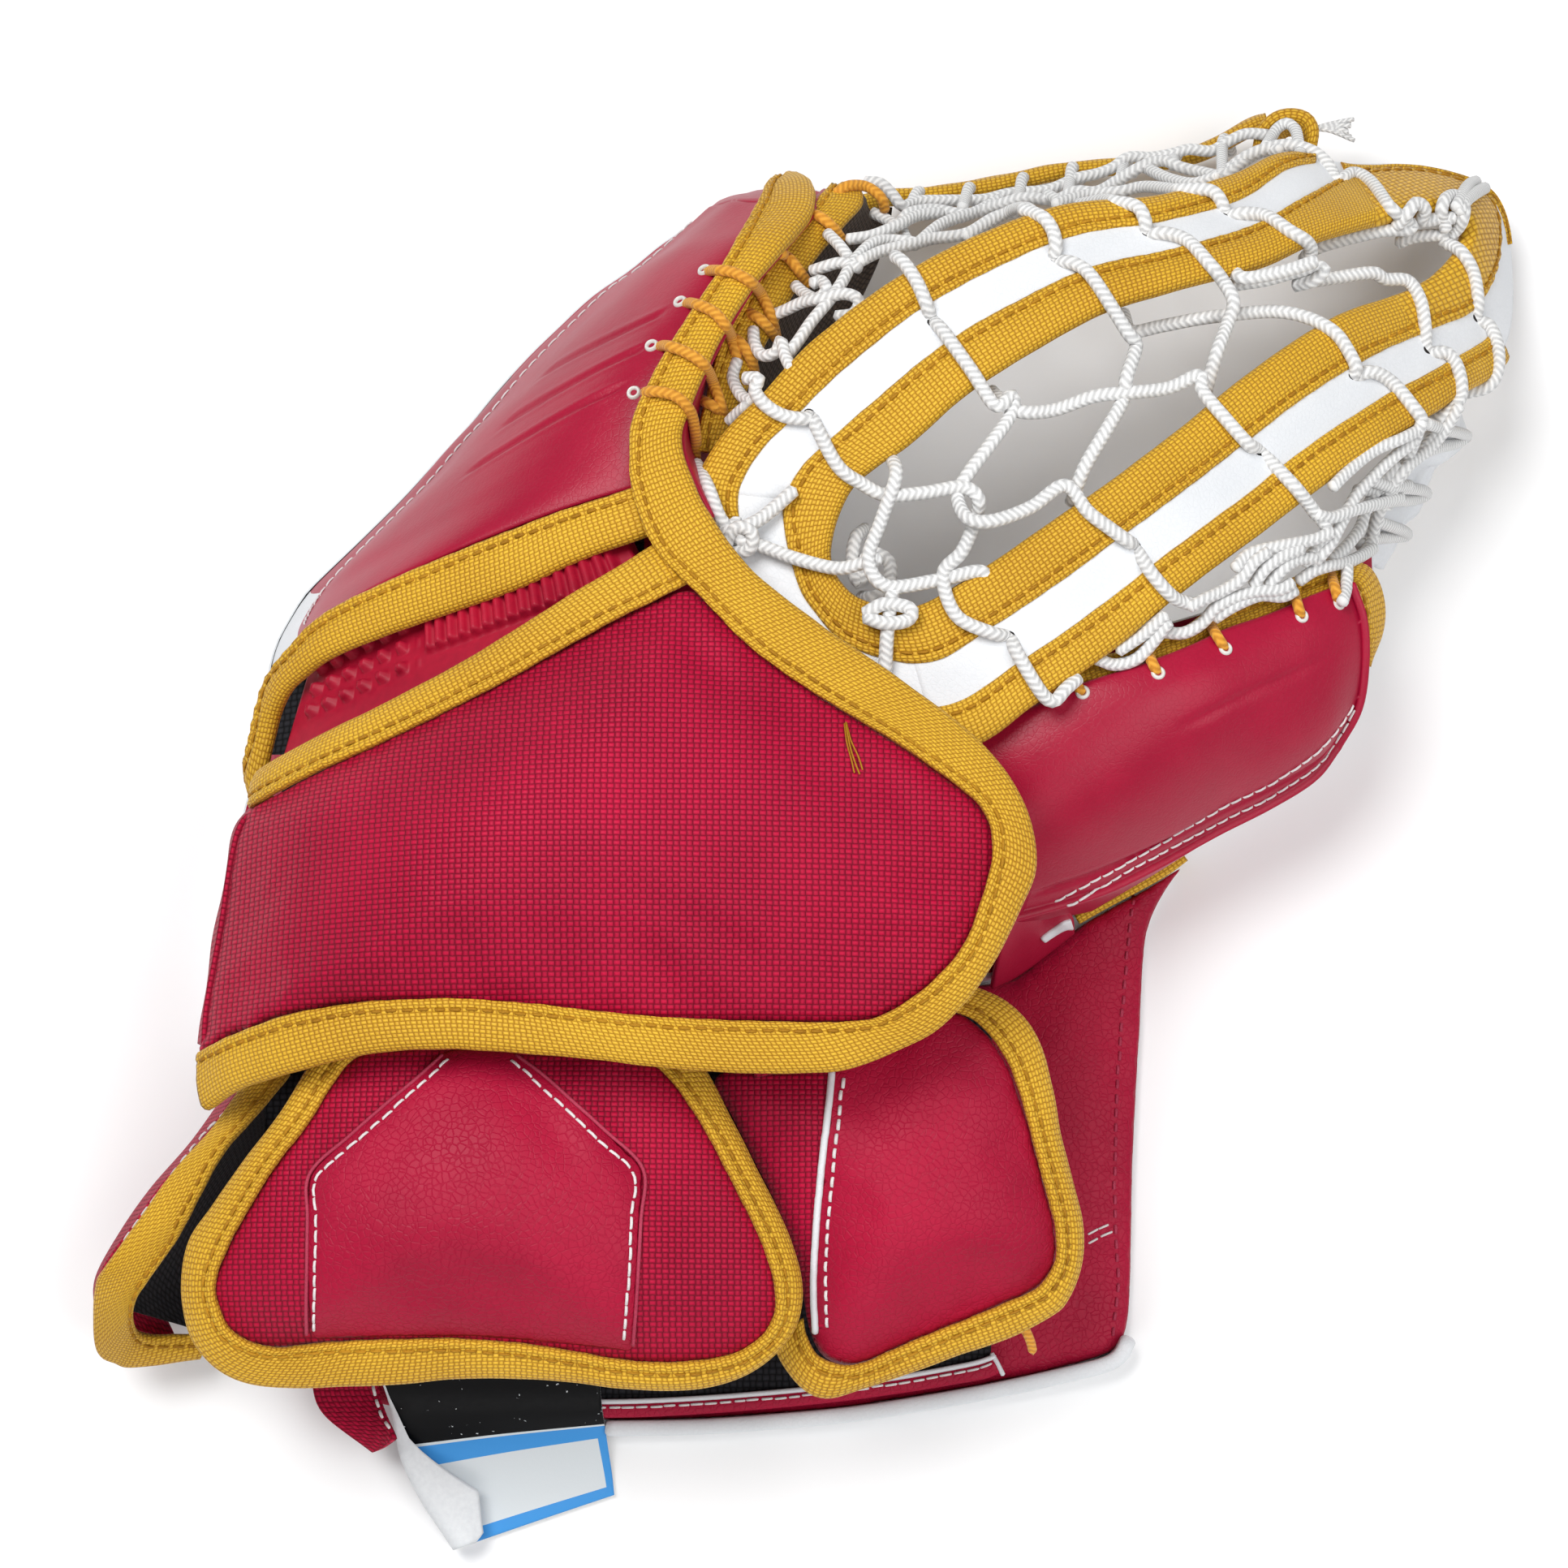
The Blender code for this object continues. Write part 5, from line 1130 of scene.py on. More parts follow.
left_x = lay(325, 1000, 58)[0]
V, F, ez, f, pin = soft_pad(PAD, (700, 1040, 107), 2.4, 2.4,
                            free=lambda r: ((r[:, 0] < left_x) & (r[:, 1] < lay(322, 1000, 60)[1])
                                            & (r[:, 1] > lay(253, 1285, 62)[1])).astype(float))
h = np.zeros(len(V))
for pts, wd, dp in (([(790, 1105), (870, 1140), (950, 1190), (1000, 1200)], 4.0, -1.5),
                    ([(820, 1090), (900, 1120), (985, 1170)], 5.0, 1.0),
                    ([(700, 1150), (780, 1175), (860, 1215)], 5.0, -0.9),
                    ([(1217, 1075), (1165, 1092), (1090, 1085)], 3.6, -1.6),
                    ([(1208, 1110), (1150, 1130), (1080, 1128)], 3.4, 1.1),
                    ([(1195, 1140), (1140, 1150), (1060, 1140)], 3.6, -1.5),
                    ([(1165, 1180), (1110, 1175), (1040, 1160)], 3.6, -1.2),
                    ([(838, 742), (862, 800), (905, 850)], 4.0, -1.3),
                    ([(852, 738), (900, 808), (960, 856)], 4.0, 0.9),
                    ([(900, 785), (950, 850), (1020, 890)], 4.5, -0.7),
                    ([(300, 1040), (420, 1010), (560, 960)], 9.0, -0.8),
                    ([(275, 1180), (400, 1170), (520, 1150)], 9.0, -0.7),
                    ([(330, 1200), (450, 1195), (600, 1205)], 6.0, 0.6)):
    h += crease(V, pts, 98, wd, dp)
h += 0.35 * np.sin(V[:, 0] * 130 + 1.0) * np.sin(V[:, 1] * 150 + 0.4) * (f < 0.95)
V[:, 2] += h * MM
under = np.minimum(ez - 8.5 * MM + (V[:, 2] - ez) * 0.55, V[:, 2] - 2.0 * MM)
hand = pad_piece("hand_pad_nylon", V, F, under, RED_NYLON, "palm", ["hand_pad"])

TOP_A = [(325, 957, 46), (333, 943, 58), (406, 903, 71), (483, 864, 79), (577, 813, 86), (646, 770, 89), (714, 727, 91),
         (765, 697, 92), (793, 679, 91.6), (824, 662, 89.8)]
TOP_B = [(317, 1000, 46), (322, 990, 60), (389, 955, 73), (500, 904, 83), (594, 857, 89), (680, 810, 92), (755, 768, 94),
         (800, 746, 94.5), (828, 732, 94.2), (858, 718, 91.8)]
tape("hand_pad_top_tape", TOP_A, TOP_B, "palm", ["hand_pad_top_binding"], seed=41)

a = along(L([(u, v - 8, z + 5) for u, v, z in RIB_B]), n=90)
b = along(L([(350, 992, 50), (440, 947, 66), (540, 895, 76), (640, 842, 83), (730, 787, 87), (808, 737, 88)]), n=90)
t = np.linspace(0, 1, 15)
rows = a[None] * (1 - t)[:, None, None] + b[None] * t[:, None, None]
g = Geo()
slab(g, rows, 0.5, -0.5, 0.2, 2)
emit("hand_pad_lining", g, BLACK, "palm")

# side wall under the pad's free edge
w0 = [(324, 994, 59), (299, 1014, 56), (286, 1057, 55), (273, 1143, 55), (256, 1237, 57), (252, 1288, 60)]
w1 = [(316, 992, 44), (294, 1022, 44), (282, 1070, 43), (270, 1143, 43), (254, 1237, 44), (250, 1286, 46)]
w2 = [(318, 992, 30), (299, 1026, 30), (288, 1075, 30), (280, 1146, 30), (268, 1230, 30), (266, 1286, 30)]
w3 = [(326, 992, 13), (308, 1032, 13), (299, 1080, 13), (295, 1150, 13), (293, 1220, 13), (293, 1286, 13)]
C = np.array([along(L(q), n=90) for q in (w0, w1, w2, w3)])
rows = np.array([crom(C[:, i], np.linspace(0, 3, 31)) for i in range(90)]).transpose(1, 0, 2)
rows[..., 0] -= (0.5 * np.sin(np.linspace(0, 14, 90)) * np.sin(np.linspace(0, 3.1, 31))[:, None]) * MM
g = Geo()
slab(g, rows, 0.8, -1.6, 0.3, 2)
emit("hand_side_nylon", g, RED_NYLON, "palm", ["hand_side_panel"])

# ---------------------------------------------------------------- cuff
CUFF_TOP = [(291, 1297, 0), (600, 1269, 0), (950, 1237, 0), (1225, 1213, 0), (1270, 1188, 0), (1304, 1160, 0),
            (1349, 1132, 0), (1378, 1116, 0), (1408, 1100, 0), (1436, 1083, 0), (1457, 1069, 0)]
CUFF_RIGHT = [(1457, 1069, 0), (1440, 1090, 0), (1422, 1122, 0), (1409, 1164, 0), (1402, 1280, 0), (1394, 1430, 0),
              (1391, 1580, 0), (1386, 1640, 0), (1374, 1664, 0)]
CUFF_BOTTOM = [(1374, 1664, 0), (1320, 1682, 0), (1210, 1706, 0), (1060, 1731, 0), (960, 1741, 0), (860, 1748, 0),
               (750, 1750, 0), (600, 1746, 0), (480, 1732, 0), (395, 1702, 0), (330, 1652, 0)]
CUFF_LEFT = [(330, 1652, 0), (296, 1560, 0), (284, 1450, 0), (286, 1350, 0), (291, 1297, 0)]


def joined(parts, step):
    return np.vstack([along(L(p), step=step)[:-1] for p in parts])


def edge_dist(V2, rim):
    """Plan distance (mm) to a closed rim."""
    return dist_to(V2, np.vstack([rim, rim[:1]]))[0]


rim = joined([CUFF_TOP, CUFF_RIGHT, CUFF_BOTTOM, CUFF_LEFT], 4.0)
V2, F, pin = fill(rim, 5.0)
d = edge_dist(V2, rim)
V = np.column_stack([V2, (2.9 - 0.9 * np.exp(-d / 1.2)) * MM])
pad_piece("cuff_face", V, F, np.where(d < 0.5, 0.0006, 0.0), WHITE, "palm", ["cuff_leather"])
d = edge_dist(V2, rim)
z = 5.2 + 1.7 * (1 - np.exp(-d / 1.5)) + 1.6 * ramp(d, 4, 26) + 0.25 * np.sin(V2[:, 0] * 160) * np.sin(V2[:, 1] * 140 + 1)
V = np.column_stack([V2, z * MM])
z_add = np.zeros(len(V))
for pts, wd, dp in (([(1398, 1092), (1391, 1150), (1384, 1230), (1377, 1330), (1373, 1450), (1374, 1510), (1377, 1580),
                      (1371, 1650)], 1.1, -1.9),
                    ([(1290, 1164), (1349, 1127), (1408, 1094), (1452, 1066)], 7.0, 3.5),
                    ([(1330, 1528), (1352, 1518), (1384, 1503)], 2.2, -1.2),
                    ([(1330, 1300), (1345, 1400), (1352, 1480)], 7.0, 0.9),
                    ([(1318, 1240), (1345, 1260), (1385, 1270)], 5.0, -0.6)):
    z_add += crease(V, pts, 7, wd, dp)
V[:, 2] += z_add * MM
cuff_red = pad_piece("cuff_panel", V, F, np.full(len(V), 3.0 * MM), RED_GRAIN, "palm", ["cuff_inner_leather"])
T_CUFF = applied(cuff_red)
K_RED = ("cuff_thread", "white", "palm", "white_leather")
for pts in ([(1334, 1525), (1354, 1514), (1374, 1506)], [(1336, 1535), (1356, 1524), (1375, 1516)]):
    p, m = on(T_CUFF, pts, 0.0, 1.2)
    sew(K_RED, p, m, 3.4, 3.1, 0.3)
p, m = on(T_CUFF, [(1397, 1098), (1391, 1150), (1384, 1230), (1377, 1330), (1373, 1450), (1374, 1510), (1377, 1580),
                   (1371, 1650)], 0.1, 1.2)
sew(("cuff_seam_thread", "red", "palm", "red_leather"), p, m, 3.6, 2.4, 0.4)

LINE = [[(310, 1318, 8), (760, 1278, 8), (1222, 1238, 8)], [(1222, 1238, 8), (1226, 1450, 8), (1222, 1676, 8)],
        [(1222, 1676, 8), (1060, 1704, 8), (900, 1722, 8), (700, 1728, 8), (480, 1706, 8), (360, 1650, 8)],
        [(360, 1650, 8), (312, 1480, 8), (310, 1318, 8)]]
rim = joined(LINE, 4.0)
V2, F, pin = fill(rim, 5.0)
d = edge_dist(V2, rim)
V = np.column_stack([V2, (9.0 + 0.5 * (1 - np.exp(-d / 1.5)) + 0.3 * np.sin(V2[:, 0] * 220) * np.sin(V2[:, 1] * 180)) * MM])
pad_piece("cuff_lining_cloth", V, F, np.full(len(V), 7.0 * MM), BLACK, "palm", ["cuff_lining"])
# sewn red strip along the lining's lower edge
a = [(1232, 1690, 9.5), (1200, 1700, 9.5), (1060, 1722, 9.5), (900, 1738, 9.5), (760, 1745, 9.5), (640, 1742, 9.5)]
b = [(1226, 1672, 9.5), (1190, 1684, 9.5), (1060, 1706, 9.5), (900, 1722, 9.5), (760, 1729, 9.5), (640, 1726, 9.5)]
A, B, ss, _ = matched(a, b, 1.5)
w = np.linspace(0, 1, 7)
P = A[:, None] * (1 - w)[None, :, None] + B[:, None] * w[None, :, None]
g = Geo()
slab(g, P, 0.7 + 0.4 * np.sin(np.pi * w)[None], -1.6, 0.4, 3)
strip = emit("cuff_hem", g, RED_GRAIN, "palm")
p = P[:, 4] + UP * 1.2 * MM
sew(K_RED, p, np.tile(UP, (len(p), 1)), 3.4, 3.0, 0.3)
g = Geo()
tube_geo(g, along(L([(1226, 1671, 10.4), (1190, 1682, 10.4), (1060, 1704, 10.4), (900, 1720, 10.4), (760, 1727, 10.4),
                     (640, 1724, 10.4)]), step=3.0), 0.65, 8, 1.5)
tube_geo(g, along(L([(1222, 1668, 10.2), (1229, 1680, 10.4), (1236, 1694, 10.0)]), step=1.0), 0.6, 8, 1.0)
emit("cuff_hem_piping", g, WHITE, "palm")

RIM_A = [(1390, 1652, 7.8), (1382, 1668, 7.9), (1366, 1680, 8), (1322, 1692, 8), (1211, 1716, 8), (1061, 1741, 8),
         (960, 1751, 8), (860, 1758, 8), (750, 1760, 8)]
top = along(L(RIM_A), step=1.5)
low = top.copy()
low[:, 2] = 0.6 * MM
s = lengths(top)
rows = []
for t in np.linspace(0, 1, 9):
    q = top * (1 - t) + low * t
    rows.append(q)
P = np.array(rows)
P[..., 2] += (0.25 * wob(s, 5))[None] * (1 - np.linspace(0, 1, 9))[:, None] * MM
g = Geo()
slab(g, P, 1.9, -1.9, 1.2, 8)
emit("cuff_rolled_edge", g, WHITE, "palm", ["cuff_edge_binding"])

WING = [[(302, 1340, 42), (257, 1402, 44), (207, 1458, 44), (168, 1512, 42), (130, 1566, 37), (122, 1604, 30)],
        [(282, 1350, 26), (238, 1412, 27), (190, 1470, 27), (154, 1524, 26), (128, 1580, 23), (130, 1622, 19)],
        [(276, 1362, 9), (250, 1430, 9), (225, 1492, 9), (204, 1552, 9), (196, 1606, 9), (214, 1652, 9)]]
C = np.array([along(L(q), n=80) for q in WING])
rows = np.array([crom(C[:, i], np.linspace(0, 2, 33)) for i in range(80)]).transpose(1, 0, 2)
g = Geo()
slab(g, rows, 1.1, -1.1, 0.6, 3)
wing = emit("cuff_wing_nylon", g, RED_NYLON, "palm", ["cuff_wing"])
a = [(u + 16, v + 3, z) for u, v, z in WING[0]]
b = [(322, 1400, 9.5), (300, 1450, 9.5), (282, 1505, 9.5), (266, 1560, 9.5), (258, 1610, 9.5), (276, 1648, 9.5)]
A, B = along(L(a), n=70), along(L(b), n=70)
t = np.linspace(0, 1, 21)
rows = A[None] * (1 - t)[:, None, None] + B[None] * t[:, None, None]
rows[..., 2] -= (5.0 * np.sin(np.pi * t) * MM)[:, None]
g = Geo()
slab(g, rows, 0.6, -0.6, 0.3, 2)
emit("cuff_wing_lining", g, BLACK, "palm")
WB_A = [(305, 1330, 49), (260, 1395, 52), (210, 1450, 52), (170, 1505, 50), (130, 1560, 46), (117, 1588, 40),
        (119, 1658, 24), (140, 1676, 19), (165, 1682, 16), (246, 1674, 14)]
WB_B = [(360, 1324, 51), (315, 1378, 54), (275, 1424, 55), (240, 1492, 53), (220, 1527, 51), (190, 1567, 47),
        (168, 1602, 41), (165, 1627, 31), (182, 1642, 23), (252, 1642, 16)]
tape("cuff_wing_tape", WB_A, WB_B, "palm", ["cuff_wing_binding"], seed=51, thick=4.2, wave=0.7)

TAB = [[(384, 1684, 11.0), (398, 1738, 12.0), (460, 1787, 13.5)], [(424, 1684, 11.0), (436, 1734, 12.5), (474, 1781, 16.0)],
       [(462, 1684, 11.0), (468, 1726, 13.0), (486, 1772, 19.0)]]
C = np.array([along(L(q), n=50) for q in TAB])
rows = np.array([crom(C[:, i], np.linspace(0, 2, 21)) for i in range(50)]).transpose(1, 0, 2)
g = Geo()
slab(g, rows, 0.8, -0.8, 0.5, 3)
tab = emit("cuff_corner_nylon", g, RED_NYLON, "palm", ["cuff_corner_tab"])
p, m = on(tree_of(tab), [(458, 1700), (464, 1725), (474, 1750), (484, 1766)], 0.1, 1.0)
sew(K_RED, p, m, 3.4, 2.6, 0.4)
p, m = on(tree_of(wing), [(300, 1348), (250, 1400), (200, 1464), (160, 1520), (132, 1566)], 0.1, 1.2)
sew(K_RED, p, m, 3.8, 2.8, 0.4)

# ---------------------------------------------------------------- thumb half
thumb = Coons([(1335, 1122, 4), (1400, 1083, 0), (1451, 1045, 0), (1510, 997, 0), (1580, 951, 0), (1632, 903, 2)],
              [(1062, 806, 52), (1190, 858, 50), (1330, 812, 44), (1500, 762, 34), (1680, 692, 18)],
              [(1335, 1122, 4), (1268, 1058, 20), (1190, 960, 36), (1062, 806, 52)],
              [(1632, 903, 2), (1660, 848, 5), (1680, 768, 10), (1680, 692, 18)])
P, _, _ = thumb.grid(64, 50)
P[..., 2] = np.maximum(P[..., 2], 0.0)
g = Geo()
slab(g, P, 11.9, 0.0, 1.2, 6, N=UP, mi=(1, 0, 0))
red_band(g, *P.shape[:2], 14, 14)
emit("thumb_leather", g, [WHITE, BLACK, RED_SHELL], "thumb", ["thumb_catch_leather", "thumb_foam"])
for a in (3, 5):
    ring = np.vstack([P[a, a:-a], P[a:-a, -a - 1], P[-a - 1, -a - 1:a - 1:-1], P[-a:a:-1, a]])
    sew(("thumb_seam_thread", "white", "thumb", "white_leather"), ring, np.tile(DOWN, (len(ring), 1)), 3.4, 2.5, 0.35)

TS_LOW = [(1215, 1134, 52), (1304, 1110, 48), (1363, 1091, 45), (1430, 1058, 43), (1497, 1021, 42), (1564, 987, 42),
          (1616, 954, 42), (1644, 918, 42)]
TS_HIGH = [(1120, 930, 69), (1195, 904, 72), (1262, 876, 75), (1329, 844, 77), (1396, 822, 77), (1463, 797, 75),
           (1513, 774, 72), (1564, 757, 69), (1614, 736, 66), (1660, 721, 62)]
TS_RIGHT = [(1644, 918, 42), (1669, 872, 48), (1677, 820, 54), (1675, 765, 59), (1660, 721, 62)]
tshell = Coons(TS_LOW, TS_HIGH, [(1215, 1134, 52), (1170, 1040, 64), (1120, 930, 69)], TS_RIGHT, crown=9.0)
P, U, V = tshell.grid(120, 80)
dent = 0.45 * np.sin(U * 12 + 1) * np.sin(V * 7 + U * 4) * ramp(V, 0, 0.15) * (1 - ramp(V, 0.85, 1))
dent -= 1.0 * np.exp(-((V - 0.62 - 0.1 * (U - 0.5)) / 0.03) ** 2) * ramp(U, 0.5, 0.6) * (1 - ramp(U, 0.8, 0.95)) * 0.5
lip = -0.9 * np.exp(-((V - 0.075) / 0.012) ** 2) * ramp(U, 0.1, 0.2)
g = Geo()
slab(g, P, dent + lip, -3.0, 0.8, 5)
# side wall from the shell down to the catching face, all round the outside
edge = np.vstack([P[0, 6:], P[1:, -1]])
rimline = np.vstack([along(thumb.e[0], n=300), along(thumb.e[3], n=200)])
near = np.array([rimline[np.argmin(((rimline[:, :2] - e[:2]) ** 2).sum(1))] for e in edge])
near = running(near, 4)
near[:, 2] += 11.2 * MM
out = unit(np.column_stack([(near - thumb.e[2].mean(0))[:, :2], np.zeros(len(near))]))
rows = [edge * (1 - t) + near * t + out * (0.4 * MM * math.sin(math.pi * t)) for t in np.linspace(0, 1, 13)]
slab(g, np.array(rows), 0.0, -2.0, 0.3, 2)
thumb_top = emit("thumb_shell_leather", g, RED_SHELL, "thumb", ["thumb_shell", "thumb_side_wall"])
T_THUMB = tree_of(thumb_top)
K_T = ("thumb_thread", "white", "thumb", "white_leather")
for pts in ([(1298, 1112), (1320, 1100), (1360, 1079), (1400, 1057), (1440, 1034), (1480, 1010), (1520, 988), (1560, 969),
             (1600, 944), (1620, 929), (1640, 909), (1655, 889), (1667, 868)],
            [(1312, 1116), (1326, 1112), (1360, 1091), (1400, 1067), (1440, 1046), (1480, 1025), (1520, 1004), (1560, 985),
             (1600, 960), (1620, 946), (1640, 924), (1658, 896), (1670, 874)]):
    p, m = on(T_THUMB, pts, 0.1, 1.2)
    sew(K_T, p, m, 3.3, 3.15, 0.34)

a = [(1326, 1132, 12), (1352, 1117, 11.5), (1378, 1103, 10.5), (1408, 1087, 10), (1436, 1071, 10), (1459, 1054, 10)]
b = [(1326, 1132, 4), (1352, 1117, 3.5), (1378, 1103, 2.5), (1408, 1087, 2), (1436, 1071, 2), (1459, 1054, 2)]
tape("thumb_outer_tape", a, b, "thumb", ["thumb_outer_binding"], seed=61, thick=3.2, inset=1.8)
TE_A = [(1312, 826, 71), (1336, 817, 70), (1390, 800, 69.5), (1425, 783, 68.5), (1458, 774, 67), (1486, 756, 65.5),
        (1532, 738, 63), (1572, 722, 60.5), (1616, 704, 58), (1654, 693, 55), (1684, 699, 51), (1701, 735, 46.5),
        (1700, 775, 42.5), (1683, 818, 38.5)]
TE_B = [(1322, 850, 73.5), (1345, 844, 73.8), (1398, 827, 73.6), (1432, 814, 72.8), (1465, 802, 71.5), (1494, 788, 70),
        (1540, 770, 67.5), (1577, 757, 65), (1616, 741, 62.5), (1648, 731, 59.8), (1660, 731, 58.5), (1667, 752, 56),
        (1671, 785, 52.0), (1674, 820, 44.5)]
te = tape("thumb_edge_tape", TE_A, TE_B, "thumb", ["thumb_edge_binding"], seed=71, thick=3.4, inset=3.6, wave=1.2)
for k, (u, v) in enumerate([(1334, 853), (1427, 829), (1510, 799), (1604, 759), (1650, 743)], 1):
    p, m = hit(T_THUMB, u, v)
    ring_piece(f"thumb_ring_{k}", p, m, "thumb", f"thumb_eyelet_{k}", 0.75, 1.7, 0.6)
T_TE = tree_of(thumb_top, te)
g = Geo()
for pts in ([(1333, 853, -2.5), (1328, 846, 0.4), (1320, 836, 0.4), (1313, 826, -3)],
            [(1426, 829, -2.5), (1421, 819, 0.4), (1414, 805, 0.4), (1409, 795, -3)],
            [(1509, 799, -2.5), (1503, 789, 0.4), (1495, 776, 0.4), (1489, 765, -3)],
            [(1603, 759, -2.5), (1600, 749, 0.4), (1596, 735, 0.4), (1593, 725, -3)],
            [(1649, 743, -2.5), (1647, 732, 0.4), (1643, 718, 0.4), (1640, 707, -3)]):
    strand(g, T_TE, pts, 1.3, 30.0)
emit("thumb_edge_cord", g, ORANGE, "thumb", ["thumb_edge_lace"])

# soft gusset between thumb and cuff
q = Coons([(1222, 1216, 12), (1252, 1201, 9), (1288, 1175, 8.5), (1322, 1148, 10)],
          [(1246, 1118, 62), (1270, 1094, 54), (1290, 1100, 48), (1312, 1112, 42)],
          [(1222, 1216, 12), (1230, 1175, 40), (1246, 1118, 62)], [(1322, 1148, 10), (1320, 1130, 26), (1312, 1112, 42)])
P, U, V = q.grid(30, 30)
P[..., 2] += (1.2 * np.sin(U * 14 + V * 3) * np.sin(np.pi * V)) * MM
g = Geo()
slab(g, P, 0.7, -0.7, 0.3, 2)
gus = emit("thumb_gusset", g, RED_SHELL, "palm")
# the turned white edge that shows on the gusset
T_GUS = tree_of(gus)
a, na = on(T_GUS, [(1283, 1155), (1297, 1144), (1309, 1136), (1317, 1133)], 0.4)
b, nb_ = on(T_GUS, [(1286, 1158), (1300, 1149), (1312, 1143), (1320, 1143)], 0.4)
a, b = along(a, n=24), along(b, n=24)
w = np.linspace(0, 1, 9)
P = a[:, None] * (1 - w)[None, :, None] + b[:, None] * w[None, :, None]
g = Geo()
slab(g, P, 0.4 + 0.5 * np.sin(np.pi * w)[None], -0.7, 0.4, 3)
emit("crotch_edge", g, WHITE, "palm")

# ---------------------------------------------------------------- T web
WEB_IN = L([(1024, 678, 80), (1036, 630, 81), (1054, 598, 82), (1085, 573, 82.5), (1123, 547, 84),
            (1195, 484, 85.5), (1273, 434, 86), (1360, 386, 85), (1449, 357, 82), (1554, 328, 75),
            (1622, 297, 67), (1700, 272, 56), (1765, 258, 47), (1802, 272, 42), (1803, 298, 41), (1778, 328, 44),
            (1735, 357, 51), (1645, 390, 66), (1551, 450, 76), (1453, 528, 82), (1360, 598, 85), (1280, 653, 85),
            (1199, 708, 84), (1122, 749, 82), (1062, 738, 81), (1033, 712, 80)])
WEB_OUT = L([(905, 745, 78), (854, 624, 79), (882, 546, 80.5), (940, 484, 82), (1002, 419, 84),
             (1094, 349, 84.5), (1196, 294, 83.5), (1308, 254, 80), (1420, 244, 73), (1516, 218, 60),
             (1584, 191, 48), (1664, 208, 30), (1752, 212, 18), (1835, 242, 14), (1856, 322, 14), (1858, 440, 28),
             (1793, 492, 48), (1719, 539, 60), (1642, 590, 69), (1552, 659, 75), (1454, 732, 79), (1375, 799, 81),
             (1278, 866, 81), (1183, 924, 79), (1040, 900, 78), (950, 815, 78)])


def web(w):
    return WEB_IN * (1 - w) + WEB_OUT * w


W_IN, W_OUT = np.full(26, 0.39), np.full(26, 0.69)
W_IN[10:16] = 0.45, 0.80, 0.84, 0.80, 0.68, 0.46
W_OUT[10:12] = 0.80, 0.99
t_in = tape("t_inner_tape", web(0.0), web(W_IN[:, None]), "web", ["t_inner_binding"], thick=5.0, closed=True, seed=81,
            plan=(0.405, 0.60))
t_out = tape("t_outer_tape", web(1.0), web(W_OUT[:, None]), "web", ["t_outer_binding"], thick=5.0, closed=True, t0=0.8, t1=10.35,
             seed=91)
t_out2 = tape("t_outer_tape_low", web(1.0), web(W_OUT[:, None]), "web", thick=5.0, closed=True, t0=15.1, t1=23.9, seed=92)
W_END = np.full(26, 0.8)
W_END[11:15] = 0.82, 0.85, 0.86, 0.93
t_end = tape("t_end_tape", web(1.0), web((W_END - 0.02)[:, None]), "web", thick=4.0, closed=True, t0=10.8, t1=13.8, seed=93,
             inset=1.8)


def web_sheet(g, w0, w1, t0, t1, up, down):
    A, B, ss, _ = matched(web(w0), web(w1), 1.5, True, t0, t1)
    w = np.linspace(0, 1, 21)
    P = A[:, None] * (1 - w)[None, :, None] + B[:, None] * w[None, :, None]
    slab(g, P, up, down, 0.5, 3)
    return P


g = Geo()
wa, wb = W_IN - 0.06, np.full(26, 0.75)
wb[10:16] = 0.9, 1.0, 1.0, 1.0, 1.0, 0.88
web_sheet(g, wa[:, None], wb[:, None], 1.2, 23.2, 1.5, -1.6)
t_white = emit("t_strip", g, WHITE, "web", ["t_upper_stem", "t_crossbar", "t_lower_stem"])
g = Geo()
wb = np.full(26, 1.0)
wb[21:24] = 0.75, 0.75, 0.84
wb[1:3] = 0.9, 0.7
P = web_sheet(g, 0.33, wb[:, None], 22.2, 28.4, 1.35, -1.4)
t_foot = emit("t_base_leather", g, WHITE, "web", ["t_base"])
T_WEB = tree_of(t_in, t_out, t_out2, t_end, t_white, t_foot)

CROTCH, HEEL = lay(985, 760, 66), lay(1285, 1185, 8)
side = unit(np.array([(HEEL - CROTCH)[1], -(HEEL - CROTCH)[0], 0.0])) * 0.0045
t = np.linspace(0.06, 0.96, 40)[:, None]
mid = CROTCH * (1 - t) + HEEL * t + np.array([0, 0, -0.0025])
w = np.linspace(-1, 1, 9)
P = mid[:, None] + side[None, None] * w[None, :, None]
P[..., 2] -= (1.0 * (1 - w ** 2))[None] * MM
g = Geo()
slab(g, P, 0.8, -0.8, 0.4, 3)
c = side / np.linalg.norm(side)
m = (CROTCH + HEEL) / 2
emit("break_strip", g, WHITE, None, ["break_hinge"],
     blend=("palm", "web", tuple(m - c * 0.004), tuple(m + c * 0.004)))

# laces wrapped over the T and meshed across its middle
W1 = [(918, 466, -2), (935, 467), (930, 481), (943, 499), (965, 512), (990, 516), (1000, 513, -2.8), (1008, 530), (1033, 575),
      (1062, 596), (1092, 610)]
W2 = [(1102, 316, -3), (1114, 324), (1130, 348), (1142, 376), (1149, 394, -2.8), (1162, 408), (1196, 455), (1227, 500)]
W3 = [(1258, 258, -3), (1284, 267), (1297, 284), (1301, 304), (1300, 321, -2.8), (1322, 324), (1346, 342), (1389, 409)]
W4 = [(1368, 248, -3), (1400, 254), (1411, 272), (1413, 290, -2.8), (1432, 287), (1462, 296), (1490, 325), (1506, 345)]
W5 = [(1448, 234, -2), (1488, 234), (1503, 245), (1512, 265, -2.8), (1532, 263), (1560, 266), (1588, 284), (1614, 302)]
W6 = [(1503, 218, -2), (1538, 192), (1580, 179), (1614, 185), (1635, 201), (1648, 222, -2.8), (1668, 213), (1690, 225),
      (1710, 252), (1722, 264)]
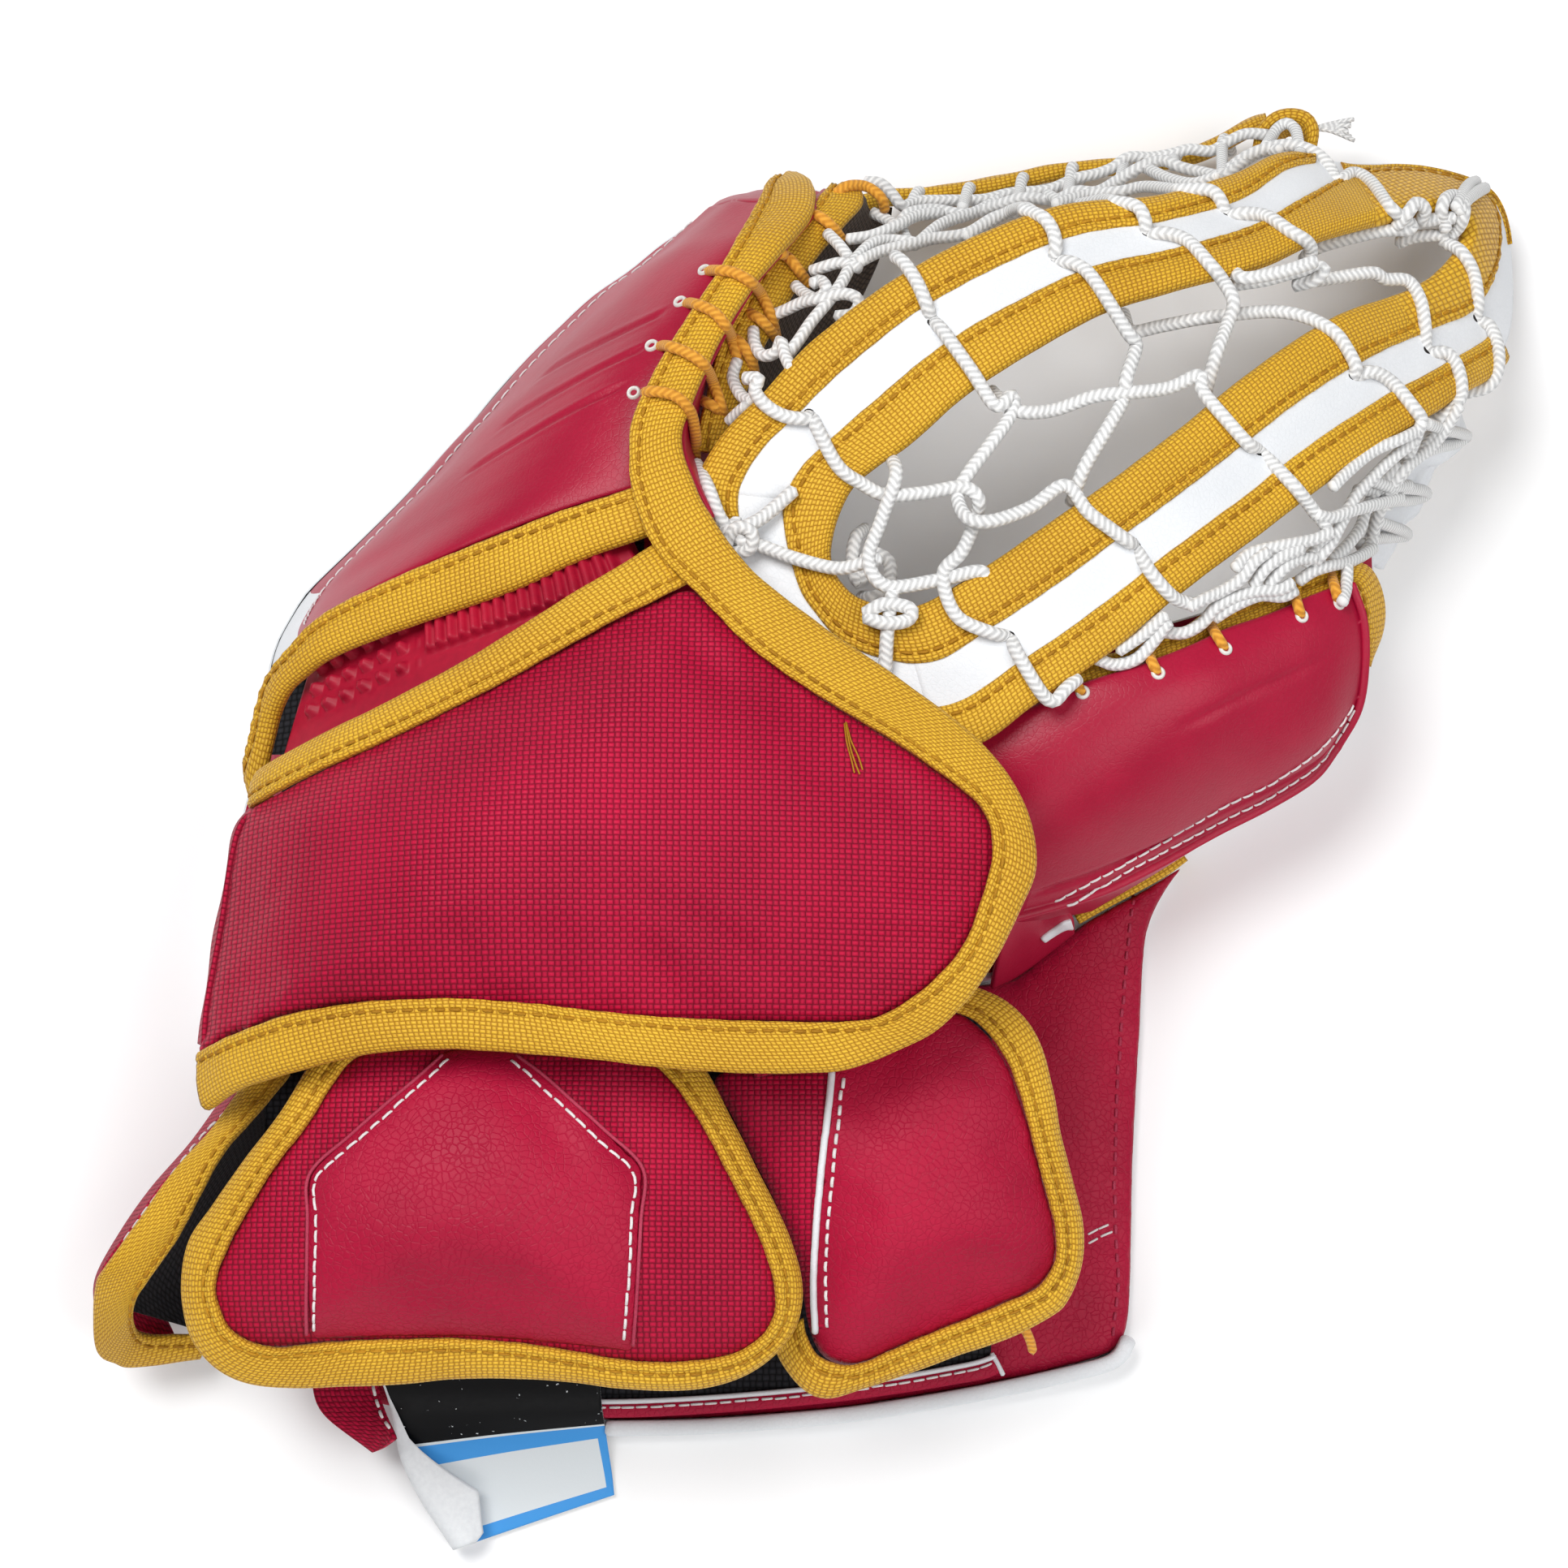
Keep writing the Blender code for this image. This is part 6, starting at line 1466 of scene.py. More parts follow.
V1 = [(1156, 713), (1178, 758), (1222, 780), (1243, 785, -2.8), (1254, 806), (1282, 852), (1298, 864), (1312, 850), (1328, 836, -2)]
V2_ = [(1318, 610), (1340, 630), (1366, 650), (1390, 667), (1398, 674, -2.8), (1420, 708), (1446, 736), (1467, 744, -1)]
V3 = [(1482, 482), (1510, 516), (1538, 547), (1553, 557, -2.8), (1590, 594), (1610, 618), (1622, 634, -2)]
V4 = [(1620, 395), (1645, 410), (1660, 430), (1671, 453), (1667, 465, -2.8), (1690, 458), (1715, 471), (1740, 500),
      (1752, 520), (1738, 538, -2)]
V5 = [(1706, 344), (1734, 346), (1750, 370), (1756, 402), (1759, 433, -2.8), (1783, 435), (1797, 455), (1800, 488),
      (1782, 510), (1762, 520, -2)]
V6 = [(1780, 298), (1800, 310), (1815, 335), (1821, 370), (1819, 395, -2.8), (1834, 400), (1845, 424), (1846, 454),
      (1834, 476), (1806, 484, -1)]
R = 1.65
g = Geo()
chains = [
    W1 + [(1140, 607, 1), (1185, 600, 2), (1206, 615, 2), (1200, 645, -2), (1185, 680), (1162, 708)] + V1[1:],
    W2 + [(1247, 486, -1), (1246, 510, -2), (1222, 545), (1192, 585, -1), (1180, 612, -2), (1192, 638, 1), (1222, 642, 2),
          (1270, 625), (1312, 598)] + V2_[1:],
    [(1222, 482, -5), (1240, 498, 1), (1262, 508, 2), (1300, 505), (1350, 488, 2), (1392, 484, 2), (1440, 478),
     (1478, 462)] + V3,
    W3 + [(1400, 425, -2), (1388, 465), (1384, 492, -2), (1366, 525), (1338, 572), (1326, 602, -2), (1320, 620, -5)],
    [(1384, 386, -5), (1394, 408, 1), (1430, 402), (1476, 393, 2), (1516, 388, 2), (1560, 384), (1590, 386)] + V4,
    W4 + [(1520, 372), (1512, 400, -2), (1500, 432), (1490, 466, -3), (1486, 482, -5)],
    [(1518, 330, -5), (1530, 342, 1), (1556, 340, 1), (1590, 332), (1620, 322, -2)],
    [(1514, 352, 1), (1560, 345, 1), (1600, 334, 0.5), (1632, 330, 1), (1620, 345, 1), (1595, 352, -2)],
    W5 + [(1612, 326, -1), (1602, 346, 1), (1640, 343, 1), (1690, 336)] + V5,
    W6 + [(1742, 282, -1), (1706, 284), (1650, 297), (1618, 308, -2), (1606, 320, -5)],
    [(1722, 300, 0.5), (1742, 292, 1), (1775, 290, 1)] + V6,
    [(1720, 280, 1), (1735, 262, 2), (1745, 250, 2), (1756, 258, 2), (1752, 272, 2), (1770, 270, 2), (1792, 268, 2)],
    [(1782, 284, 1), (1776, 262, 2), (1782, 244, 2), (1797, 242, 3), (1804, 256, 3), (1800, 276, 2), (1788, 290, 1)],
    [(1798, 262, 3), (1806, 248, 3.5), (1818, 238, 3), (1829, 232, 1)],
    [(1794, 256, 3.5), (1802, 240, 4), (1810, 228, 3), (1818, 224, 0.5)],
    [(1096, 560, -5), (1104, 585, 1), (1086, 640), (1070, 690, 1), (1092, 722, 1), (1150, 716), (1206, 704, -1),
     (1220, 716, -5)],
    [(1100, 728, 2), (1094, 770, 0.5), (1090, 830, 0.3), (1086, 870, -3)],
    [(1066, 652, -4), (1054, 664, 2), (1050, 700, 2), (1062, 720, 1), (1066, 690, 3), (1078, 682, 4), (1096, 694, 3),
     (1094, 724, 2), (1076, 736, 2), (1062, 736, -3)],
    [(1066, 756, 2), (1090, 744, 4), (1122, 750, 3), (1118, 764, 1), (1090, 768, 2), (1066, 760, 2)],
    [(905, 640, 1), (915, 668, 2.5), (936, 672, 2), (980, 688, 1), (1030, 700, 1), (1062, 694, 2), (1084, 688, 2)],
    [(880, 664, -2), (890, 655, 2), (915, 650, 3.5), (936, 640, 2), (955, 625, 1), (978, 604, 0.6)],
    [(900, 690, -2), (896, 668, 2), (908, 650, 4), (926, 656, 4), (924, 676, 3), (904, 682, 2)],
    [(858, 572, -6), (872, 600, 1), (888, 640, 2), (905, 655, 2)],
]
for c in chains:
    strand(g, T_WEB, c, R, 10.0)
emit("t_lacing", g, LACE, "web", ["t_centre_lace"])


# the punched holes that the laces dive through, drawn as dark discs: painted shade for the holes' depth
def hole(g, tree, u, v, r=1.35):
    h = hit(tree, u, v)
    if h is None:
        return
    c, z = h
    x = unit(np.cross(z, [0.3, 1.0, 0.1]))
    y = np.cross(z, x)
    a = np.arange(12) / 12 * 2 * np.pi
    rings = [[c + (x * math.cos(t) * f + y * math.sin(t) * f * 0.8) * (r * MM) + z * (d * MM) for t in a]
             for f, d in ((1.0, -0.3), (0.98, 0.05), (0.6, 0.12), (0.05, 0.13), (0.05, -0.3))]
    g.grid(np.array(rings), np.zeros((6, 13)), np.zeros((6, 13)), wr=True, wc=True)


g = Geo()
for u, v in ((997, 509), (1149, 397), (1300, 318), (1413, 287), (1512, 262), (1647, 219), (1244, 783), (1399, 672), (1552, 556),
             (1667, 463), (1759, 431), (1819, 392)):
    hole(g, T_WEB, u, v)
emit("t_hole_shade_discs", g, HOLE_SHADE, "web")


def ropes(g, runs, r=1.5):
    for q in runs:
        tube_geo(g, L(q), r, 10, 1.0)


g = Geo()
ropes(g, [
    [(1066, 224, 40), (1085, 226, 40), (1100, 240, 39), (1112, 254, 38), (1130, 248, 35), (1165, 247, 33), (1210, 246, 31),
     (1245, 238, 30), (1290, 234, 29), (1325, 220, 28), (1352, 214, 27), (1372, 206, 27), (1390, 194, 27), (1418, 194, 26),
     (1442, 190, 26), (1465, 184, 26), (1492, 186, 26), (1512, 175, 27), (1535, 165, 28), (1562, 166, 30)],
    [(1122, 258, 36), (1126, 244, 33), (1132, 236, 29), (1138, 244, 24), (1140, 252, 20)],
    [(1186, 256, 40), (1190, 244, 33), (1194, 231, 28), (1199, 238, 23), (1202, 246, 19)],
    [(1252, 248, 40), (1256, 238, 32), (1260, 219, 26), (1265, 226, 21), (1268, 236, 17)],
    [(1316, 240, 40), (1318, 226, 30), (1321, 206, 25), (1326, 214, 20), (1330, 224, 16)],
    [(1380, 224, 38), (1384, 208, 28), (1388, 199, 23), (1393, 206, 19), (1396, 214, 15)],
    [(1446, 204, 36), (1446, 196, 27), (1448, 190, 23), (1453, 197, 18), (1456, 206, 14)],
    [(1506, 214, 42), (1506, 184, 28), (1508, 171, 23), (1514, 178, 19), (1517, 188, 15)],
    [(1560, 180, 40), (1566, 170, 34), (1574, 158, 31), (1586, 152, 31), (1596, 160, 32), (1600, 176, 38), (1602, 190, 44)],
    [(1108, 282, 52), (1118, 264, 50), (1150, 258, 46), (1190, 264, 46), (1225, 254, 44), (1262, 244, 44), (1300, 246, 42),
     (1325, 236, 42), (1352, 236, 42), (1378, 222, 40), (1405, 206, 40), (1432, 198, 38), (1455, 206, 38), (1480, 212, 38),
     (1508, 216, 42), (1528, 202, 42), (1552, 188, 40), (1578, 184, 44)],
    [(1075, 262, 44), (1095, 272, 46), (1110, 282, 50), (1118, 296, 54), (1128, 302, 58)],
    [(1045, 295, 62), (1075, 290, 60), (1105, 278, 56), (1130, 266, 50), (1160, 262, 46)],
    [(1060, 322, 74), (1085, 310, 70), (1120, 302, 66), (1150, 294, 62), (1190, 288, 60), (1225, 268, 56), (1262, 258, 54)],
    [(1135, 300, 62), (1100, 296, 62), (1075, 300, 66), (1052, 322, 72), (1036, 350, 76), (1020, 372, 78), (1000, 396, 79),
     (985, 418, 80), (970, 438, 80)],
    [(1020, 288, 64), (1034, 302, 68), (1046, 318, 70)],
    [(1000, 334, 69), (1018, 328, 71), (1036, 324, 72), (1060, 330, 74)],
    [(980, 352, 69), (992, 362, 72), (1006, 368, 76), (1018, 358, 77), (1012, 346, 74), (1000, 350, 74)],
    [(948, 390, 70), (968, 382, 72), (990, 372, 75), (1012, 368, 78), (1040, 362, 79), (1058, 370, 80), (1052, 386, 80),
     (1030, 390, 80)],
    [(928, 406, 73), (930, 424, 75), (940, 438, 77), (956, 434, 79), (962, 420, 80), (968, 440, 82), (976, 456, 84)],
    [(908, 444, 74), (903, 466, 75), (914, 488, 78), (928, 494, 81)],
    [(898, 520, 76), (908, 510, 78), (920, 500, 81)],
    [(1190, 292, 62), (1240, 262, 58), (1262, 256, 70), (1272, 260, 80)],
    [(1290, 240, 42), (1320, 252, 52), (1360, 246, 64), (1376, 250, 72)],
    [(1300, 252, 58), (1340, 240, 52), (1380, 236, 54), (1410, 230, 54), (1452, 234, 68)],
    [(1130, 300, 62), (1160, 276, 54), (1200, 262, 46), (1232, 246, 40)],
    [(1410, 206, 38), (1440, 220, 48), (1470, 226, 56), (1500, 218, 60)],
])
emit("finger_side_lacing", g, LACE, None, ["finger_side_lace"],
     blend=("palm", "web", tuple(lay(960, 330, 72)), tuple(lay(1040, 380, 78))))
g = Geo()
ropes(g, [
    [(1352, 812, 80), (1374, 819, 78), (1400, 812, 78), (1420, 792, 79), (1440, 766, 81)],
    [(1378, 802, 80), (1408, 782, 80), (1436, 758, 82)],
    [(1428, 778, 77), (1458, 780, 76), (1482, 767, 76), (1496, 750, 77), (1520, 737, 76), (1546, 729, 75), (1576, 727, 73),
     (1592, 718, 72)],
    [(1466, 748, 81), (1484, 738, 80), (1506, 728, 78), (1528, 714, 78), (1546, 692, 78), (1562, 680, 77)],
    [(1496, 762, 75), (1520, 747, 75), (1552, 734, 73), (1580, 735, 71), (1596, 727, 70)],
    [(1522, 700, 79), (1540, 682, 77), (1580, 672, 75), (1618, 665, 72), (1640, 656, 70)],
    [(1544, 722, 75), (1560, 700, 76), (1582, 685, 75), (1604, 676, 73)],
    [(1562, 722, 73), (1580, 702, 74), (1598, 690, 72), (1620, 688, 69)],
    [(1600, 716, 68), (1618, 704, 67), (1640, 697, 64), (1668, 690, 56), (1692, 676, 46)],
    [(1618, 694, 68), (1638, 672, 68), (1654, 642, 66), (1670, 612, 64), (1690, 590, 62), (1712, 568, 60), (1742, 544, 58)],
    [(1622, 634, 73), (1640, 638, 70), (1664, 630, 66), (1694, 622, 58), (1726, 614, 46)],
    [(1660, 698, 60), (1659, 722, 62), (1654, 742, 66)],
    [(1642, 600, 72), (1662, 580, 69), (1692, 556, 65), (1726, 541, 62), (1748, 530, 58)],
    [(1690, 592, 61), (1714, 600, 52), (1736, 598, 42)],
    [(1798, 500, 52), (1776, 536, 48), (1752, 560, 50), (1730, 578, 54), (1712, 602, 52), (1698, 636, 48), (1690, 660, 44)],
    [(1622, 634, 72), (1636, 656, 69), (1622, 676, 68), (1606, 694, 69)],
    [(1752, 520, 60), (1740, 552, 54), (1722, 590, 50), (1708, 626, 48)],
    [(1672, 604, 60), (1700, 604, 52), (1730, 602, 40), (1752, 604, 28), (1757, 610, 20), (1740, 616, 28), (1714, 618, 42),
     (1694, 622, 52)],
    [(1758, 522, 56), (1782, 530, 44), (1800, 534, 30), (1807, 538, 20), (1794, 546, 24), (1770, 552, 38), (1748, 562, 46)],
    [(1690, 640, 46), (1712, 648, 36), (1729, 654, 24), (1733, 660, 16), (1716, 662, 24), (1696, 664, 36), (1676, 672, 44)],
    [(1666, 690, 54), (1682, 680, 46), (1692, 660, 44), (1698, 634, 46), (1712, 606, 50), (1736, 574, 50), (1764, 540, 48),
     (1790, 506, 46)],
    [(1640, 690, 62), (1660, 672, 58), (1676, 650, 54), (1684, 626, 54), (1700, 598, 54), (1722, 572, 54)],
], 1.5)
emit("thumb_side_lacing", g, LACE, None, ["thumb_side_lace"],
     blend=("web", "thumb", tuple(lay(1560, 680, 74)), tuple(lay(1600, 740, 66))))

RF_A = [(1038, 258, 36), (1068, 249, 33), (1102, 243, 30), (1153, 240, 28), (1229, 228, 26), (1304, 212, 24), (1388, 204, 22),
        (1472, 191, 21), (1540, 158, 24), (1562, 150, 28)]
RF_B = [(1038, 261, 22), (1068, 252, 14), (1102, 246, 6), (1153, 243, 3.5), (1229, 231, 3.5), (1304, 215, 3.5), (1388, 207, 3.5),
        (1472, 194, 4), (1540, 161, 9), (1562, 153, 15)]
tape("pocket_rim_tape", RF_A, RF_B, None, ["pocket_rim_finger"], thick=4.4, seed=101, stitch=False, wave=0.8,
     blend=("palm", "web", tuple(lay(1102, 243, 26)), tuple(lay(1250, 228, 22))))
RT_A = [(1784, 506, 38), (1777, 522, 38), (1764, 534, 38), (1750, 548, 37), (1738, 562, 37), (1729, 578, 36), (1719, 594, 36),
        (1709, 612, 35), (1701, 630, 35), (1695, 646, 34), (1687, 664, 33), (1678, 684, 32)]
RT_B = [(1796, 512, 17), (1804, 530, 16), (1796, 548, 15), (1780, 566, 14), (1762, 576, 14), (1752, 594, 13), (1752, 608, 13),
        (1741, 628, 12), (1730, 644, 12), (1726, 658, 11), (1712, 677, 11), (1700, 698, 11)]
A, B, ss, _ = matched(RT_A, RT_B, 1.2)
w = np.linspace(0, 1, 21)
P = A[:, None] * (1 - w)[None, :, None] + B[:, None] * w[None, :, None]
x = (ss / MM)[:, None]
fold = (0.9 * np.sin(x / 2.3 + 5.0 * w) * np.sin(x / 6.1) + 0.7 * np.sin(x / 4.2 - 4.0 * w + 1.0)
        - 1.1 * np.exp(-((w[None] - 0.8) / 0.06) ** 2) + 0.9 * np.exp(-((w[None] - 0.45 - 0.1 * np.sin(x / 5)) / 0.12) ** 2))
g = Geo()
slab(g, P, 1.2 + fold, -1.4, 0.8, 4)
rim_panel = emit("thumb_rim_panel", g, WHITE, None, ["pocket_rim_thumb"],
                 blend=("web", "thumb", tuple(lay(1790, 545, 20)), tuple(lay(1730, 680, 20))))

# the rolled end of the rim tape, and the frayed lace end beside it
EAR_A = [(1548, 186, 27), (1553, 160, 29), (1570, 142, 30), (1592, 137, 30), (1612, 143, 30), (1620, 160, 29), (1616, 182, 27)]
EAR_B = [(1566, 190, 17), (1572, 176, 19), (1582, 166, 20), (1592, 164, 20), (1601, 167, 20), (1605, 176, 19), (1604, 190, 17)]
tape("rim_ear_tape", EAR_A, EAR_B, "web", seed=105, thick=3.6, inset=1.8, wave=0.8, stitch=False)
g = Geo()
r0 = np.random.default_rng(17)
for k_ in range(9):
    a = (k_ - 4) / 4.0
    e = lay(1664 + r0.uniform(-4, 5), 160 + 11 * a + r0.uniform(-3, 3), 22 + r0.uniform(-2, 2))
    m_ = lay(1642, 157 + 5 * a, 24 + 0.5 * a)
    tube_geo(g, np.array([lay(1614, 162 + a, 26), lay(1626, 158 + 1.5 * a, 25), m_, e]), 0.75 - 0.12 * abs(a), 7, 0.8)
emit("lace_tail", g, LACE, "web")

# ---------------------------------------------------------------- wrist flap
FO = [(402, 1290, 70), (345, 1375, 69), (300, 1435, 67), (265, 1485, 64), (235, 1530, 61), (226, 1580, 58),
      (230, 1622, 55), (242, 1655, 53), (268, 1684, 52), (305, 1702, 52), (360, 1708, 53), (420, 1707, 55),
      (490, 1704, 57), (560, 1697, 58), (620, 1696, 59), (700, 1700, 59), (760, 1708, 59), (815, 1711, 58),
      (865, 1708, 57), (912, 1695, 56), (950, 1670, 57), (975, 1640, 58), (986, 1605, 60), (984, 1570, 62),
      (972, 1530, 64), (955, 1490, 66), (930, 1440, 68), (900, 1380, 69), (864, 1312, 71), (816, 1279, 71),
      (740, 1267, 72), (650, 1263, 72), (560, 1263, 72), (470, 1271, 71)]
FI = [(436, 1308, 72), (382, 1385, 73), (340, 1440, 72), (308, 1492, 70), (282, 1540, 67), (268, 1582, 64),
      (276, 1618, 61), (290, 1640, 59), (318, 1654, 59), (350, 1658, 59), (395, 1652, 61), (440, 1649, 62),
      (500, 1647, 64), (560, 1646, 65), (620, 1650, 65), (700, 1661, 65), (755, 1671, 64), (810, 1676, 63),
      (860, 1674, 62), (900, 1666, 61), (928, 1652, 62), (946, 1632, 63), (953, 1606, 65), (949, 1570, 68),
      (935, 1530, 70), (914, 1485, 72), (890, 1438, 73), (855, 1375, 74), (810, 1318, 74), (765, 1299, 75),
      (710, 1292, 75), (640, 1289, 75), (570, 1289, 75), (490, 1294, 74)]
flap_tape = tape("wrist_flap_tape", FO, FI, "wrist_flap", ["wrist_flap_binding"], closed=True, seed=111, thick=4.8, wave=0.5)
V, F, ez, f, pin = soft_pad(FI, (610, 1500, 82), 2.2, 1.5)
h = np.zeros(len(V))
for pts, wd, dp in (([(650, 1330), (690, 1390), (720, 1440)], 5.0, -1.6), ([(720, 1330), (770, 1400), (800, 1470)], 5.0, -1.6),
                    ([(690, 1330), (735, 1400), (765, 1440)], 5.0, 1.1), ([(810, 1400), (850, 1500), (860, 1600)], 6.0, -1.2),
                    ([(400, 1380), (360, 1460), (330, 1540)], 6.0, -1.0), ([(350, 1500), (335, 1580), (330, 1640)], 5.0, 0.8)):
    h += crease(V, pts, 76, wd, dp)
V[:, 2] += h * MM
under = np.minimum(ez - 8.0 * MM + (V[:, 2] - ez) * 0.55, V[:, 2] - 2.0 * MM)
flap = pad_piece("wrist_flap_nylon", V, F, under, RED_NYLON, "wrist_flap", ["wrist_flap"])
T_FLAP = applied(flap)
PATCH = [(376, 1650), (480, 1646), (580, 1646), (680, 1654), (780, 1666), (786, 1580), (790, 1500), (793, 1440),
         (745, 1394), (705, 1356), (668, 1324), (634, 1294), (548, 1294), (512, 1331), (476, 1361), (432, 1400), (382, 1446),
         (380, 1500), (378, 1580)]


def drop(tree, xy):
    p, _, _, _ = tree.ray_cast(Vector((xy[0], xy[1], 0.3)), Vector((0, 0, -1)))
    return p[2] if p is not None else np.nan


rim = along(L([(u, v, 74) for u, v in PATCH]), step=3.0, closed=True, smooth=False)
V2, F, pin = fill(rim, 3.0)
z = np.array([drop(T_FLAP, q) for q in V2])
z[np.isnan(z)] = np.nanmean(z)
d = edge_dist(V2, rim)
up = 0.5 + 1.5 * (1 - np.exp(-d / 0.7)) - 0.7 * np.exp(-((d - 2.4) / 0.9) ** 2) + 0.8 * ramp(d, 4, 20)
V = np.column_stack([V2, z + up * MM])
V[:, 2] += crease(V, [(470, 1420), (560, 1440), (660, 1430)], 76, 9, 0.5) * MM
patch = pad_piece("wrist_flap_leather", V, F, z + 0.1 * MM, RED_GRAIN, "wrist_flap", ["wrist_flap_patch"])
T_PATCH = applied(patch)
p, m = on(T_PATCH, [(386, 1642), (388, 1580), (390, 1500), (391, 1452), (443, 1404), (485, 1367), (519, 1336), (556, 1303)], 0.1, 1.0)
K_F = ("wrist_flap_patch_thread", "white", "wrist_flap", "white_leather")
sew(K_F, p, m, 3.5, 3.1, 0.38)
p, m = on(T_PATCH, [(626, 1303), (650, 1324), (697, 1367), (736, 1404), (780, 1446), (778, 1500), (774, 1580), (768, 1654)], 0.1, 1.0)
sew(K_F, p, m, 3.5, 3.1, 0.38)

g = Geo()
for q in ([(378, 1644), (379, 1580), (381, 1500), (383, 1447), (432, 1401), (476, 1362), (512, 1332), (548, 1300)],
          [(634, 1300), (668, 1325), (705, 1357), (745, 1395), (792, 1441), (789, 1500), (785, 1580), (780, 1658)]):
    p, m = on(T_FLAP, q, 0.75, 1.0)
    tube_geo(g, running(p, 2), 0.42, 8, 1.0)
emit("wrist_flap_cut_edge", g, TH_RED, "wrist_flap")

# ---------------------------------------------------------------- wrist pad
PO = [(1195, 1214, 63), (1240, 1235, 62), (1275, 1275, 61), (1295, 1340, 59), (1305, 1400, 57), (1320, 1460, 54),
      (1332, 1510, 52), (1330, 1560, 49), (1315, 1600, 47), (1295, 1620, 46), (1240, 1648, 45), (1180, 1668, 45),
      (1120, 1690, 45), (1060, 1710, 44), (1020, 1721, 44), (992, 1712, 44)]
PI = [(1170, 1247, 65), (1205, 1264, 65), (1235, 1302, 65), (1255, 1352, 64), (1270, 1406, 62), (1285, 1462, 60),
      (1297, 1512, 57), (1298, 1552, 54), (1283, 1578, 52), (1268, 1590, 51), (1225, 1608, 50), (1165, 1633, 50),
      (1105, 1658, 50), (1062, 1677, 49), (1035, 1678, 49), (1010, 1668, 49)]
PO2 = PO + [(965, 1680, 45), (950, 1650, 47)]
PI2 = PI + [(996, 1646, 50), (992, 1622, 51)]
tape("wrist_pad_tape", PO2, PI2, "wrist_pad", ["wrist_pad_binding"], seed=121, thick=4.8, wave=0.5)
WP = [(1168, 1251, 65), (1203, 1268, 65), (1232, 1305, 65), (1252, 1354, 64), (1267, 1408, 62), (1282, 1464, 60),
      (1294, 1514, 57), (1295, 1550, 54), (1280, 1575, 52), (1266, 1587, 51), (1224, 1605, 50), (1164, 1630, 50),
      (1104, 1655, 50), (1062, 1674, 49), (1036, 1674, 49), (1014, 1662, 49), (1001, 1630, 51), (995, 1590, 53),
      (990, 1555, 55), (977, 1515, 57), (960, 1475, 59), (935, 1428, 61), (905, 1370, 63), (884, 1332, 64),
      (905, 1322, 65), (965, 1322, 66), (1035, 1316, 66), (1090, 1295, 66), (1135, 1268, 66)]
V, F, ez, f, pin = soft_pad(WP, (1120, 1455, 69), 2.4, 1.5)
PIPE = [(1025, 1322), (1018, 1390), (1012, 1450), (1007, 1510), (1004, 1580), (1006, 1640)]
pl = along(L([(u, v, 62) for u, v in PIPE]), n=60)
h = np.zeros(len(V))
for k, v in enumerate((1370, 1400, 1425, 1450, 1480, 1510, 1545, 1580)):
    h += crease(V, [(1022, v), (1050 + 9 * (k % 3), v - 5), (1080 + 16 * (k % 2), v + 2)], 62, 2.6, -0.7)
h += crease(V, [(1060, 1660), (1150, 1600), (1250, 1560)], 60, 8, -0.8)
h += crease(V, PIPE, 62, 2.4, -1.2)
h += crease(V, [(1238, 1330), (1200, 1350), (1150, 1360)], 62, 5, 0.7)
V[:, 2] += h * MM
under = np.minimum(ez - 8.0 * MM + (V[:, 2] - ez) * 0.55, V[:, 2] - 2.0 * MM)
line_y, line_x = pl[::-1, 1], pl[::-1, 0]
wp = pad_piece("wrist_pad_cover", V, F, under, [RED_NYLON, RED_GRAIN], "wrist_pad", ["wrist_pad"],
               pick=lambda c: int(c[0] > np.interp(c[1], line_y, line_x)))
T_WP = applied(wp)
p, m = on(T_WP, PIPE, 0.5, 1.0)
g = Geo()
tube_geo(g, p, 0.85, 10, 0.8)
emit("wrist_pad_pipe", g, WHITE, "wrist_pad", ["wrist_pad_piping"])
p, m = on(T_WP, [(u + 14, v) for u, v in PIPE], 0.1, 1.0)
sew(("wrist_pad_thread", "white", "wrist_pad", "white_leather"), p, m, 3.4, 2.6, 0.45)

# ---------------------------------------------------------------- hang tag
k = Kit("tag_print", 0.55, 0.15)
u, v = k.uv()
wear = k.noise(700.0, 4.0)
white, blue, black = rgb(0xD6DCDF), rgb(0x4496DC), rgb(0x08080A)
col = k.mix(k.math("GREATER_THAN", v, 0.43), black, blue)
panel = k.math("MULTIPLY", k.math("GREATER_THAN", v, 0.55), k.math("LESS_THAN", v, 0.93))
panel = k.math("MULTIPLY", panel, k.math("LESS_THAN", u, 0.955))
col = k.mix(panel, col, white)
col = k.mix(k.math("MULTIPLY", k.math("GREATER_THAN", v, 0.415), k.math("LESS_THAN", v, 0.432)), col, white)
col = k.mix(k.math("MULTIPLY", k.math("GREATER_THAN", wear, 0.70), k.math("LESS_THAN", v, 0.43)), col, white)
TAG = k.out(col, k.math("ADD", 0.35, k.math("MULTIPLY", wear, 0.2)), k.bump(wear, 0.1, 0.0003))
PALE = plain("tag_back", rgb(0xDFE2E4), rgb(0xCBCED2), 0.6, 900.0, 0.1)
TAG_L = [(468, 1690, 15), (484, 1735, 12.6), (503, 1790, 5), (540, 1848, 1.2), (578, 1903, 1.2)]
TAG_M = [(603, 1690, 15), (613, 1735, 12.6), (626, 1783, 5), (648, 1832, 1.2), (668, 1872, 1.2)]
TAG_R = [(738, 1690, 15), (742, 1735, 12.6), (748, 1775, 5), (754, 1815, 1.2), (757, 1842, 1.2)]
C = np.array([along(L(q), n=61) for q in (TAG_L, TAG_M, TAG_R)])
P = np.array([crom(C[:, i], np.linspace(0, 2, 49)) for i in range(61)])
N = grid_normals(P)
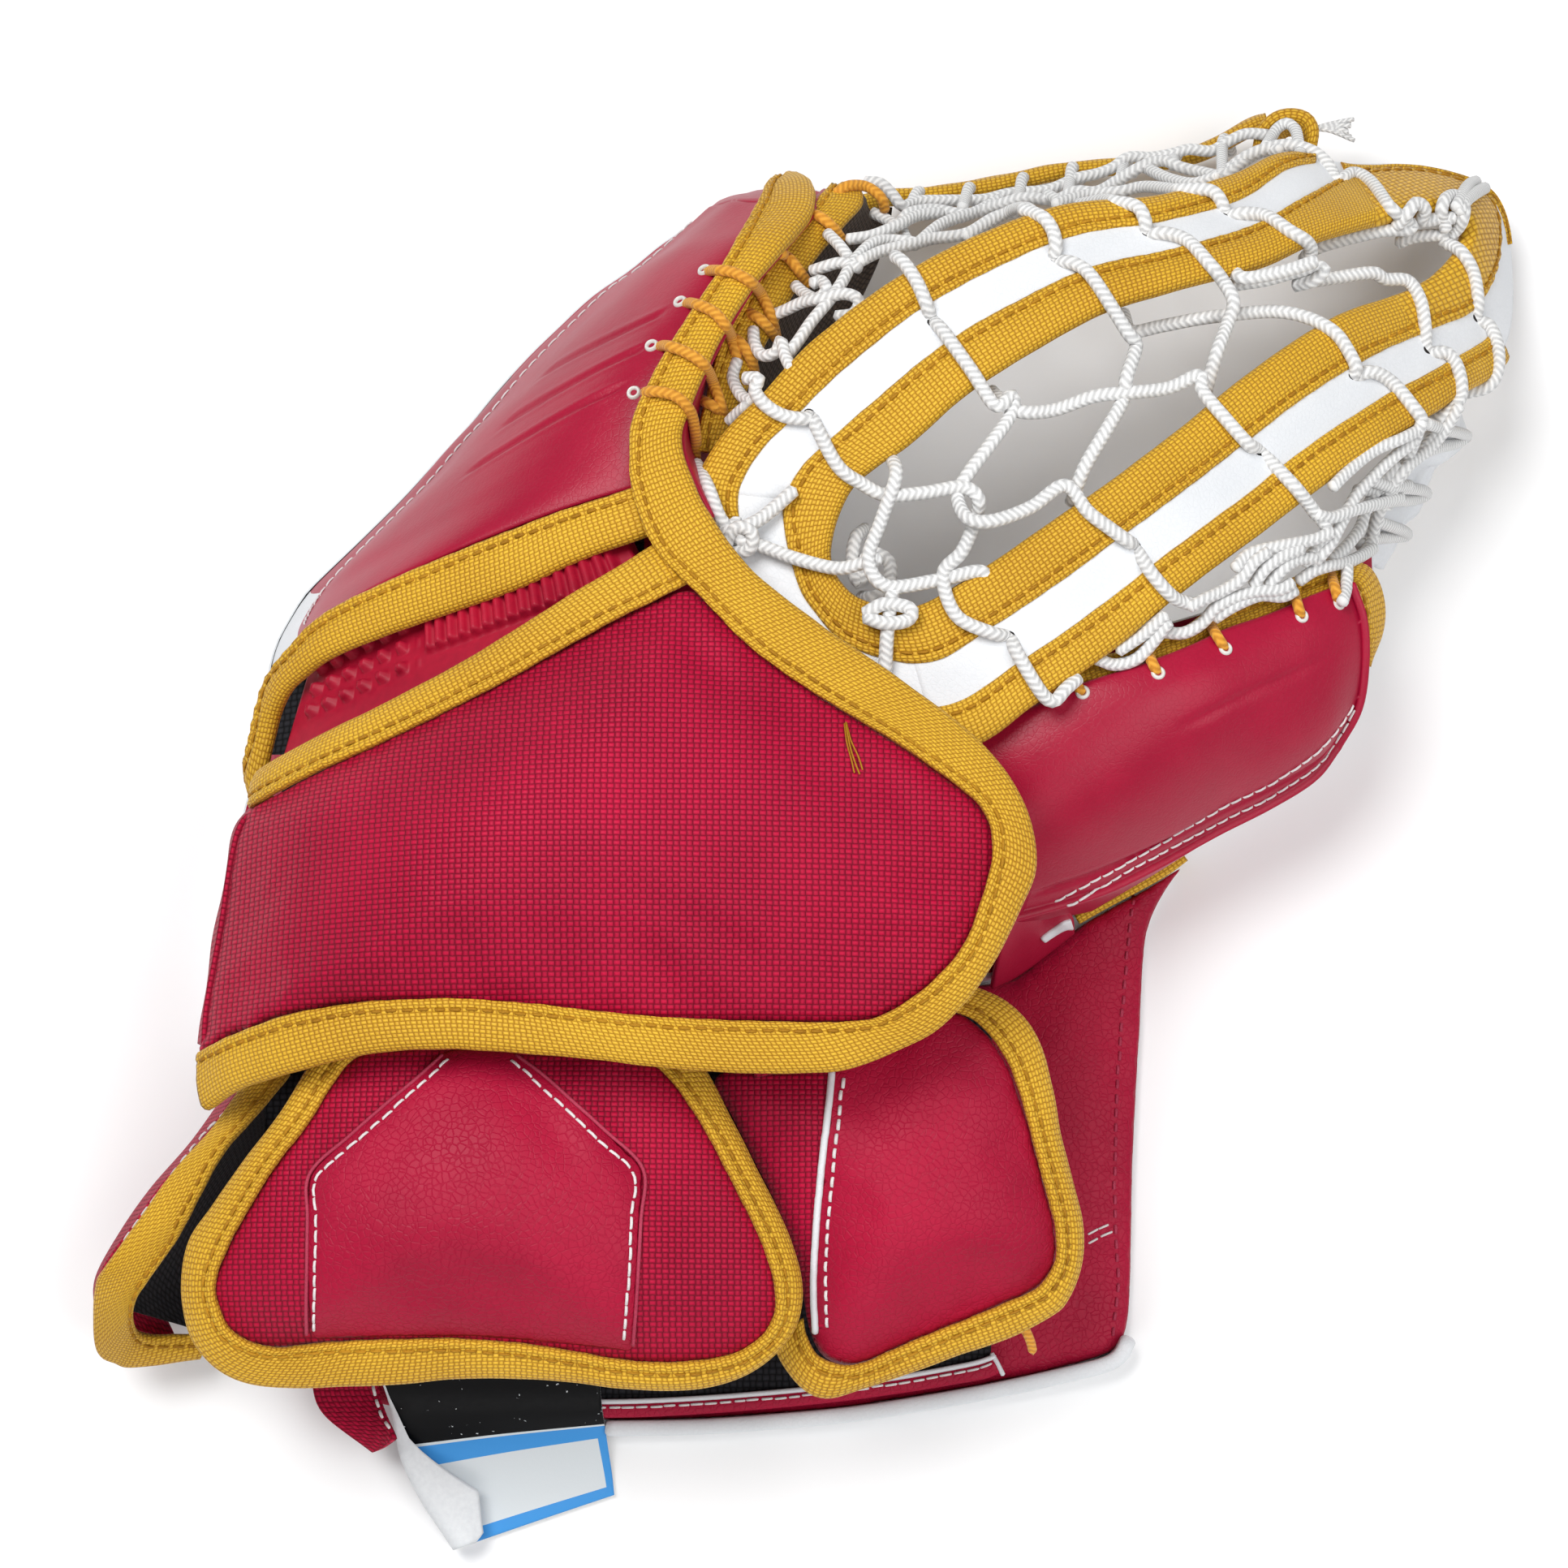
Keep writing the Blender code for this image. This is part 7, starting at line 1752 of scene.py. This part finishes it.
# the turned-up corner carries on from the card's left side, with its back outwards
t = np.linspace(0, 1, 61)
inw = unit(P[:, 6] - P[:, 0])
rad = (0.25 + 3.35 * ramp(t, 0.1, 0.9)) * MM
wide = (0.1 + np.interp(t, [0.0, 0.12, 0.35, 0.72, 0.97, 1.0], [0.0, 0.0, 2.0, 11.0, 5.0, 2.0])) * MM
cols = []
for a in np.linspace(0, np.pi, 13)[1:]:
    cols.append(P[:, 0] + inw * (-rad * np.sin(a))[:, None] + N[:, 0] * (rad * (1 - np.cos(a)))[:, None])
for e in np.linspace(0.12, 1, 9):
    cols.append(P[:, 0] + inw * (wide * e)[:, None] + N[:, 0] * (2 * rad * (1 - 0.25 * e * e))[:, None])
S = np.concatenate([np.array(cols[::-1]).transpose(1, 0, 2), P], 1)
N = grid_normals(S)
if N[30, -10, 2] < 0:
    N = -N
Uu = np.repeat(np.concatenate([np.linspace(-0.4, -0.02, len(cols)), np.linspace(0, 1, 49)])[None], 61, 0)
Ww = np.repeat(np.linspace(0, 1, 61)[:, None], S.shape[1], 1)
g = Geo()
g.grid(S + N * 0.15 * MM, Uu, Ww, mi=0)
g.grid(S - N * 0.15 * MM, Uu, Ww, mi=1)
idx = loop_index(61, S.shape[1])
r_, c_ = np.array([i[0] for i in idx]), np.array([i[1] for i in idx])
Q = np.array([S[r_, c_] + N[r_, c_] * 0.15 * MM, S[r_, c_] - N[r_, c_] * 0.15 * MM])
g.grid(Q, np.zeros((2, len(idx) + 1)), np.full((2, len(idx) + 1), 0.7), wc=True, mi=1)
tag = emit("hang_tag_card", g, [TAG, PALE], "tag", ["hang_tag"])

# ---------------------------------------------------------------- small ends of thread
g = Geo()
T_HAND = applied(hand)
for k_, pts in enumerate(([(1040, 893), (1043, 915), (1048, 935), (1052, 953)], [(1042, 893), (1047, 912), (1056, 932), (1062, 950)],
                          [(1041, 893), (1045, 915), (1051, 938), (1058, 956)])):
    p, m = on(T_HAND, pts, 0.5 + 0.3 * k_, 1.0)
    tube_geo(g, p, 0.2, 6, 0.8)
emit("loose_thread", g, TH_YELLOW, "palm", fix=True)

g = Geo()
tube_geo(g, L([(1256, 1628, 45.5), (1264, 1640, 44), (1270, 1654, 41), (1273, 1668, 38)]), 1.15, 8, 0.8, taper=1.5)
emit("pad_cord_end", g, ORANGE, "wrist_pad")

sew_all()

# ---------------------------------------------------------------- inner pieces that stay
# short nylon hinges from the wrist pads' upper edges to under the hand pad
def hinge(name, low, high, body):
    a, b = along(L(low), n=70), along(L(high), n=70)
    t = np.linspace(0, 1, 13)
    rows = a[None] * (1 - t)[:, None, None] + b[None] * t[:, None, None]
    rows[..., 2] -= (1.5 * np.sin(np.pi * t) * MM)[:, None]
    g = Geo()
    slab(g, rows, 0.6, -0.6, 0.2, 2)
    return emit(name, g, RED_NYLON, None, blend=("palm", body, tuple(b.mean(0)), tuple(a.mean(0))))


hinge("wrist_flap_hinge", [(406, 1292, 70), (470, 1273, 71), (560, 1265, 72), (650, 1265, 72), (740, 1269, 72), (816, 1281, 71),
                           (860, 1308, 71)],
      [(424, 1240, 80), (480, 1230, 82), (560, 1222, 83), (650, 1222, 84), (740, 1226, 84), (815, 1236, 84), (856, 1258, 83)],
      "wrist_flap")
hinge("wrist_pad_hinge", [(930, 1326, 66), (1000, 1311, 66), (1080, 1288, 66), (1150, 1254, 65), (1188, 1222, 63)],
      [(935, 1285, 82), (1000, 1270, 82), (1075, 1248, 82), (1135, 1215, 80), (1165, 1185, 78)], "wrist_pad")

KEEP = {"thumb_stiffener": PLASTIC, "cuff_board": PLASTIC, "finger_loop": BLACK,
        "thumb_loop": BLACK}
for name, mat in KEEP.items():
    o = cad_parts[name]
    o.data.materials.clear()
    o.data.materials.append(mat)

# ---------------------------------------------------------------- floor
k = Kit("floor_paper", 0.9, 0.2)
fl = k.mix(k.range(k.noise(6.0, 2.0), 0.3, 0.7, 0.0, 1.0), rgb(0xFAFAFA), rgb(0xF6F6F7))
FLOOR = k.out(fl)
me = bpy.data.meshes.new("floor")
me.from_pydata([(-3, -3, -0.0006), (3, -3, -0.0006), (3, 3, -0.0006), (-3, 3, -0.0006)], [], [(0, 1, 2, 3)])
floor = bpy.data.objects.new("floor", me)
me.materials.append(FLOOR)
scene.collection.objects.link(floor)
